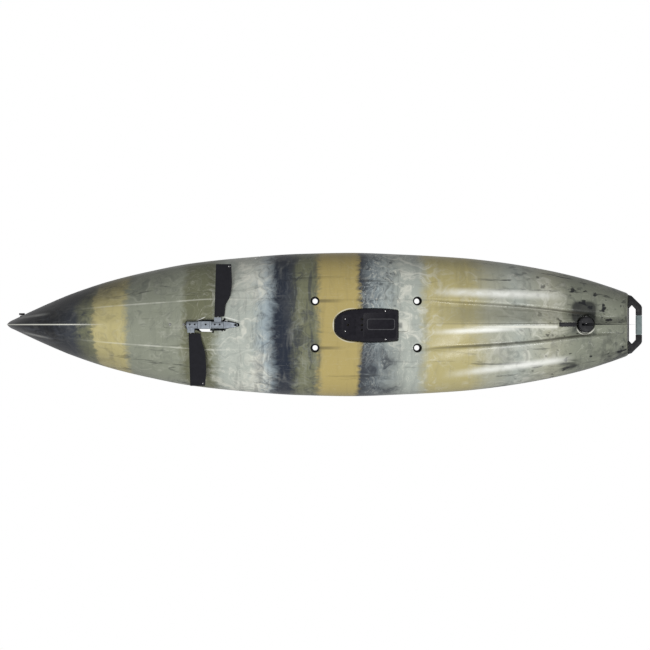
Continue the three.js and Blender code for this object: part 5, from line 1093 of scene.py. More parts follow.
def hull_rings():
    share = (1 - np.cos(np.linspace(0, math.pi, STATIONS))) / 2
    first, last = BOW + BOW_ROUND, STERN - TRANSOM_ROUND
    between_ends = [hull_section(first + (last - first) * s) for s in share]
    return rounded_end(BOW, 1, BOW_ROUND)[::-1] + between_ends + rounded_end(STERN, -1, TRANSOM_ROUND)


hull_skin = ring_solid("hull_skin", hull_rings())
print("hull skin:", len(hull_skin.data.vertices), "points")

# %% [markdown]
# ## Wells, slots and pockets
#
# In a real mould each opening has round lips, because plastic can't flow into a sharp corner. A
# cutter is a solid of stacked outlines. Where it meets the bottom or the deck, they widen along a
# quarter circle that follows that surface, so the cut leaves a round lip. A bevel made afterwards
# would fail where edges run close together.

# %% Outlines seen from above
def plan_outline(start, end, half_width_at, roundness, steps=56):
    share = np.cos(math.pi * np.arange(2 * steps) / steps)
    close = (1 - np.minimum(1, np.abs(share)) ** roundness) ** (1 / roundness)
    x = (start + end) / 2 + (end - start) / 2 * share
    side = np.where(np.arange(2 * steps) < steps, 1, -1)
    return np.stack([x, side * half_width_at(x) * close], 1)


def even_width(half):
    return lambda x: np.full_like(x, half)


def round_outline(x, y, radius, steps=32):
    turn = math.pi * np.arange(2 * steps) / steps
    return np.stack([x + radius * np.cos(turn), y + radius * np.sin(turn)], 1)


def grown(outline, grow):
    ahead = np.roll(outline, -1, 0) - np.roll(outline, 1, 0)
    normal = np.stack([ahead[:, 1], -ahead[:, 0]], 1)
    normal /= np.maximum(np.linalg.norm(normal, axis=1, keepdims=True), 1e-9)
    return outline + normal * grow


# %% Outlines lifted to a height or onto a surface
def bottom_at(x, y):
    return bottom_height(x, np.abs(y))


def deck_at(x, y):
    return deck_height(x, np.abs(y))


def bottom_plus(rise):
    return lambda x, y: bottom_at(x, y) + rise


def flat_at(height):
    return lambda x, y: np.full_like(x, height)


def level(outline, height):
    x, y = outline[:, 0], outline[:, 1]
    z = height(x, y) if callable(height) else np.full_like(x, height)
    return np.stack([x, y, z], 1)


# %% A round lip where a cutter meets a surface
LIP_TURN = math.radians(75)
LIP_PAST, CUTTER_PAST = 0.004, 0.06


def lip(surface, radius, outward):
    steps = []
    for angle in np.linspace(0, LIP_TURN, 6):
        lift = outward * radius * (math.sin(angle) - 1)
        steps.append((radius * (1 - math.cos(angle)), lift))
    reach = steps[-1][0] + (LIP_PAST + radius * (1 - math.sin(LIP_TURN))) * math.tan(LIP_TURN)
    steps += [(reach, outward * LIP_PAST), (reach, outward * CUTTER_PAST)]
    follow = surface if callable(surface) else flat_at(surface)
    made = [(grow, lambda x, y, lift=lift: follow(x, y) + lift) for grow, lift in steps]
    return made[::-1] if outward < 0 else made


def cutter(name, outline, profile):
    return ring_solid(name, [level(grown(outline, grow), height) for grow, height in profile])


# %% Joining and cutting
def with_modifiers(piece):
    view = bpy.context.evaluated_depsgraph_get()
    mesh = bpy.data.meshes.new_from_object(piece.evaluated_get(view))
    piece.modifiers.clear()
    return mesh


def combine(piece, others, operation="DIFFERENCE"):
    for other in others if isinstance(others, list) else [others]:
        step = piece.modifiers.new("step", "BOOLEAN")
        step.object, step.operation, step.solver = other, operation, "MANIFOLD"
        shape = with_modifiers(piece)
        if len(shape.vertices) == 0:
            print("no result:", piece.name, other.name)
        old = piece.data
        piece.data = shape
        bpy.data.meshes.remove(old)
        bpy.data.objects.remove(other)
    return piece


# %% [markdown]
# ### Cockpit and cargo wells
#
# The two wells are deep trays with a rounded floor, walls that lean outwards so that the part
# leaves its mould, and a soft lip. One function stacks the outlines of either, and keeps each a
# fixed distance inside the hull's skin.

# %% Stacked outlines of a well
FLOOR_ROUND, DECK_CLEAR, DOUBLE_WALL = 0.022, 0.09, 0.038
WELL_SQUARENESS, WELL_STEPS = 6, 70


def well(name, front, back, floor_at, side_inset, slope_front, slope_back, lip_round):
    def outline_at(rise_at, shrink):
        def half_width(x):
            wall = skin_at(x, floor_at(x) + rise_at(x)) - DOUBLE_WALL
            return np.minimum(half_breadth(x) - side_inset, wall) - shrink

        def share(x):
            return rise_at(x) / (sheer(x) + DECK_CLEAR - floor_at(x))

        start = front + slope_front * (1 - share(front)) + shrink
        end = back - slope_back * (1 - share(back)) - shrink
        outline = plan_outline(start, end, half_width, WELL_SQUARENESS, WELL_STEPS)
        return outline, level(outline, lambda x, y: floor_at(x) + rise_at(x))

    rings = []
    for angle in quarter_turn(7):
        rise = FLOOR_ROUND * (1 - math.cos(angle))
        rings.append(outline_at(lambda x: rise, FLOOR_ROUND * (1 - math.sin(angle)))[1])
    for part in np.linspace(0, 1, 9)[1:]:
        wall_height = lambda x: sheer(x) - lip_round - floor_at(x) - FLOOR_ROUND
        outline, ring = outline_at(lambda x: FLOOR_ROUND + wall_height(x) * part, 0)
        if part < 1:
            rings.append(ring)
    rings += [level(grown(outline, grow), surface) for grow, surface in lip(deck_at, lip_round, 1)]
    return ring_solid(name, rings)


# %% Cockpit and cargo wells
COCKPIT_FRONT, COCKPIT_BACK, COCKPIT_FLOOR = -1.09, 0.64, 0.084
FOOTWELL_RISE, FOOTWELL_END = 0.052, -0.56
CARGO_FRONT, CARGO_BACK, CARGO_FLOOR = 0.752, 1.5, 0.158


def cockpit_floor_at(x):
    return COCKPIT_FLOOR + FOOTWELL_RISE * (1 - ramp(x, COCKPIT_FRONT, FOOTWELL_END))


cockpit_cutter = well(
    "cockpit_cutter", COCKPIT_FRONT, COCKPIT_BACK, cockpit_floor_at,
    side_inset=0.106, slope_front=0.12, slope_back=0.046, lip_round=0.012,
)
cargo_cutter = well(
    "cargo_cutter", CARGO_FRONT, CARGO_BACK, lambda x: CARGO_FLOOR + 0 * x,
    side_inset=0.092, slope_front=0.034, slope_back=0.034, lip_round=0.01,
)
combine(hull_skin, [cockpit_cutter, cargo_cutter])
print("with wells:", len(hull_skin.data.vertices), "points")

# %% [markdown]
# ### Console
#
# Between the legs a low box rises from the cockpit floor and carries the pedal drive. It is one
# piece with the hull, so it flares into the floor. Its stacked outlines hold that flare, and the
# union needs no bevel.

# %% Console between the legs
CONSOLE_FRONT, CONSOLE_BACK, CONSOLE_TOP = -0.945, -0.19, 0.15
CONSOLE_HALF, CONSOLE_FLARE, CONSOLE_EDGE, FOOT_ROUND = 0.098, 0.016, 0.01, 0.009
CONSOLE_SINK, CONSOLE_COVER, FOOT_START = 0.04, 0.012, 0.2


def console_body():
    outline = plan_outline(CONSOLE_FRONT, CONSOLE_BACK, even_width(CONSOLE_HALF), 5)
    outward = grown(outline, 1.0) - outline
    foot, shoulder = COCKPIT_FLOOR - CONSOLE_SINK, CONSOLE_TOP - CONSOLE_EDGE
    lean = lambda z: CONSOLE_FLARE * np.clip((shoulder - z) / (shoulder - foot), 0, 1)
    inside = lambda x, y: np.maximum(foot, bottom_at(x, y) + CONSOLE_COVER)
    rings = [level(grown(outline, CONSOLE_FLARE + FOOT_ROUND), inside)]
    for angle in np.linspace(FOOT_START, math.pi / 2, 6):
        spread = FOOT_ROUND * (1 - math.sin(angle))
        lift = FOOT_ROUND * (1 - math.cos(angle))
        z = np.minimum(cockpit_floor_at(outline[:, 0]) + lift, shoulder - 0.001)
        rings.append(np.column_stack([outline + outward * (lean(z) + spread)[:, None], z]))
    for angle in quarter_turn(7):
        grow = -CONSOLE_EDGE * (1 - math.cos(angle))
        rings.append(level(grown(outline, grow), CONSOLE_TOP - CONSOLE_EDGE * (1 - math.sin(angle))))
    return ring_solid("console_body", rings)


combine(hull_skin, console_body(), "UNION")
print("with the console:", len(hull_skin.data.vertices), "points")

# %% [markdown]
# ### Drive slot
#
# The pedal drive stands in a slot right through the console. The casting is close to the slot's
# port side, so each side has its own curve.

# %% Drive slot, close round the drive on its port side
SLOT_LEFT, SLOT_RIGHT, DRIVE_Y, SLOT_LIP = -0.82, -0.5, 0.003, 0.003
slot_port = curve_through([
    (-0.83, -0.02), (-0.75, -0.0215), (-0.735, -0.027), (-0.66, -0.0285), (-0.6, -0.0285),
    (-0.585, -0.025), (-0.555, -0.019), (-0.49, -0.0105),
])
slot_starboard = curve_through([
    (-0.83, 0.024), (-0.79, 0.03), (-0.755, 0.035), (-0.738, 0.042), (-0.7, 0.0435),
    (-0.668, 0.043), (-0.65, 0.0365), (-0.6, 0.035), (-0.582, 0.028), (-0.555, 0.0205),
    (-0.49, 0.0115),
])


def slot_loop(steps=56):
    share = np.cos(math.pi * np.arange(2 * steps) / steps)
    close = (1 - np.minimum(1, np.abs(share)) ** 5) ** 0.2
    x = (SLOT_LEFT + SLOT_RIGHT) / 2 + (SLOT_RIGHT - SLOT_LEFT) / 2 * share
    edge = np.where(np.arange(2 * steps) < steps, slot_starboard(x), slot_port(x))
    return np.stack([x, DRIVE_Y + close * (edge - DRIVE_Y)], 1)


slot_outline = slot_loop()
slot_profile = lip(bottom_at, SLOT_LIP, -1) + lip(CONSOLE_TOP, SLOT_LIP, 1)
combine(hull_skin, cutter("slot_cutter", slot_outline, slot_profile))

# %% [markdown]
# ### Scuppers
#
# Four tubes let water drain from the cockpit. Each is wide below and narrow above, so its cutter
# is a circle that shrinks as it rises.

# %% Scuppers
SCUPPER_LOW, SCUPPER_HIGH, SCUPPER_OUT, SCUPPER_LIP = 0.026, 0.0165, 0.139, 0.003
SCUPPER_FOOT = 0.012
SCUPPERS = {
    end + "_" + side: (x, y)
    for end, x in (("front", -0.051), ("rear", 0.555))
    for side, y in (("port", -SCUPPER_OUT), ("starboard", SCUPPER_OUT))
}
for x, y in SCUPPERS.values():
    swell = SCUPPER_LOW - SCUPPER_HIGH
    base = [(swell + grow, height) for grow, height in lip(bottom_at, SCUPPER_LIP, -1)]
    middle = [
        (swell * (1 - part), SCUPPER_FOOT + (COCKPIT_FLOOR - SCUPPER_FOOT) * part) for part in (0.3, 0.7)
    ]
    profile = base + middle + lip(COCKPIT_FLOOR, SCUPPER_LIP, 1)
    combine(hull_skin, cutter("scupper_cutter", round_outline(x, y, SCUPPER_HIGH, 24), profile))
print("scuppers:", list(SCUPPERS))

# %% [markdown]
# ### Pocket of the shield
#
# Under the seat a flat shield covers a shallow pocket for a transducer. It is blunt at the nose,
# full at the cheeks and square at the tail. Three smooth curves, each drawn towards a few corner
# points, give that outline, and the plate uses it again later.

# %% Shield pocket
SHIELD_FRONT, SHIELD_LENGTH, SHIELD_Y = 0.066, 0.374, 0.005
SHIELD_HALF, SHIELD_CHEEK, SHIELD_TAIL = 0.098, 0.091, 0.09
SHIELD_NOSE, SHIELD_CORNER, SHIELD_GAP = 0.105, 0.016, 0.004
NOSE_PULL, CHEEK_PULL, BLUNT_HALF = 0.57, 0.63, 0.28


def swung(points, count=14):
    # A smooth curve through the first and last point, drawn towards those between
    rows = [np.array(point, float)[None] for point in points]
    t = np.linspace(0, 1, count + 1)[:, None]
    while len(rows) > 1:
        rows = [(1 - t) * a + t * b for a, b in zip(rows, rows[1:])]
    return rows[0]


def shield_outline(grow):
    front, back = SHIELD_FRONT - grow, SHIELD_FRONT + SHIELD_LENGTH + grow
    cheek, tail = SHIELD_CHEEK + grow, SHIELD_TAIL + grow
    corner, nose = back - SHIELD_CORNER, front + SHIELD_NOSE
    swell = 2 * (SHIELD_HALF + grow) - (cheek + tail) / 2
    nose_pull = (front + NOSE_PULL * SHIELD_NOSE, cheek)
    half_loop = np.concatenate([
        swung([(back, tail - SHIELD_CORNER), (back, tail), (corner, tail)], 8),
        swung([(corner, tail), ((nose + corner) / 2, swell), (nose, cheek)])[1:],
        swung([(nose, cheek), nose_pull, (front, CHEEK_PULL * cheek), (front, BLUNT_HALF * cheek)], 24)[1:],
    ])
    mirrored = half_loop[::-1] * np.array([1, -1])
    return np.concatenate([half_loop, mirrored]) + np.array([0, SHIELD_Y])


pocket_profile = lip(bottom_at, 0.004, -1) + [(0, 0.02), (-0.003, 0.029), (-0.006, 0.03)]
combine(hull_skin, cutter("pocket_cutter", shield_outline(SHIELD_GAP), pocket_profile))
print("shield pocket:", SHIELD_LENGTH, "m long")

# %% [markdown]
# ### Small openings of the keel
#
# The rudder turns in a round recess, a skid plate lies in a slot before it, and two screws sit in
# bores by the drive. All are plain outlines, so the same cutter makes them.

# %% Rudder recess, skid slot and screw bores
RUDDER_X, RECESS_RADIUS, RECESS_TOP, RECESS_CORNER = 1.56, 0.055, 0.084, 0.004
recess_profile = lip(bottom_at, 0.005, -1)
recess_profile += [(0, RECESS_TOP - RECESS_CORNER), (-RECESS_CORNER, RECESS_TOP)]
recess_outline = round_outline(RUDDER_X, 0, RECESS_RADIUS, 40)
combine(hull_skin, cutter("recess_cutter", recess_outline, recess_profile))

SKID_FRONT, SKID_BACK, SKID_HALF, SKID_DEPTH = 1.397, 1.507, 0.014, 0.014
skid_outline = plan_outline(SKID_FRONT, SKID_BACK, even_width(SKID_HALF), 14, 24)
skid_profile = lip(bottom_at, 0.002, -1) + [(0, lambda x, y: keel(x) + SKID_DEPTH)]
combine(hull_skin, cutter("skid_cutter", skid_outline, skid_profile))

KEEL_SCREWS = {"keel_screw_front": -0.9125, "keel_screw_rear": -0.831}
KEEL_BORE, KEEL_BORE_DEPTH, BELOW_BOAT = 0.0078, 0.0073, 0.04
for x in KEEL_SCREWS.values():
    bore = round_outline(x, 0, KEEL_BORE, 20)
    combine(hull_skin, cutter("screw_bore", bore, [(0, -BELOW_BOAT), (0, float(keel(x)) + KEEL_BORE_DEPTH)]))
print("with openings below:", len(hull_skin.data.vertices), "points")

# %% [markdown]
# ## What is moulded on the deck
#
# The hatch frame, the ears of the handles and the pads under the fittings are one piece with the
# hull. Each is a slab with round edges, joined to the skin before the last cuts are made.

# %% Slabs with round edges
AXES = {"z": (0, 1, 2), "y": (0, 2, 1), "x": (1, 2, 0)}


def slab(name, outline, low, high, edge=0.002, axis="z", turn_steps=3):
    outline = np.asarray(outline, float)
    ahead = np.roll(outline, -1, 0)
    if (outline[:, 0] * ahead[:, 1] - ahead[:, 0] * outline[:, 1]).sum() < 0:
        outline = outline[::-1]
    u, v, w = AXES[axis]
    rows = []
    for end, sign in ((low, 1), (high, -1)):
        turns = quarter_turn(turn_steps + 1)
        for angle in turns if sign > 0 else turns[::-1]:
            points = np.zeros((len(outline), 3))
            around = grown(outline, -edge * (1 - math.sin(angle)))
            points[:, u], points[:, v] = around[:, 0], around[:, 1]
            points[:, w] = end + sign * edge * (1 - math.cos(angle))
            rows.append(points)
    count, rings = len(outline), len(rows)
    faces = [tuple(range(count))[::-1], tuple((rings - 1) * count + k for k in range(count))]
    for r in range(rings - 1):
        for k in range(count):
            here, beside = r * count + k, r * count + (k + 1) % count
            faces.append((here, beside, beside + count, here + count))
    return solid_from(name, np.concatenate(rows).tolist(), faces)


# %% Outlines of slabs
def rounded_box(length, width, corner, centre=(0, 0), steps=6):
    points = []
    for quarter, (sx, sy) in enumerate(((1, 1), (-1, 1), (-1, -1), (1, -1))):
        for angle in quarter_turn(steps + 1) + quarter * math.pi / 2:
            x = sx * (length / 2 - corner) + corner * math.cos(angle)
            y = sy * (width / 2 - corner) + corner * math.sin(angle)
            points.append((centre[0] + x, centre[1] + y))
    return np.array(points)


def ear_outline(across, up, radius, foot):
    turn = np.linspace(0, math.pi, 13)
    head = [(across + radius * math.cos(a), up + radius * math.sin(a)) for a in turn]
    return head + [(across - radius, foot), (across + radius, foot)]


# %% Shallow channels in the keel
CHANNEL_FRONT, CHANNEL_BACK, CHANNEL_HALF, CHANNEL_DEPTH = -0.952, -0.8, 0.021, 0.003
channel_outline = plan_outline(CHANNEL_FRONT, CHANNEL_BACK, even_width(CHANNEL_HALF), 5, 40)
channel_profile = lip(bottom_at, 0.002, -1) + [(0, bottom_plus(CHANNEL_DEPTH))]
combine(hull_skin, cutter("channel_cutter", channel_outline, channel_profile))

CABLE_X, CABLE_SIZE, CABLE_DEPTH = 0.465, (0.07, 0.074), 0.006
cable_outline = rounded_box(*CABLE_SIZE, 0.014, (CABLE_X, SHIELD_Y))
cable_profile = lip(bottom_at, 0.003, -1) + [(0, bottom_plus(CABLE_DEPTH))]
combine(hull_skin, cutter("cable_cutter", cable_outline, cable_profile))
print("channels cut")

# %% [markdown]
# ### Hatch frame
#
# A raised frame keeps water out of the bow hatch, and two ears before it hold the lid's hinge.
# The deck slopes there, so all of the hatch is drawn level and tilted into place by one matrix.
# The lid uses it too and is sure to fit.

# %% Place and outline of the hatch
HATCH_X, HATCH_LENGTH, HATCH_RIM, HATCH_RISE = -1.445, 0.47, 0.015, 0.008
HATCH_FRONT_HALF, HATCH_BACK_HALF = 0.052, 0.178
hatch_front_z = float(deck_height(HATCH_X - HATCH_LENGTH / 2, 0.0))
hatch_back_z = float(deck_height(HATCH_X + HATCH_LENGTH / 2, 0.0))
HATCH_PITCH = math.atan2(hatch_front_z - hatch_back_z, HATCH_LENGTH)
HATCH_Z = (hatch_front_z + hatch_back_z) / 2 + HATCH_RISE
HATCH_FRAME = Matrix.Translation((HATCH_X, 0, HATCH_Z)) @ Matrix.Rotation(HATCH_PITCH, 4, "Y")
HATCH_PIVOT = (-(HATCH_LENGTH / 2 + HATCH_RIM + 0.02), 0.009)
HATCH_KNUCKLE, HATCH_PIN_BORE = 0.008, 0.0043


def hatch_outline(grow):
    def half_width(x):
        share = (x + HATCH_LENGTH / 2) / HATCH_LENGTH
        return HATCH_FRONT_HALF + (HATCH_BACK_HALF - HATCH_FRONT_HALF) * share + grow

    return plan_outline(-HATCH_LENGTH / 2 - grow, HATCH_LENGTH / 2 + grow, half_width, 4, 44)


def hatch_rings(name, levels):
    piece = ring_solid(name, [level(hatch_outline(grow), height) for grow, height in levels])
    piece.data.transform(HATCH_FRAME)
    return piece


def hatch_slab(name, outline, half, edge):
    piece = slab(name, outline, -half, half, edge, "y")
    piece.data.transform(HATCH_FRAME)
    return piece


# %% Hatch frame and its ears
EAR_INNER, EAR_OUTER, EAR_FOOT, EAR_EDGE = 0.0243, 0.0363, -0.03, 0.0015
COAMING_FOOT, COAMING_EDGE = -0.06, 0.003


def quarter_levels(grow, height, radius, steps=4):
    turn = quarter_turn(steps + 1)
    return [
        (grow - radius * (1 - math.cos(a)), height - radius * (1 - math.sin(a))) for a in turn
    ]


coaming_levels = [(HATCH_RIM, COAMING_FOOT)] + quarter_levels(HATCH_RIM, 0.0, COAMING_EDGE)
hatch_parts = [hatch_rings("coaming", coaming_levels)]
for side in (-1, 1):
    low, high = sorted((side * EAR_INNER, side * EAR_OUTER))
    ear = slab("hatch_ear", ear_outline(*HATCH_PIVOT, HATCH_KNUCKLE, EAR_FOOT), low, high, EAR_EDGE, "y")
    ear.data.transform(HATCH_FRAME)
    hatch_parts.append(ear)
combine(hull_skin, hatch_parts, "UNION")
print("hatch pitch:", round(math.degrees(HATCH_PITCH), 2), "degrees")

# %% [markdown]
# ### Pads and ears on the side decks
#
# Fittings stand on flat round pads, because a bolt needs a level seat on a curved deck, and each
# handle hangs between two ears. Their places are measured in from the deck's edge, so they follow
# the hull's outline.

# %% Pads and handle ears on the side decks
LEVER_X, LEVER_PAD_RISE = 0.01, 0.004
LEVER_Y = -(float(half_breadth(LEVER_X)) - 0.06)
LEVER_Z = float(sheer(LEVER_X)) + LEVER_PAD_RISE
DRAIN_X = 1.7
DRAIN_Z = float(deck_height(DRAIN_X, 0.0)) + 0.003
ROD_X = 0.696
ROD_Y = float(half_breadth(ROD_X)) - 0.098
ROD_Z = float(sheer(ROD_X)) + 0.007
HANDLE_X, HANDLE_RISE, HANDLE_EAR = 0.19, 0.014, 0.009
HANDLE_Y = float(half_breadth(HANDLE_X)) - 0.06
HANDLE_Z = float(sheer(HANDLE_X))
HANDLE_HALF_GAP, HANDLE_EAR_THICK, HANDLE_EAR_SINK = 0.095, 0.012, 0.012
PAD_FLARE, PAD_EDGE = 0.004, 0.002


def pad(x, y, top, radius, foot):
    shape = round_outline(x, y, radius, 28)
    rings = [level(grown(shape, PAD_FLARE), top - foot)]
    rings += [level(grown(shape, grow), height) for grow, height in quarter_levels(0, top, PAD_EDGE)]
    return ring_solid("pad", rings)


deck_parts = [pad(LEVER_X, LEVER_Y, LEVER_Z, 0.024, 0.03), pad(DRAIN_X, 0, DRAIN_Z, 0.029, 0.02)]
deck_parts += [pad(ROD_X, side * ROD_Y, ROD_Z, 0.037, 0.03) for side in (-1, 1)]
for side in (-1, 1):
    ear_shape = ear_outline(side * HANDLE_Y, HANDLE_Z + HANDLE_RISE, HANDLE_EAR, HANDLE_Z - HANDLE_EAR_SINK)
    for end in (-1, 1):
        inner_face = HANDLE_X + end * HANDLE_HALF_GAP
        low, high = sorted((inner_face, inner_face + end * HANDLE_EAR_THICK))
        deck_parts.append(slab("handle_ear", ear_shape, low, high, EAR_EDGE, "x"))
print("pads and ears:", len(deck_parts))
combine(hull_skin, deck_parts, "UNION")

# %% [markdown]
# ### Last cuts
#
# The bow is hollow, so that the hatch opens into a bay. Rods, rails, bolts and pins need bores a
# little larger than themselves, since parts that share a face flicker in a render. These cuts
# come last, because a later union would close them again.

# %% Bow bay and hatch opening
BAY_FRONT, BAY_BACK, BAY_STATIONS = -1.8, -1.12, 24
bay_rings = [hull_section(x, WALL, 2) for x in np.linspace(BAY_FRONT, BAY_BACK, BAY_STATIONS)]
combine(hull_skin, ring_solid("bow_bay", bay_rings))
opening_levels = [(0, -0.08), (0, -0.003), (0.0006, -0.001), (0.003, 0.0004), (0.003, 0.04)]
combine(hull_skin, hatch_rings("hatch_opening", opening_levels))
print("with the bow bay:", len(hull_skin.data.vertices), "points")

# %% Bores and beds on both side decks
ROD_LEAN, ROD_BORE, ROD_DEEP = math.radians(24), 0.0243, 0.156
RAIL_X, RAIL_LENGTH, RAIL_INSET, RAIL_WIDTH, RAIL_SINK = -0.25, 0.4, 0.056, 0.032, 0.008
FIT = 0.0003
PAST_SKIN = 0.04
EAR_BORE, BOLT_BORE, BOLT_Y, BOLT_Z, BOLT_DEEP = 0.0049, 0.0048, 0.148, 0.274, 0.005
rail_rise = float(half_breadth(RAIL_X + RAIL_LENGTH / 2) - half_breadth(RAIL_X - RAIL_LENGTH / 2))
RAIL_YAW = math.atan2(rail_rise, RAIL_LENGTH)
RAIL_Z = float(sheer(RAIL_X + RAIL_LENGTH / 2)) - RAIL_SINK
RAIL_Y = float(half_breadth(RAIL_X)) - RAIL_INSET
rail_bed = rounded_box(RAIL_LENGTH + 2 * FIT, RAIL_WIDTH + 2 * FIT, 0.002)
for side in (-1, 1):
    bore = slab("rod_bore", round_outline(0, 0, ROD_BORE, 28), -ROD_DEEP, PAST_SKIN, 0.001)
    seat = Matrix.Translation((ROD_X, side * ROD_Y, float(sheer(ROD_X))))
    bore.data.transform(seat @ Matrix.Rotation(ROD_LEAN, 4, "Y"))
    bed = slab("rail_bed", rail_bed, -FIT, PAST_SKIN, 0)
    seat = Matrix.Translation((RAIL_X, side * RAIL_Y, RAIL_Z))
    bed.data.transform(seat @ Matrix.Rotation(side * RAIL_YAW, 4, "Z"))
    ear_bore = round_outline(side * HANDLE_Y, HANDLE_Z + HANDLE_RISE, EAR_BORE, 10)
    hole = slab("ear_bore", ear_bore, 0.0, 2 * HANDLE_X, 0, "x")
    bolt_bore = round_outline(side * BOLT_Y, BOLT_Z, BOLT_BORE, 10)
    bolt = slab("bolt_bore", bolt_bore, STERN - BOLT_DEEP, STERN + PAST_SKIN, 0, "x")
    combine(hull_skin, [bore, bed, hole, bolt])
print("bores on both sides cut")

# %% Bores along the middle, and the toggle's seat
ROUND_HATCH_X, ROUND_HATCH_BORE = -0.33, 0.062
RUDDER_BORE, RUDDER_BORE_TOP = 0.0096, 0.131
TOGGLE_X, TOGGLE_WIDTH, TOGGLE_REACH = -1.87, 0.022, 0.2
TOGGLE_SEAT_Y = 0.02 - float(half_breadth(TOGGLE_X))
TOGGLE_Z = float(sheer(TOGGLE_X)) - 0.01
seat_middle = (TOGGLE_X, TOGGLE_SEAT_Y + FIT - TOGGLE_REACH / 2)
seat_cut = rounded_box(TOGGLE_WIDTH + 2 * FIT, TOGGLE_REACH, 0.002, seat_middle)
UPRIGHT_BORES = (
    # name, outline, and the heights of its floor and top
    ("hatch_ring_bore", round_outline(ROUND_HATCH_X, 0, ROUND_HATCH_BORE, 40),
     CONSOLE_TOP - 0.013, CONSOLE_TOP + 0.02),
    ("lever_bore", round_outline(LEVER_X, LEVER_Y, 0.0073, 12), LEVER_Z - 0.02, LEVER_Z + 0.02),
    ("drain_bore", round_outline(DRAIN_X, 0, 0.0173, 24), DRAIN_Z - 0.016, DRAIN_Z + 0.02),
    ("rudder_bore", round_outline(RUDDER_X, 0, RUDDER_BORE, 16), RECESS_TOP - 0.01, RUDDER_BORE_TOP),
    ("toggle_seat", seat_cut, TOGGLE_Z, TOGGLE_Z + 0.05),
)
small_cuts = [slab(name, outline, low, high, 0) for name, outline, low, high in UPRIGHT_BORES]
small_cuts.append(hatch_slab("hatch_pin_bore", round_outline(*HATCH_PIVOT, HATCH_PIN_BORE, 10), 0.07, 0))
combine(hull_skin, small_cuts)
print("bores along the middle:", len(UPRIGHT_BORES) + 1)

# %% Raked transom
RAKE, RAKE_LOW, RAKE_HIGH, RAKE_PAST = 0.046, 0.09, 0.256, 0.05
past = STERN + RAKE_PAST
rake_outline = [(STERN, RAKE_HIGH), (STERN - RAKE, RAKE_LOW), (past, RAKE_LOW), (past, RAKE_HIGH)]
combine(hull_skin, slab("rake_cut", rake_outline, -0.6, 0.6, 0, "y"))

# %% Lugs of the shield's hinge, inside its pocket
SHIELD_PIN, SHIELD_PIN_BORE = (0.08, 0.013), 0.0043
LUG_INNER, LUG_OUTER, LUG_LENGTH, LUG_HEIGHT, LUG_MIDDLE = 0.0303, 0.0443, 0.018, 0.026, 0.0215
lug_shape = rounded_box(LUG_LENGTH, LUG_HEIGHT, 0.002, (SHIELD_PIN[0], LUG_MIDDLE))
lugs = []
for side in (-1, 1):
    low, high = sorted((SHIELD_Y + side * LUG_INNER, SHIELD_Y + side * LUG_OUTER))
    lugs.append(slab("shield_lug", lug_shape, low, high, 0.001, "y"))
combine(hull_skin, lugs, "UNION")
pin_bore = round_outline(*SHIELD_PIN, SHIELD_PIN_BORE, 10)
combine(hull_skin, slab("shield_pin_bore", pin_bore, -0.057, 0.067, 0, "y"))
print("finished hull:", len(hull_skin.data.vertices), "points")

# %% [markdown]
# ### Show the hull
#
# `show` gives a piece its finish and smooth shading, hides the CAD nodes it replaces, and hangs
# it on the body it moves with. Shading turns sharp only at a clear angle, so round lips stay
# smooth.

# %% Show the hull
def show(piece, finish, *replaced, body="boat", slot="black_plastic", sharp=38):
    piece.data.materials.clear()
    piece.data.materials.append(finish)
    piece.data.shade_smooth()
    piece.data.set_sharp_from_angle(angle=math.radians(sharp))
    if replaced:
        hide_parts(*replaced)
    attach(piece, body)
    return piece


show(hull_skin, hull_finish, "hull", slot="hull_plastic")

# %% [markdown]
# ## Small hard parts
#
# A machined or moulded part never has a knife edge. For the small hard parts the CAD shape is
# right, so a copy of it gets narrow bevels, which catch the light, and smooth shading between
# its sharp edges. The copy stands for the CAD node and moves with the same body.

# %% Finish of each CAD material
BODY_OF = {node: body for body, members in frame["record"]["behaviour"]["bodies"].items() for node in members}
SLOT_OF = {name: node.material_slots[0].material.name.split(".")[0] for name, node in nodes.items()}
FINISH_OF_SLOT = {
    "hull_plastic": hull_finish, "lid_plastic": lid_black, "black_plastic": fitting_black,
    "skid_plastic": fitting_black, "handle_plastic": fitting_black, "fin_rubber": fin_rubber,
    "seal_rubber": seal_rubber, "grip_rubber": grip_rubber, "drive_metal": drive_metal,
    "rail_metal": rail_metal, "seat_tube": fitting_black, "stainless": bright_steel,
    "seat_fabric": seat_weave,
}
print("slots in use:", sorted(set(SLOT_OF.values())))

# %% Soften a CAD part
SAME_POINT, FLAT_ANGLE, BEVEL_ANGLE, SHADING_ANGLE = 2e-6, math.radians(1.5), math.radians(32), 34


def soften(name, bevel):
    mesh = nodes[name].data.copy()
    shape = bmesh.new()
    shape.from_mesh(mesh)
    bmesh.ops.remove_doubles(shape, verts=shape.verts, dist=SAME_POINT)
    bmesh.ops.dissolve_limit(shape, angle_limit=FLAT_ANGLE, verts=shape.verts, edges=shape.edges)
    shape.to_mesh(mesh)
    shape.free()
    piece = into_scene(bpy.data.objects.new(name + "_soft", mesh))
    step = piece.modifiers.new("edges", "BEVEL")
    step.width, step.segments = bevel, 2
    step.limit_method, step.angle_limit = "ANGLE", BEVEL_ANGLE
    step.use_clamp_overlap = True
    piece.data = with_modifiers(piece)
    slot = SLOT_OF[name]
    return show(piece, FINISH_OF_SLOT[slot], name, body=BODY_OF[name], slot=slot, sharp=SHADING_ANGLE)


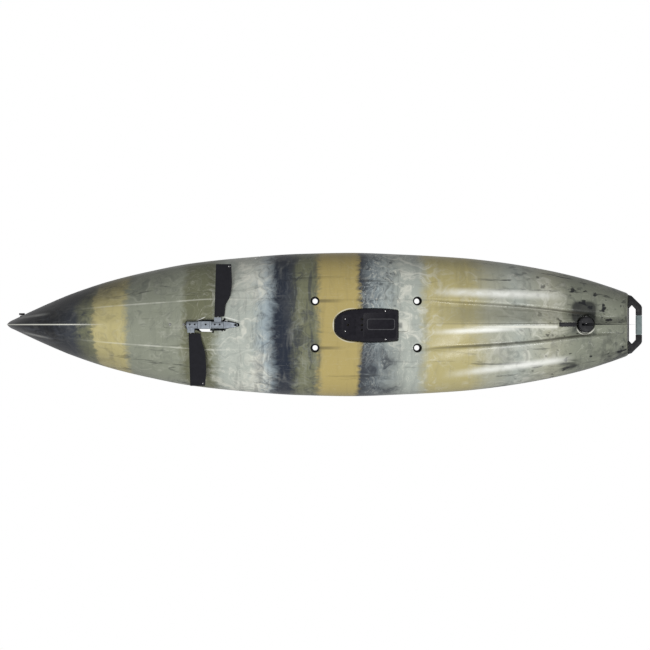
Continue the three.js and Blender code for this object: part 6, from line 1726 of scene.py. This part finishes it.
BEVELS = {
    0.0005: ("shield_pin", "rudder_pin", "bow_hatch_pin"),
    0.0006: (
        "gear_rail_port", "gear_rail_starboard", "shield_screw_1", "shield_screw_2",
        "shield_screw_3", "shield_screw_4", "front_fin_screw", "rear_fin_screw", "tail_bush",
        "front_mast", "rear_mast", "left_spindle", "right_spindle",
    ),
    0.0008: (
        "stern_bolt_port", "stern_bolt_starboard", "keel_screw_front", "keel_screw_rear",
        "bow_hatch_seal", "fin_axle", "crank_shaft",
    ),
    0.001: (
        "drive_spine", "skid_plate", "bow_toggle_bracket", "drain_plug", "drive_buffer_port",
        "drive_buffer_starboard", "rudder_blade",
    ),
    0.0012: (
        "bow_hatch_latch_port", "bow_hatch_latch_starboard", "round_hatch_ring",
        "drive_latch_front", "drive_latch_rear", "steering_lever", "rod_holder_port",
        "rod_holder_starboard",
    ),
    0.0015: (
        "left_crank", "right_crank", "bow_toggle", "seat_frame", "seat_back_frame",
        "side_handle_port", "side_handle_starboard", "rudder_turret", "stern_handle_grip",
        "left_pedal", "right_pedal", "round_hatch_lid",
    ),
    0.003: ("stern_handle",),
}
softened = {name: soften(name, bevel) for bevel, names in BEVELS.items() for name in names}
print("softened parts:", len(softened))

# %% [markdown]
# ### Three parts that differ from their CAD shape
#
# The picture shows the keel's screws wider and further aft, a rudder blade that thins towards its
# trailing edge, and a drive whose nose is capped with black plastic. Small moves of points do
# this.

# %% Keel screws, the blade's thin edge and the drive's nose
SCREW_WIDENING = 1.4
BLADE_THINS, BLADE_TIP = (1.61, 0.3), (1.75, 0.1)
NOSE_HEIGHT, NOSE_BACK, NOSE_FRONT, NOSE_CAP = 0.06, -0.8125, -0.8175, -0.8105
for name, x in KEEL_SCREWS.items():
    mesh = softened[name].data
    middle = sum((Vector(corner) for corner in softened[name].bound_box), Vector()) / 8
    wider = Matrix.Diagonal((SCREW_WIDENING, SCREW_WIDENING, 1, 1))
    mesh.transform(Matrix.Translation((x, 0, middle.z)) @ wider @ Matrix.Translation(-middle))

for point in softened["rudder_blade"].data.vertices:
    if point.co.x > BLADE_THINS[0]:
        point.co.y *= BLADE_THINS[1] if point.co.x < BLADE_TIP[0] else BLADE_TIP[1]

spine = softened["drive_spine"].data
spine.materials.append(fitting_black)
for point in spine.vertices:
    if point.co.z < NOSE_HEIGHT and point.co.x < NOSE_BACK:
        point.co.x = max(point.co.x, NOSE_FRONT)
for face in spine.polygons:
    if face.center.z < NOSE_HEIGHT and face.center.x < NOSE_CAP:
        face.material_index = 1
print("faces of the black nose:", sum(face.material_index for face in spine.polygons))

# %% [markdown]
# ## Fins
#
# Each fin is a flexible rubber foil on a steel mast: round and thick at its leading edge, thin at
# its trailing edge, narrow at the root and square at the tip. A row of sections along the mast
# makes it, dense enough that the edges stay round.

# %% Fin foil
FIN_ROOT, FIN_TIP, FIN_RAKE, FIN_CHORD = 0.05, 0.362, 0.008, 0.098
FIN_HALF_THICK, FIN_THINS = 0.006, 0.12
FIN_AXIS = Vector((0, 0.003, 0.022))
FIN_LIFT = math.radians(3)
FIN_FACE = (
    (0, 0.0), (0.02, 0.42), (0.06, 0.7), (0.13, 0.97), (0.2, 1.0), (0.4, 0.83), (0.7, 0.55),
    (0.97, 0.34), (1, 0.0),
)
# Share of the span, and how full the section is there
FIN_END = ((0.0, 0.82), (0.004, 0.96), (0.012, 1.0))
FIN_SECTIONS, CHORD_POINTS = 40, 22


def fin_foil(name, chord_points, mast_x, side, lead_ahead):
    chord_at = curve_through(chord_points)
    face = curve_through(FIN_FACE)
    across = (1 - np.cos(np.linspace(0, math.pi, CHORD_POINTS))) / 2
    root = [at for at, full in FIN_END]
    shares = root + list(np.linspace(0.03, 0.97, FIN_SECTIONS)) + [1 - at for at in root[::-1]]
    rings = []
    for share in shares:
        fullness = next((full for at, full in FIN_END if min(share, 1 - share) <= at + 1e-6), 1.0)
        y = FIN_ROOT + (FIN_TIP - FIN_ROOT) * share
        x = FIN_RAKE * share - lead_ahead + FIN_CHORD * float(chord_at(share)) * across
        z = FIN_HALF_THICK * (1 - FIN_THINS * share) * fullness * face(across)
        loop = np.concatenate([np.stack([x, z], 1), np.stack([x, -z], 1)[1:-1][::-1]])
        rings.append(np.stack([loop[:, 0], np.full(len(loop), y), loop[:, 1]], 1))
    piece = ring_solid(name, rings)
    mirror = Matrix.Diagonal((1, side, 1, 1))
    place = Matrix.Translation(Vector((mast_x, 0, 0)) + FIN_AXIS) @ Matrix.Rotation(side * FIN_LIFT, 4, "X")
    piece.data.transform(place @ mirror)
    if side < 0:
        piece.data.flip_normals()
    return piece


# %% Front and rear fin
FRONT_MAST_X, REAR_MAST_X = -0.787, -0.628
FRONT_CHORD = ((0, 0.7), (0.12, 0.76), (0.43, 0.99), (0.7, 1), (1, 0.9))
REAR_CHORD = ((0, 0.6), (0.2, 0.65), (0.4, 0.93), (0.62, 1), (1, 0.93))
front_foil = fin_foil("front_fin_foil", FRONT_CHORD, FRONT_MAST_X, 1, 0.014)
rear_foil = fin_foil("rear_fin_foil", REAR_CHORD, REAR_MAST_X, -1, 0.02)
show(front_foil, fin_rubber, "front_fin", body="front_fin_blade", slot="fin_rubber", sharp=50)
show(rear_foil, fin_rubber, "rear_fin", body="rear_fin_blade", slot="fin_rubber", sharp=50)
print("fin sections:", FIN_SECTIONS + 2 * len(FIN_END))

# %% [markdown]
# ## The shield over the transducer
#
# A flat black plate closes the pocket under the seat. Two shallow panels stiffen it, its screws
# sit in round sinks, and four drain holes go through it. It hangs on a pin at its nose. The
# plate is the pocket's own outline drawn in a little, so it can't be wider than its pocket.

# %% Shield plate
PLATE_LOW, PLATE_HIGH, PLATE_EDGE, PLATE_INSET = 0.001, 0.006, 0.0016, 0.0004
SHIELD_SCREWS = ((0.127, -0.032), (0.127, 0.039), (0.364, -0.079), (0.364, 0.089))
SHIELD_HOLES = ((0.143, 0.003), (0.227, -0.031), (0.227, 0.003), (0.226, 0.032))
SINK_RADIUS, SCREW_RADIUS, HOLE_RADIUS = 0.0062, 0.0045, 0.0068
PAST_BELOW, PAST_ABOVE = -0.001, 0.01
plate = slab("shield_cover", shield_outline(-PLATE_INSET), PLATE_LOW, PLATE_HIGH, PLATE_EDGE, turn_steps=4)
cuts = [
    slab("panel_front", rounded_box(0.082, 0.118, 0.012, (0.148, SHIELD_Y)), 0.0005, 0.0017, 0.0003),
    slab("panel_rear", rounded_box(0.19, 0.15, 0.016, (0.33, SHIELD_Y)), 0.0005, 0.0015, 0.0003),
]
for x, y in SHIELD_SCREWS:
    cuts.append(slab("screw_sink", round_outline(x, y, SINK_RADIUS, 24), PAST_BELOW, 0.0016, 0))
    cuts.append(slab("screw_way", round_outline(x, y, SCREW_RADIUS, 24), PAST_BELOW, PAST_ABOVE, 0))
for x, y in SHIELD_HOLES:
    cuts.append(slab("drain_way", round_outline(x, y, HOLE_RADIUS, 24), PAST_BELOW, PAST_ABOVE, 0))
combine(plate, cuts)

# %% Hinge and bare frame of the shield
KNUCKLE_SIZE, KNUCKLE_HEIGHT, KNUCKLE_HALF = (0.018, 0.0172), 0.0134, 0.03
FRAME_MIDDLE = (0.339, -0.0015)
knuckle_shape = rounded_box(*KNUCKLE_SIZE, 0.008, (SHIELD_PIN[0], KNUCKLE_HEIGHT))
knuckle = slab("knuckle", knuckle_shape, SHIELD_Y - KNUCKLE_HALF, SHIELD_Y + KNUCKLE_HALF, 0.001, "y")
combine(plate, knuckle, "UNION")
combine(plate, slab("pin_way", round_outline(*SHIELD_PIN, SHIELD_PIN_BORE, 12), -0.1, 0.1, 0, "y"))
show(plate, shield_black, "shield_plate", body="shield", slot="black_plastic")
badge = slab("badge_frame", rounded_box(0.166, 0.066, 0.016, FRAME_MIDDLE), 0.0007, 0.003, 0.0006)
combine(badge, slab("badge_room", rounded_box(0.158, 0.058, 0.012, FRAME_MIDDLE), -0.01, 0.01, 0))
show(badge, badge_grey, body="shield", slot="black_plastic")
print("shield:", len(SHIELD_SCREWS), "screw sinks and", len(SHIELD_HOLES), "drain holes")

# %% [markdown]
# ## Drums, screws and a dark sheet of the drive
#
# The fins' masts sit in two drums on one axle. Each drum is a casting with rolled edges, set
# screws sunk in its face, whose black stands for the shade in their holes, and fine ribs round its
# socket. A dark sheet closes most of the slot around the drive and stands for the shade inside it:
# painted shade. So the picture shows daylight only along one short arc.


# %% Body of a drum
DRUM_ROLL, DRUM_EDGE, DRUM_RADIUS, DRUM_WAIST = 0.0022, 0.0188, 0.021, 0.0202
# Share of the length, and the radius there, for the groove round its middle
DRUM_GROOVE = ((0.42, DRUM_RADIUS), (0.45, DRUM_WAIST), (0.55, DRUM_WAIST), (0.58, DRUM_RADIUS))
AROUND = 40


def drum_body(name, start, length):
    turn = quarter_turn(5)
    roll = [(DRUM_ROLL * (1 - math.cos(a)), DRUM_EDGE + DRUM_ROLL * math.sin(a)) for a in turn]
    levels = [(start + into, radius) for into, radius in roll]
    levels += [(start + length * share, radius) for share, radius in DRUM_GROOVE]
    levels += [(start + length - into, radius) for into, radius in roll[::-1]]
    around = np.linspace(0, 2 * math.pi, AROUND, endpoint=False)
    return ring_solid(name, [
        np.stack([np.full(AROUND, x), radius * np.cos(around), radius * np.sin(around)], 1)
        for x, radius in levels
    ])


# %% Socket and ribs of a drum
SOCKET_REACH, SOCKET_LENGTH, SOCKET_HEIGHT = 0.0455, 0.043, 0.017
RIB_COUNT, RIB_START, RIB_GAP, RIB_PITCH, RIB_DEPTH = 4, 0.0245, 0.0013, 0.005, 0.0007


def drum(name, mast_x, length, ahead, side):
    body = drum_body(name, mast_x - ahead, length)
    low, high = sorted((0.0, side * SOCKET_REACH))
    socket_shape = rounded_box(SOCKET_LENGTH, SOCKET_HEIGHT, 0.004, (mast_x, 0))
    combine(body, slab("socket", socket_shape, low, high, 0.0015, "y"), "UNION")
    outer = rounded_box(0.06, 0.03, 0.002, (mast_x, 0))
    inner = rounded_box(SOCKET_LENGTH - 2 * RIB_DEPTH, SOCKET_HEIGHT - 2 * RIB_DEPTH, 0.0034, (mast_x, 0))
    bands = []
    for rib in range(RIB_COUNT):
        first = RIB_START + RIB_PITCH * rib
        low, high = sorted((side * first, side * (first + RIB_GAP)))
        band = slab("rib_gap", outer, low, high, 0, "y")
        combine(band, slab("rib_core", inner, low - 0.001, high + 0.001, 0, "y"))
        bands.append(band)
    combine(body, bands)
    body.data.transform(Matrix.Translation(FIN_AXIS))
    return body


# %% Both drums, bored for the axle and their masts
DRUMS = (("front_drum", FRONT_MAST_X, 0.065, 0.025, 1), ("rear_drum", REAR_MAST_X, 0.069, 0.034, -1))
AXLE_BORE, MAST_BORE = 0.0063, 0.0043
for node, mast_x, length, ahead, side in DRUMS:
    shell = drum(node + "_casting", mast_x, length, ahead, side)
    axle_way = round_outline(FIN_AXIS[1], FIN_AXIS[2], AXLE_BORE, 20)
    combine(shell, slab("axle_way", axle_way, -0.9, -0.5, 0, "x"))
    combine(shell, slab("mast_way", round_outline(mast_x, FIN_AXIS[2], MAST_BORE, 16), -0.06, 0.06, 0, "y"))
    show(shell, drive_metal, node, body=BODY_OF[node], slot=SLOT_OF[node], sharp=40)
print("drums:", len(DRUMS))

# %% [markdown]
# ### Middle block, screws and studs
#
# Between the drums sits a flat block with two seams and a dark plug in its hole. Black set screws
# lie in the drums' faces. The plug and the screws are black to stand for the shade in their holes:
# painted shade. Rubber studs line the slot. They are a few pixels wide in the picture, so plain
# slabs with round edges are enough.

# %% Middle block between the drums
BLOCK_X, BLOCK_SIZE, PLUG_X, SEAMS = -0.7045, (0.083, 0.045), -0.698, (-0.726, -0.676)
block_shape = rounded_box(*BLOCK_SIZE, 0.005, (BLOCK_X, DRIVE_Y))
middle_block = slab("middle_block", block_shape, 0.0045, 0.03, 0.0035, turn_steps=4)
cuts = [slab("seam", rounded_box(0.0012, 0.05, 0.0002, (x, DRIVE_Y)), 0.0, 0.006, 0) for x in SEAMS]
cuts.append(slab("plug_sink", round_outline(PLUG_X, 0, 0.0058, 24), 0.0, 0.0075, 0))
combine(middle_block, cuts)
show(middle_block, drive_metal, body="boat", slot="drive_metal")
# A black plug fills the block's hole and stands for its shade: painted shade
show(slab("middle_hole_shade_plug", round_outline(PLUG_X, 0, 0.0056, 24), 0.0042, 0.012, 0.0006), fitting_black)
print("seams of the middle block:", len(SEAMS))

# %% Black set screws standing for the shade in their holes, and studs
SET_SCREW_SHADE_DISCS = {"front_drum": (-0.7915, -0.7625), "rear_drum": (-0.6437, -0.6147)}
for node, places in SET_SCREW_SHADE_DISCS.items():
    first, second = (round_outline(x, 0, 0.0052, 24) for x in places)
    screw_hole_discs = slab(node + "_screw_hole_shade_discs", first, 0.0004, 0.012, 0.0006)
    combine(screw_hole_discs, slab("second", second, 0.0004, 0.012, 0.0006), "UNION")
    show(screw_hole_discs, fitting_black, body=BODY_OF[node])

STUD_SINK, STUD_HEIGHT = 0.003, 0.016
STUDS = {
    "port": (-0.588, -0.0315, 0.0062), "starboard": (-0.588, 0.032, 0.0062),
    "daylight": (-0.657, 0.0445, 0.0062), "small": (-0.602, 0.0375, 0.004),
}
for name, (x, y, radius) in STUDS.items():
    low = float(bottom_height(x, abs(y))) - STUD_SINK
    stud = slab("slot_stud_" + name, round_outline(x, y, radius, 24), low, low + STUD_HEIGHT, 0.001)
    show(stud, seal_rubber, slot="seal_rubber")
print("studs:", len(STUDS))

# %% [markdown]
# ### Dark sleeves in the scuppers
#
# A thin dark tube lines each scupper and stands for the shade inside it: painted shade. Its
# outside is a stack of circles, and its core is the same stack a little smaller, cut out of it.

# %% Dark sleeves that put painted shade into the scuppers
SLEEVE_WALL, CORE_PAST = 0.0009, 0.002
# Radius and height of each circle
SLEEVE_LEVELS = ((0.0249, 0.0035), (0.0228, 0.014), (0.0192, 0.036), (0.0162, 0.07), (0.0162, 0.08))


def shade_sleeve(name, x, y):
    outside = [level(round_outline(x, y, radius), height) for radius, height in SLEEVE_LEVELS]
    inside = [level(round_outline(x, y, radius - SLEEVE_WALL), height) for radius, height in SLEEVE_LEVELS]
    inside[0][:, 2] -= CORE_PAST
    inside[-1][:, 2] += CORE_PAST
    return combine(ring_solid(name, outside), ring_solid("lining_core", inside))


for place, (x, y) in SCUPPERS.items():
    show(shade_sleeve("scupper_shade_sleeve_" + place, x, y), seal_rubber, slot="seal_rubber", sharp=60)
print("linings:", len(SCUPPERS))

# %% [markdown]
# ### Dark sheet round the drive
#
# A dark sheet stands for the shade inside the slot: painted shade. It is the slot's own outline,
# drawn in a little. One curved opening is cut from it, where the picture shows daylight past the
# drive.

# %% Dark sheet in the slot round the drive, standing for its shade
SHADE_SHEET_INSET, SHADE_SHEET_LOW, SHADE_SHEET_HIGH = 0.0015, 0.062, 0.066
shade_sheet = slab("slot_shade_sheet", grown(slot_outline, -SHADE_SHEET_INSET), SHADE_SHEET_LOW, SHADE_SHEET_HIGH, 0.001)
daylight = swung([(-0.742, 0.026), (-0.735, 0.05), (-0.69, 0.048), (-0.655, 0.046), (-0.653, 0.026)], 20)
combine(shade_sheet, slab("daylight_way", daylight, 0.05, 0.08, 0))
show(shade_sheet, seal_rubber, body="boat", slot="seal_rubber")
print("gasket:", len(shade_sheet.data.vertices), "points")

# %% [markdown]
# ## Bow hatch lid
#
# The lid is a pressed tray turned upside down: a skirt round the coaming, a rounded shoulder, a
# crowned top and a groove that stiffens it. Every level is the hatch's outline, wider or
# narrower, so the lid follows the opening all the way round.

# %% Lid of the bow hatch
LID_OUTSIDE = (
    (0.0205, -0.004), (0.021, -0.0034), (0.021, 0.0105), (0.0203, 0.013), (0.0175, 0.0176), (0.015, 0.0206),
    (0.01, 0.0236), (0.0025, 0.0272), (-0.004, 0.0293), (-0.009, 0.03),
)
bow_lid = hatch_rings("bow_lid_tray", LID_OUTSIDE)
coaming_room = hatch_rings("coaming_room", [(0.0175, -0.04), (0.0175, 0.0043)])
lid_hollow = hatch_rings("lid_hollow", [(-0.005, 0.0), (-0.005, 0.012), (-0.026, 0.025)])
groove = hatch_rings("lid_groove", [(-0.029, 0.0286), (-0.0284, 0.032)])
combine(groove, hatch_rings("groove_core", [(-0.0344, 0.02), (-0.0338, 0.033)]))
combine(bow_lid, [lid_hollow, groove])

# %% Hinge of the lid
KNUCKLE_REACH, ARM_LENGTH, ARM_HEIGHT, ARM_AFT = 0.024, 0.032, 0.008, 0.015
arm_shape = rounded_box(ARM_LENGTH, ARM_HEIGHT, 0.001, (HATCH_PIVOT[0] + ARM_AFT, HATCH_PIVOT[1]))
hinge = [
    hatch_slab("lid_knuckle", round_outline(*HATCH_PIVOT, HATCH_KNUCKLE, 24), KNUCKLE_REACH, 0.001),
    hatch_slab("lid_arm", arm_shape, KNUCKLE_REACH, 0.001),
]
combine(bow_lid, hinge, "UNION")
pin_way = hatch_slab("lid_pin_way", round_outline(*HATCH_PIVOT, HATCH_PIN_BORE, 16), 0.06, 0)
combine(bow_lid, [coaming_room, pin_way])
show(bow_lid, lid_black, "bow_hatch_lid", body="bow_lid", slot="lid_plastic")
print("bow lid:", len(bow_lid.data.vertices), "points")

# %% [markdown]
# ## Seat cushions
#
# A cushion is a cloth bag full of foam. It starts as a flat bag a little smaller than the real
# one. Cloth pressure fills it, so its crown and drawn-in sides come from the cloth itself. The
# quilted channels are pressed in afterwards, and a piping runs round its edge.

# %% A bag filled by cloth pressure
BAG_START, BAG_CORNER, BAG_THICK, CLOTH_FRAMES = 0.93, 0.034, 0.86, 20


def blown_bag(name, length, width, thick):
    small = BAG_START
    outline = rounded_box(length * small, width * small, BAG_CORNER, steps=8)
    bag = slab(name, outline, 0.004, thick * BAG_THICK, 0.012, turn_steps=5)
    fine = bag.modifiers.new("skin", "REMESH")
    fine.mode, fine.voxel_size = "VOXEL", 0.005
    cloth = bag.modifiers.new("cloth", "CLOTH")
    cloth.settings.use_pressure = True
    cloth.settings.uniform_pressure_force = 4
    cloth.settings.effector_weights.gravity = 0
    cloth.settings.tension_stiffness = 18
    cloth.point_cache.frame_end = CLOTH_FRAMES
    for step in range(1, CLOTH_FRAMES + 1):
        bpy.context.scene.frame_set(step)
        bpy.context.view_layer.update()
    bag.data = with_modifiers(bag)
    bpy.context.scene.frame_set(1)
    return bag


# %% Channels pressed into the bag
CHANNEL_REACH, CHANNEL_PRESS, CHANNEL_FADE, LOWEST = 0.007, 0.009, 0.03, 0.0006


def cushion(name, length, width, thick, channels):
    bag = blown_bag(name, length, width, thick)
    points = np.empty(len(bag.data.vertices) * 3)
    bag.data.vertices.foreach_get("co", points)
    points = points.reshape(-1, 3)
    low, high = points.min(0), points.max(0)
    points = (points - (low + high) / 2) / (high - low) * np.array([length, width, thick])
    points[:, 2] += thick / 2
    crown = np.clip(points[:, 2] / thick - 0.5, 0, 0.5) * 2
    for place in channels:
        press = np.exp(-(((points[:, 0] - place * length) / CHANNEL_REACH) ** 2))
        inside = np.clip((width / 2 - np.abs(points[:, 1])) / CHANNEL_FADE, 0, 1)
        points[:, 2] -= CHANNEL_PRESS * press * crown * inside
    points[:, 2] = np.maximum(points[:, 2], LOWEST)
    bag.data.vertices.foreach_set("co", points.ravel())
    bag.data.update()
    return bag


# %% Piping round a cushion
CORD_SIDES = 8


def piping(name, length, width, height, radius):
    loop = rounded_box(length, width, BAG_CORNER, steps=10)
    ahead, behind = np.roll(loop, -1, 0), np.roll(loop, 1, 0)
    along = (ahead - behind) / np.linalg.norm(ahead - behind, axis=1)[:, None]
    out = np.stack([along[:, 1], -along[:, 0]], 1)
    points, faces, count = [], [], len(loop)
    for k in range(count):
        for angle in np.linspace(0, 2 * math.pi, CORD_SIDES, endpoint=False):
            x, y = loop[k] + out[k] * radius * math.cos(angle)
            points.append((x, y, height + radius * math.sin(angle)))
        here, there = CORD_SIDES * k, CORD_SIDES * ((k + 1) % count)
        for j in range(CORD_SIDES):
            beside = (j + 1) % CORD_SIDES
            faces.append((here + j, here + beside, there + beside, there + j))
    return solid_from(name, points, faces)


# %% Both cushions
SEAT_PLACE = Matrix.Translation((0.25, 0, 0.1668))
BACK_PLACE = Matrix.Translation((0.426, 0, 0.262)) @ Matrix.Rotation(math.radians(14), 4, "Y")
BACK_PLACE = BACK_PLACE @ Matrix.Translation((-0.0103, 0, 0.166)) @ Matrix.Rotation(-math.pi / 2, 4, "Y")
CUSHIONS = (
    ("seat_cushion", "boat", SEAT_PLACE, 0.316, (-0.2, 0.2)),
    ("seat_back_cushion", "seat_back", BACK_PLACE, 0.28, (-0.26, 0.02, 0.28)),
)
COVER_WIDTH, COVER_THICK, COVER_FIT = 0.344, 0.0455, 0.002
PIPING_INSET, PIPING_HEIGHT, PIPING_RADIUS = 0.012, 0.0165, 0.0026
for node, body, place, length, channels in CUSHIONS:
    length -= COVER_FIT
    soft = cushion(node + "_cover", length, COVER_WIDTH, COVER_THICK, channels)
    soft.data.transform(place)
    show(soft, seat_weave, node, body=body, slot=SLOT_OF[node], sharp=70)
    edge_size = (length - PIPING_INSET, COVER_WIDTH - PIPING_INSET)
    edge = piping(node + "_piping", *edge_size, PIPING_HEIGHT, PIPING_RADIUS)
    edge.data.transform(place)
    show(edge, seal_rubber, body=body, slot=SLOT_OF[node], sharp=60)
print("cushions:", len(CUSHIONS))

# %% [markdown]
# ## The last finishes
#
# A few CAD nodes stay as they are and get the finish of their slot.

# %% Finishes of the CAD nodes that stay
for name, node in nodes.items():
    if name != "hull":
        for slot in node.material_slots:
            slot.material = FINISH_OF_SLOT[SLOT_OF[name]]
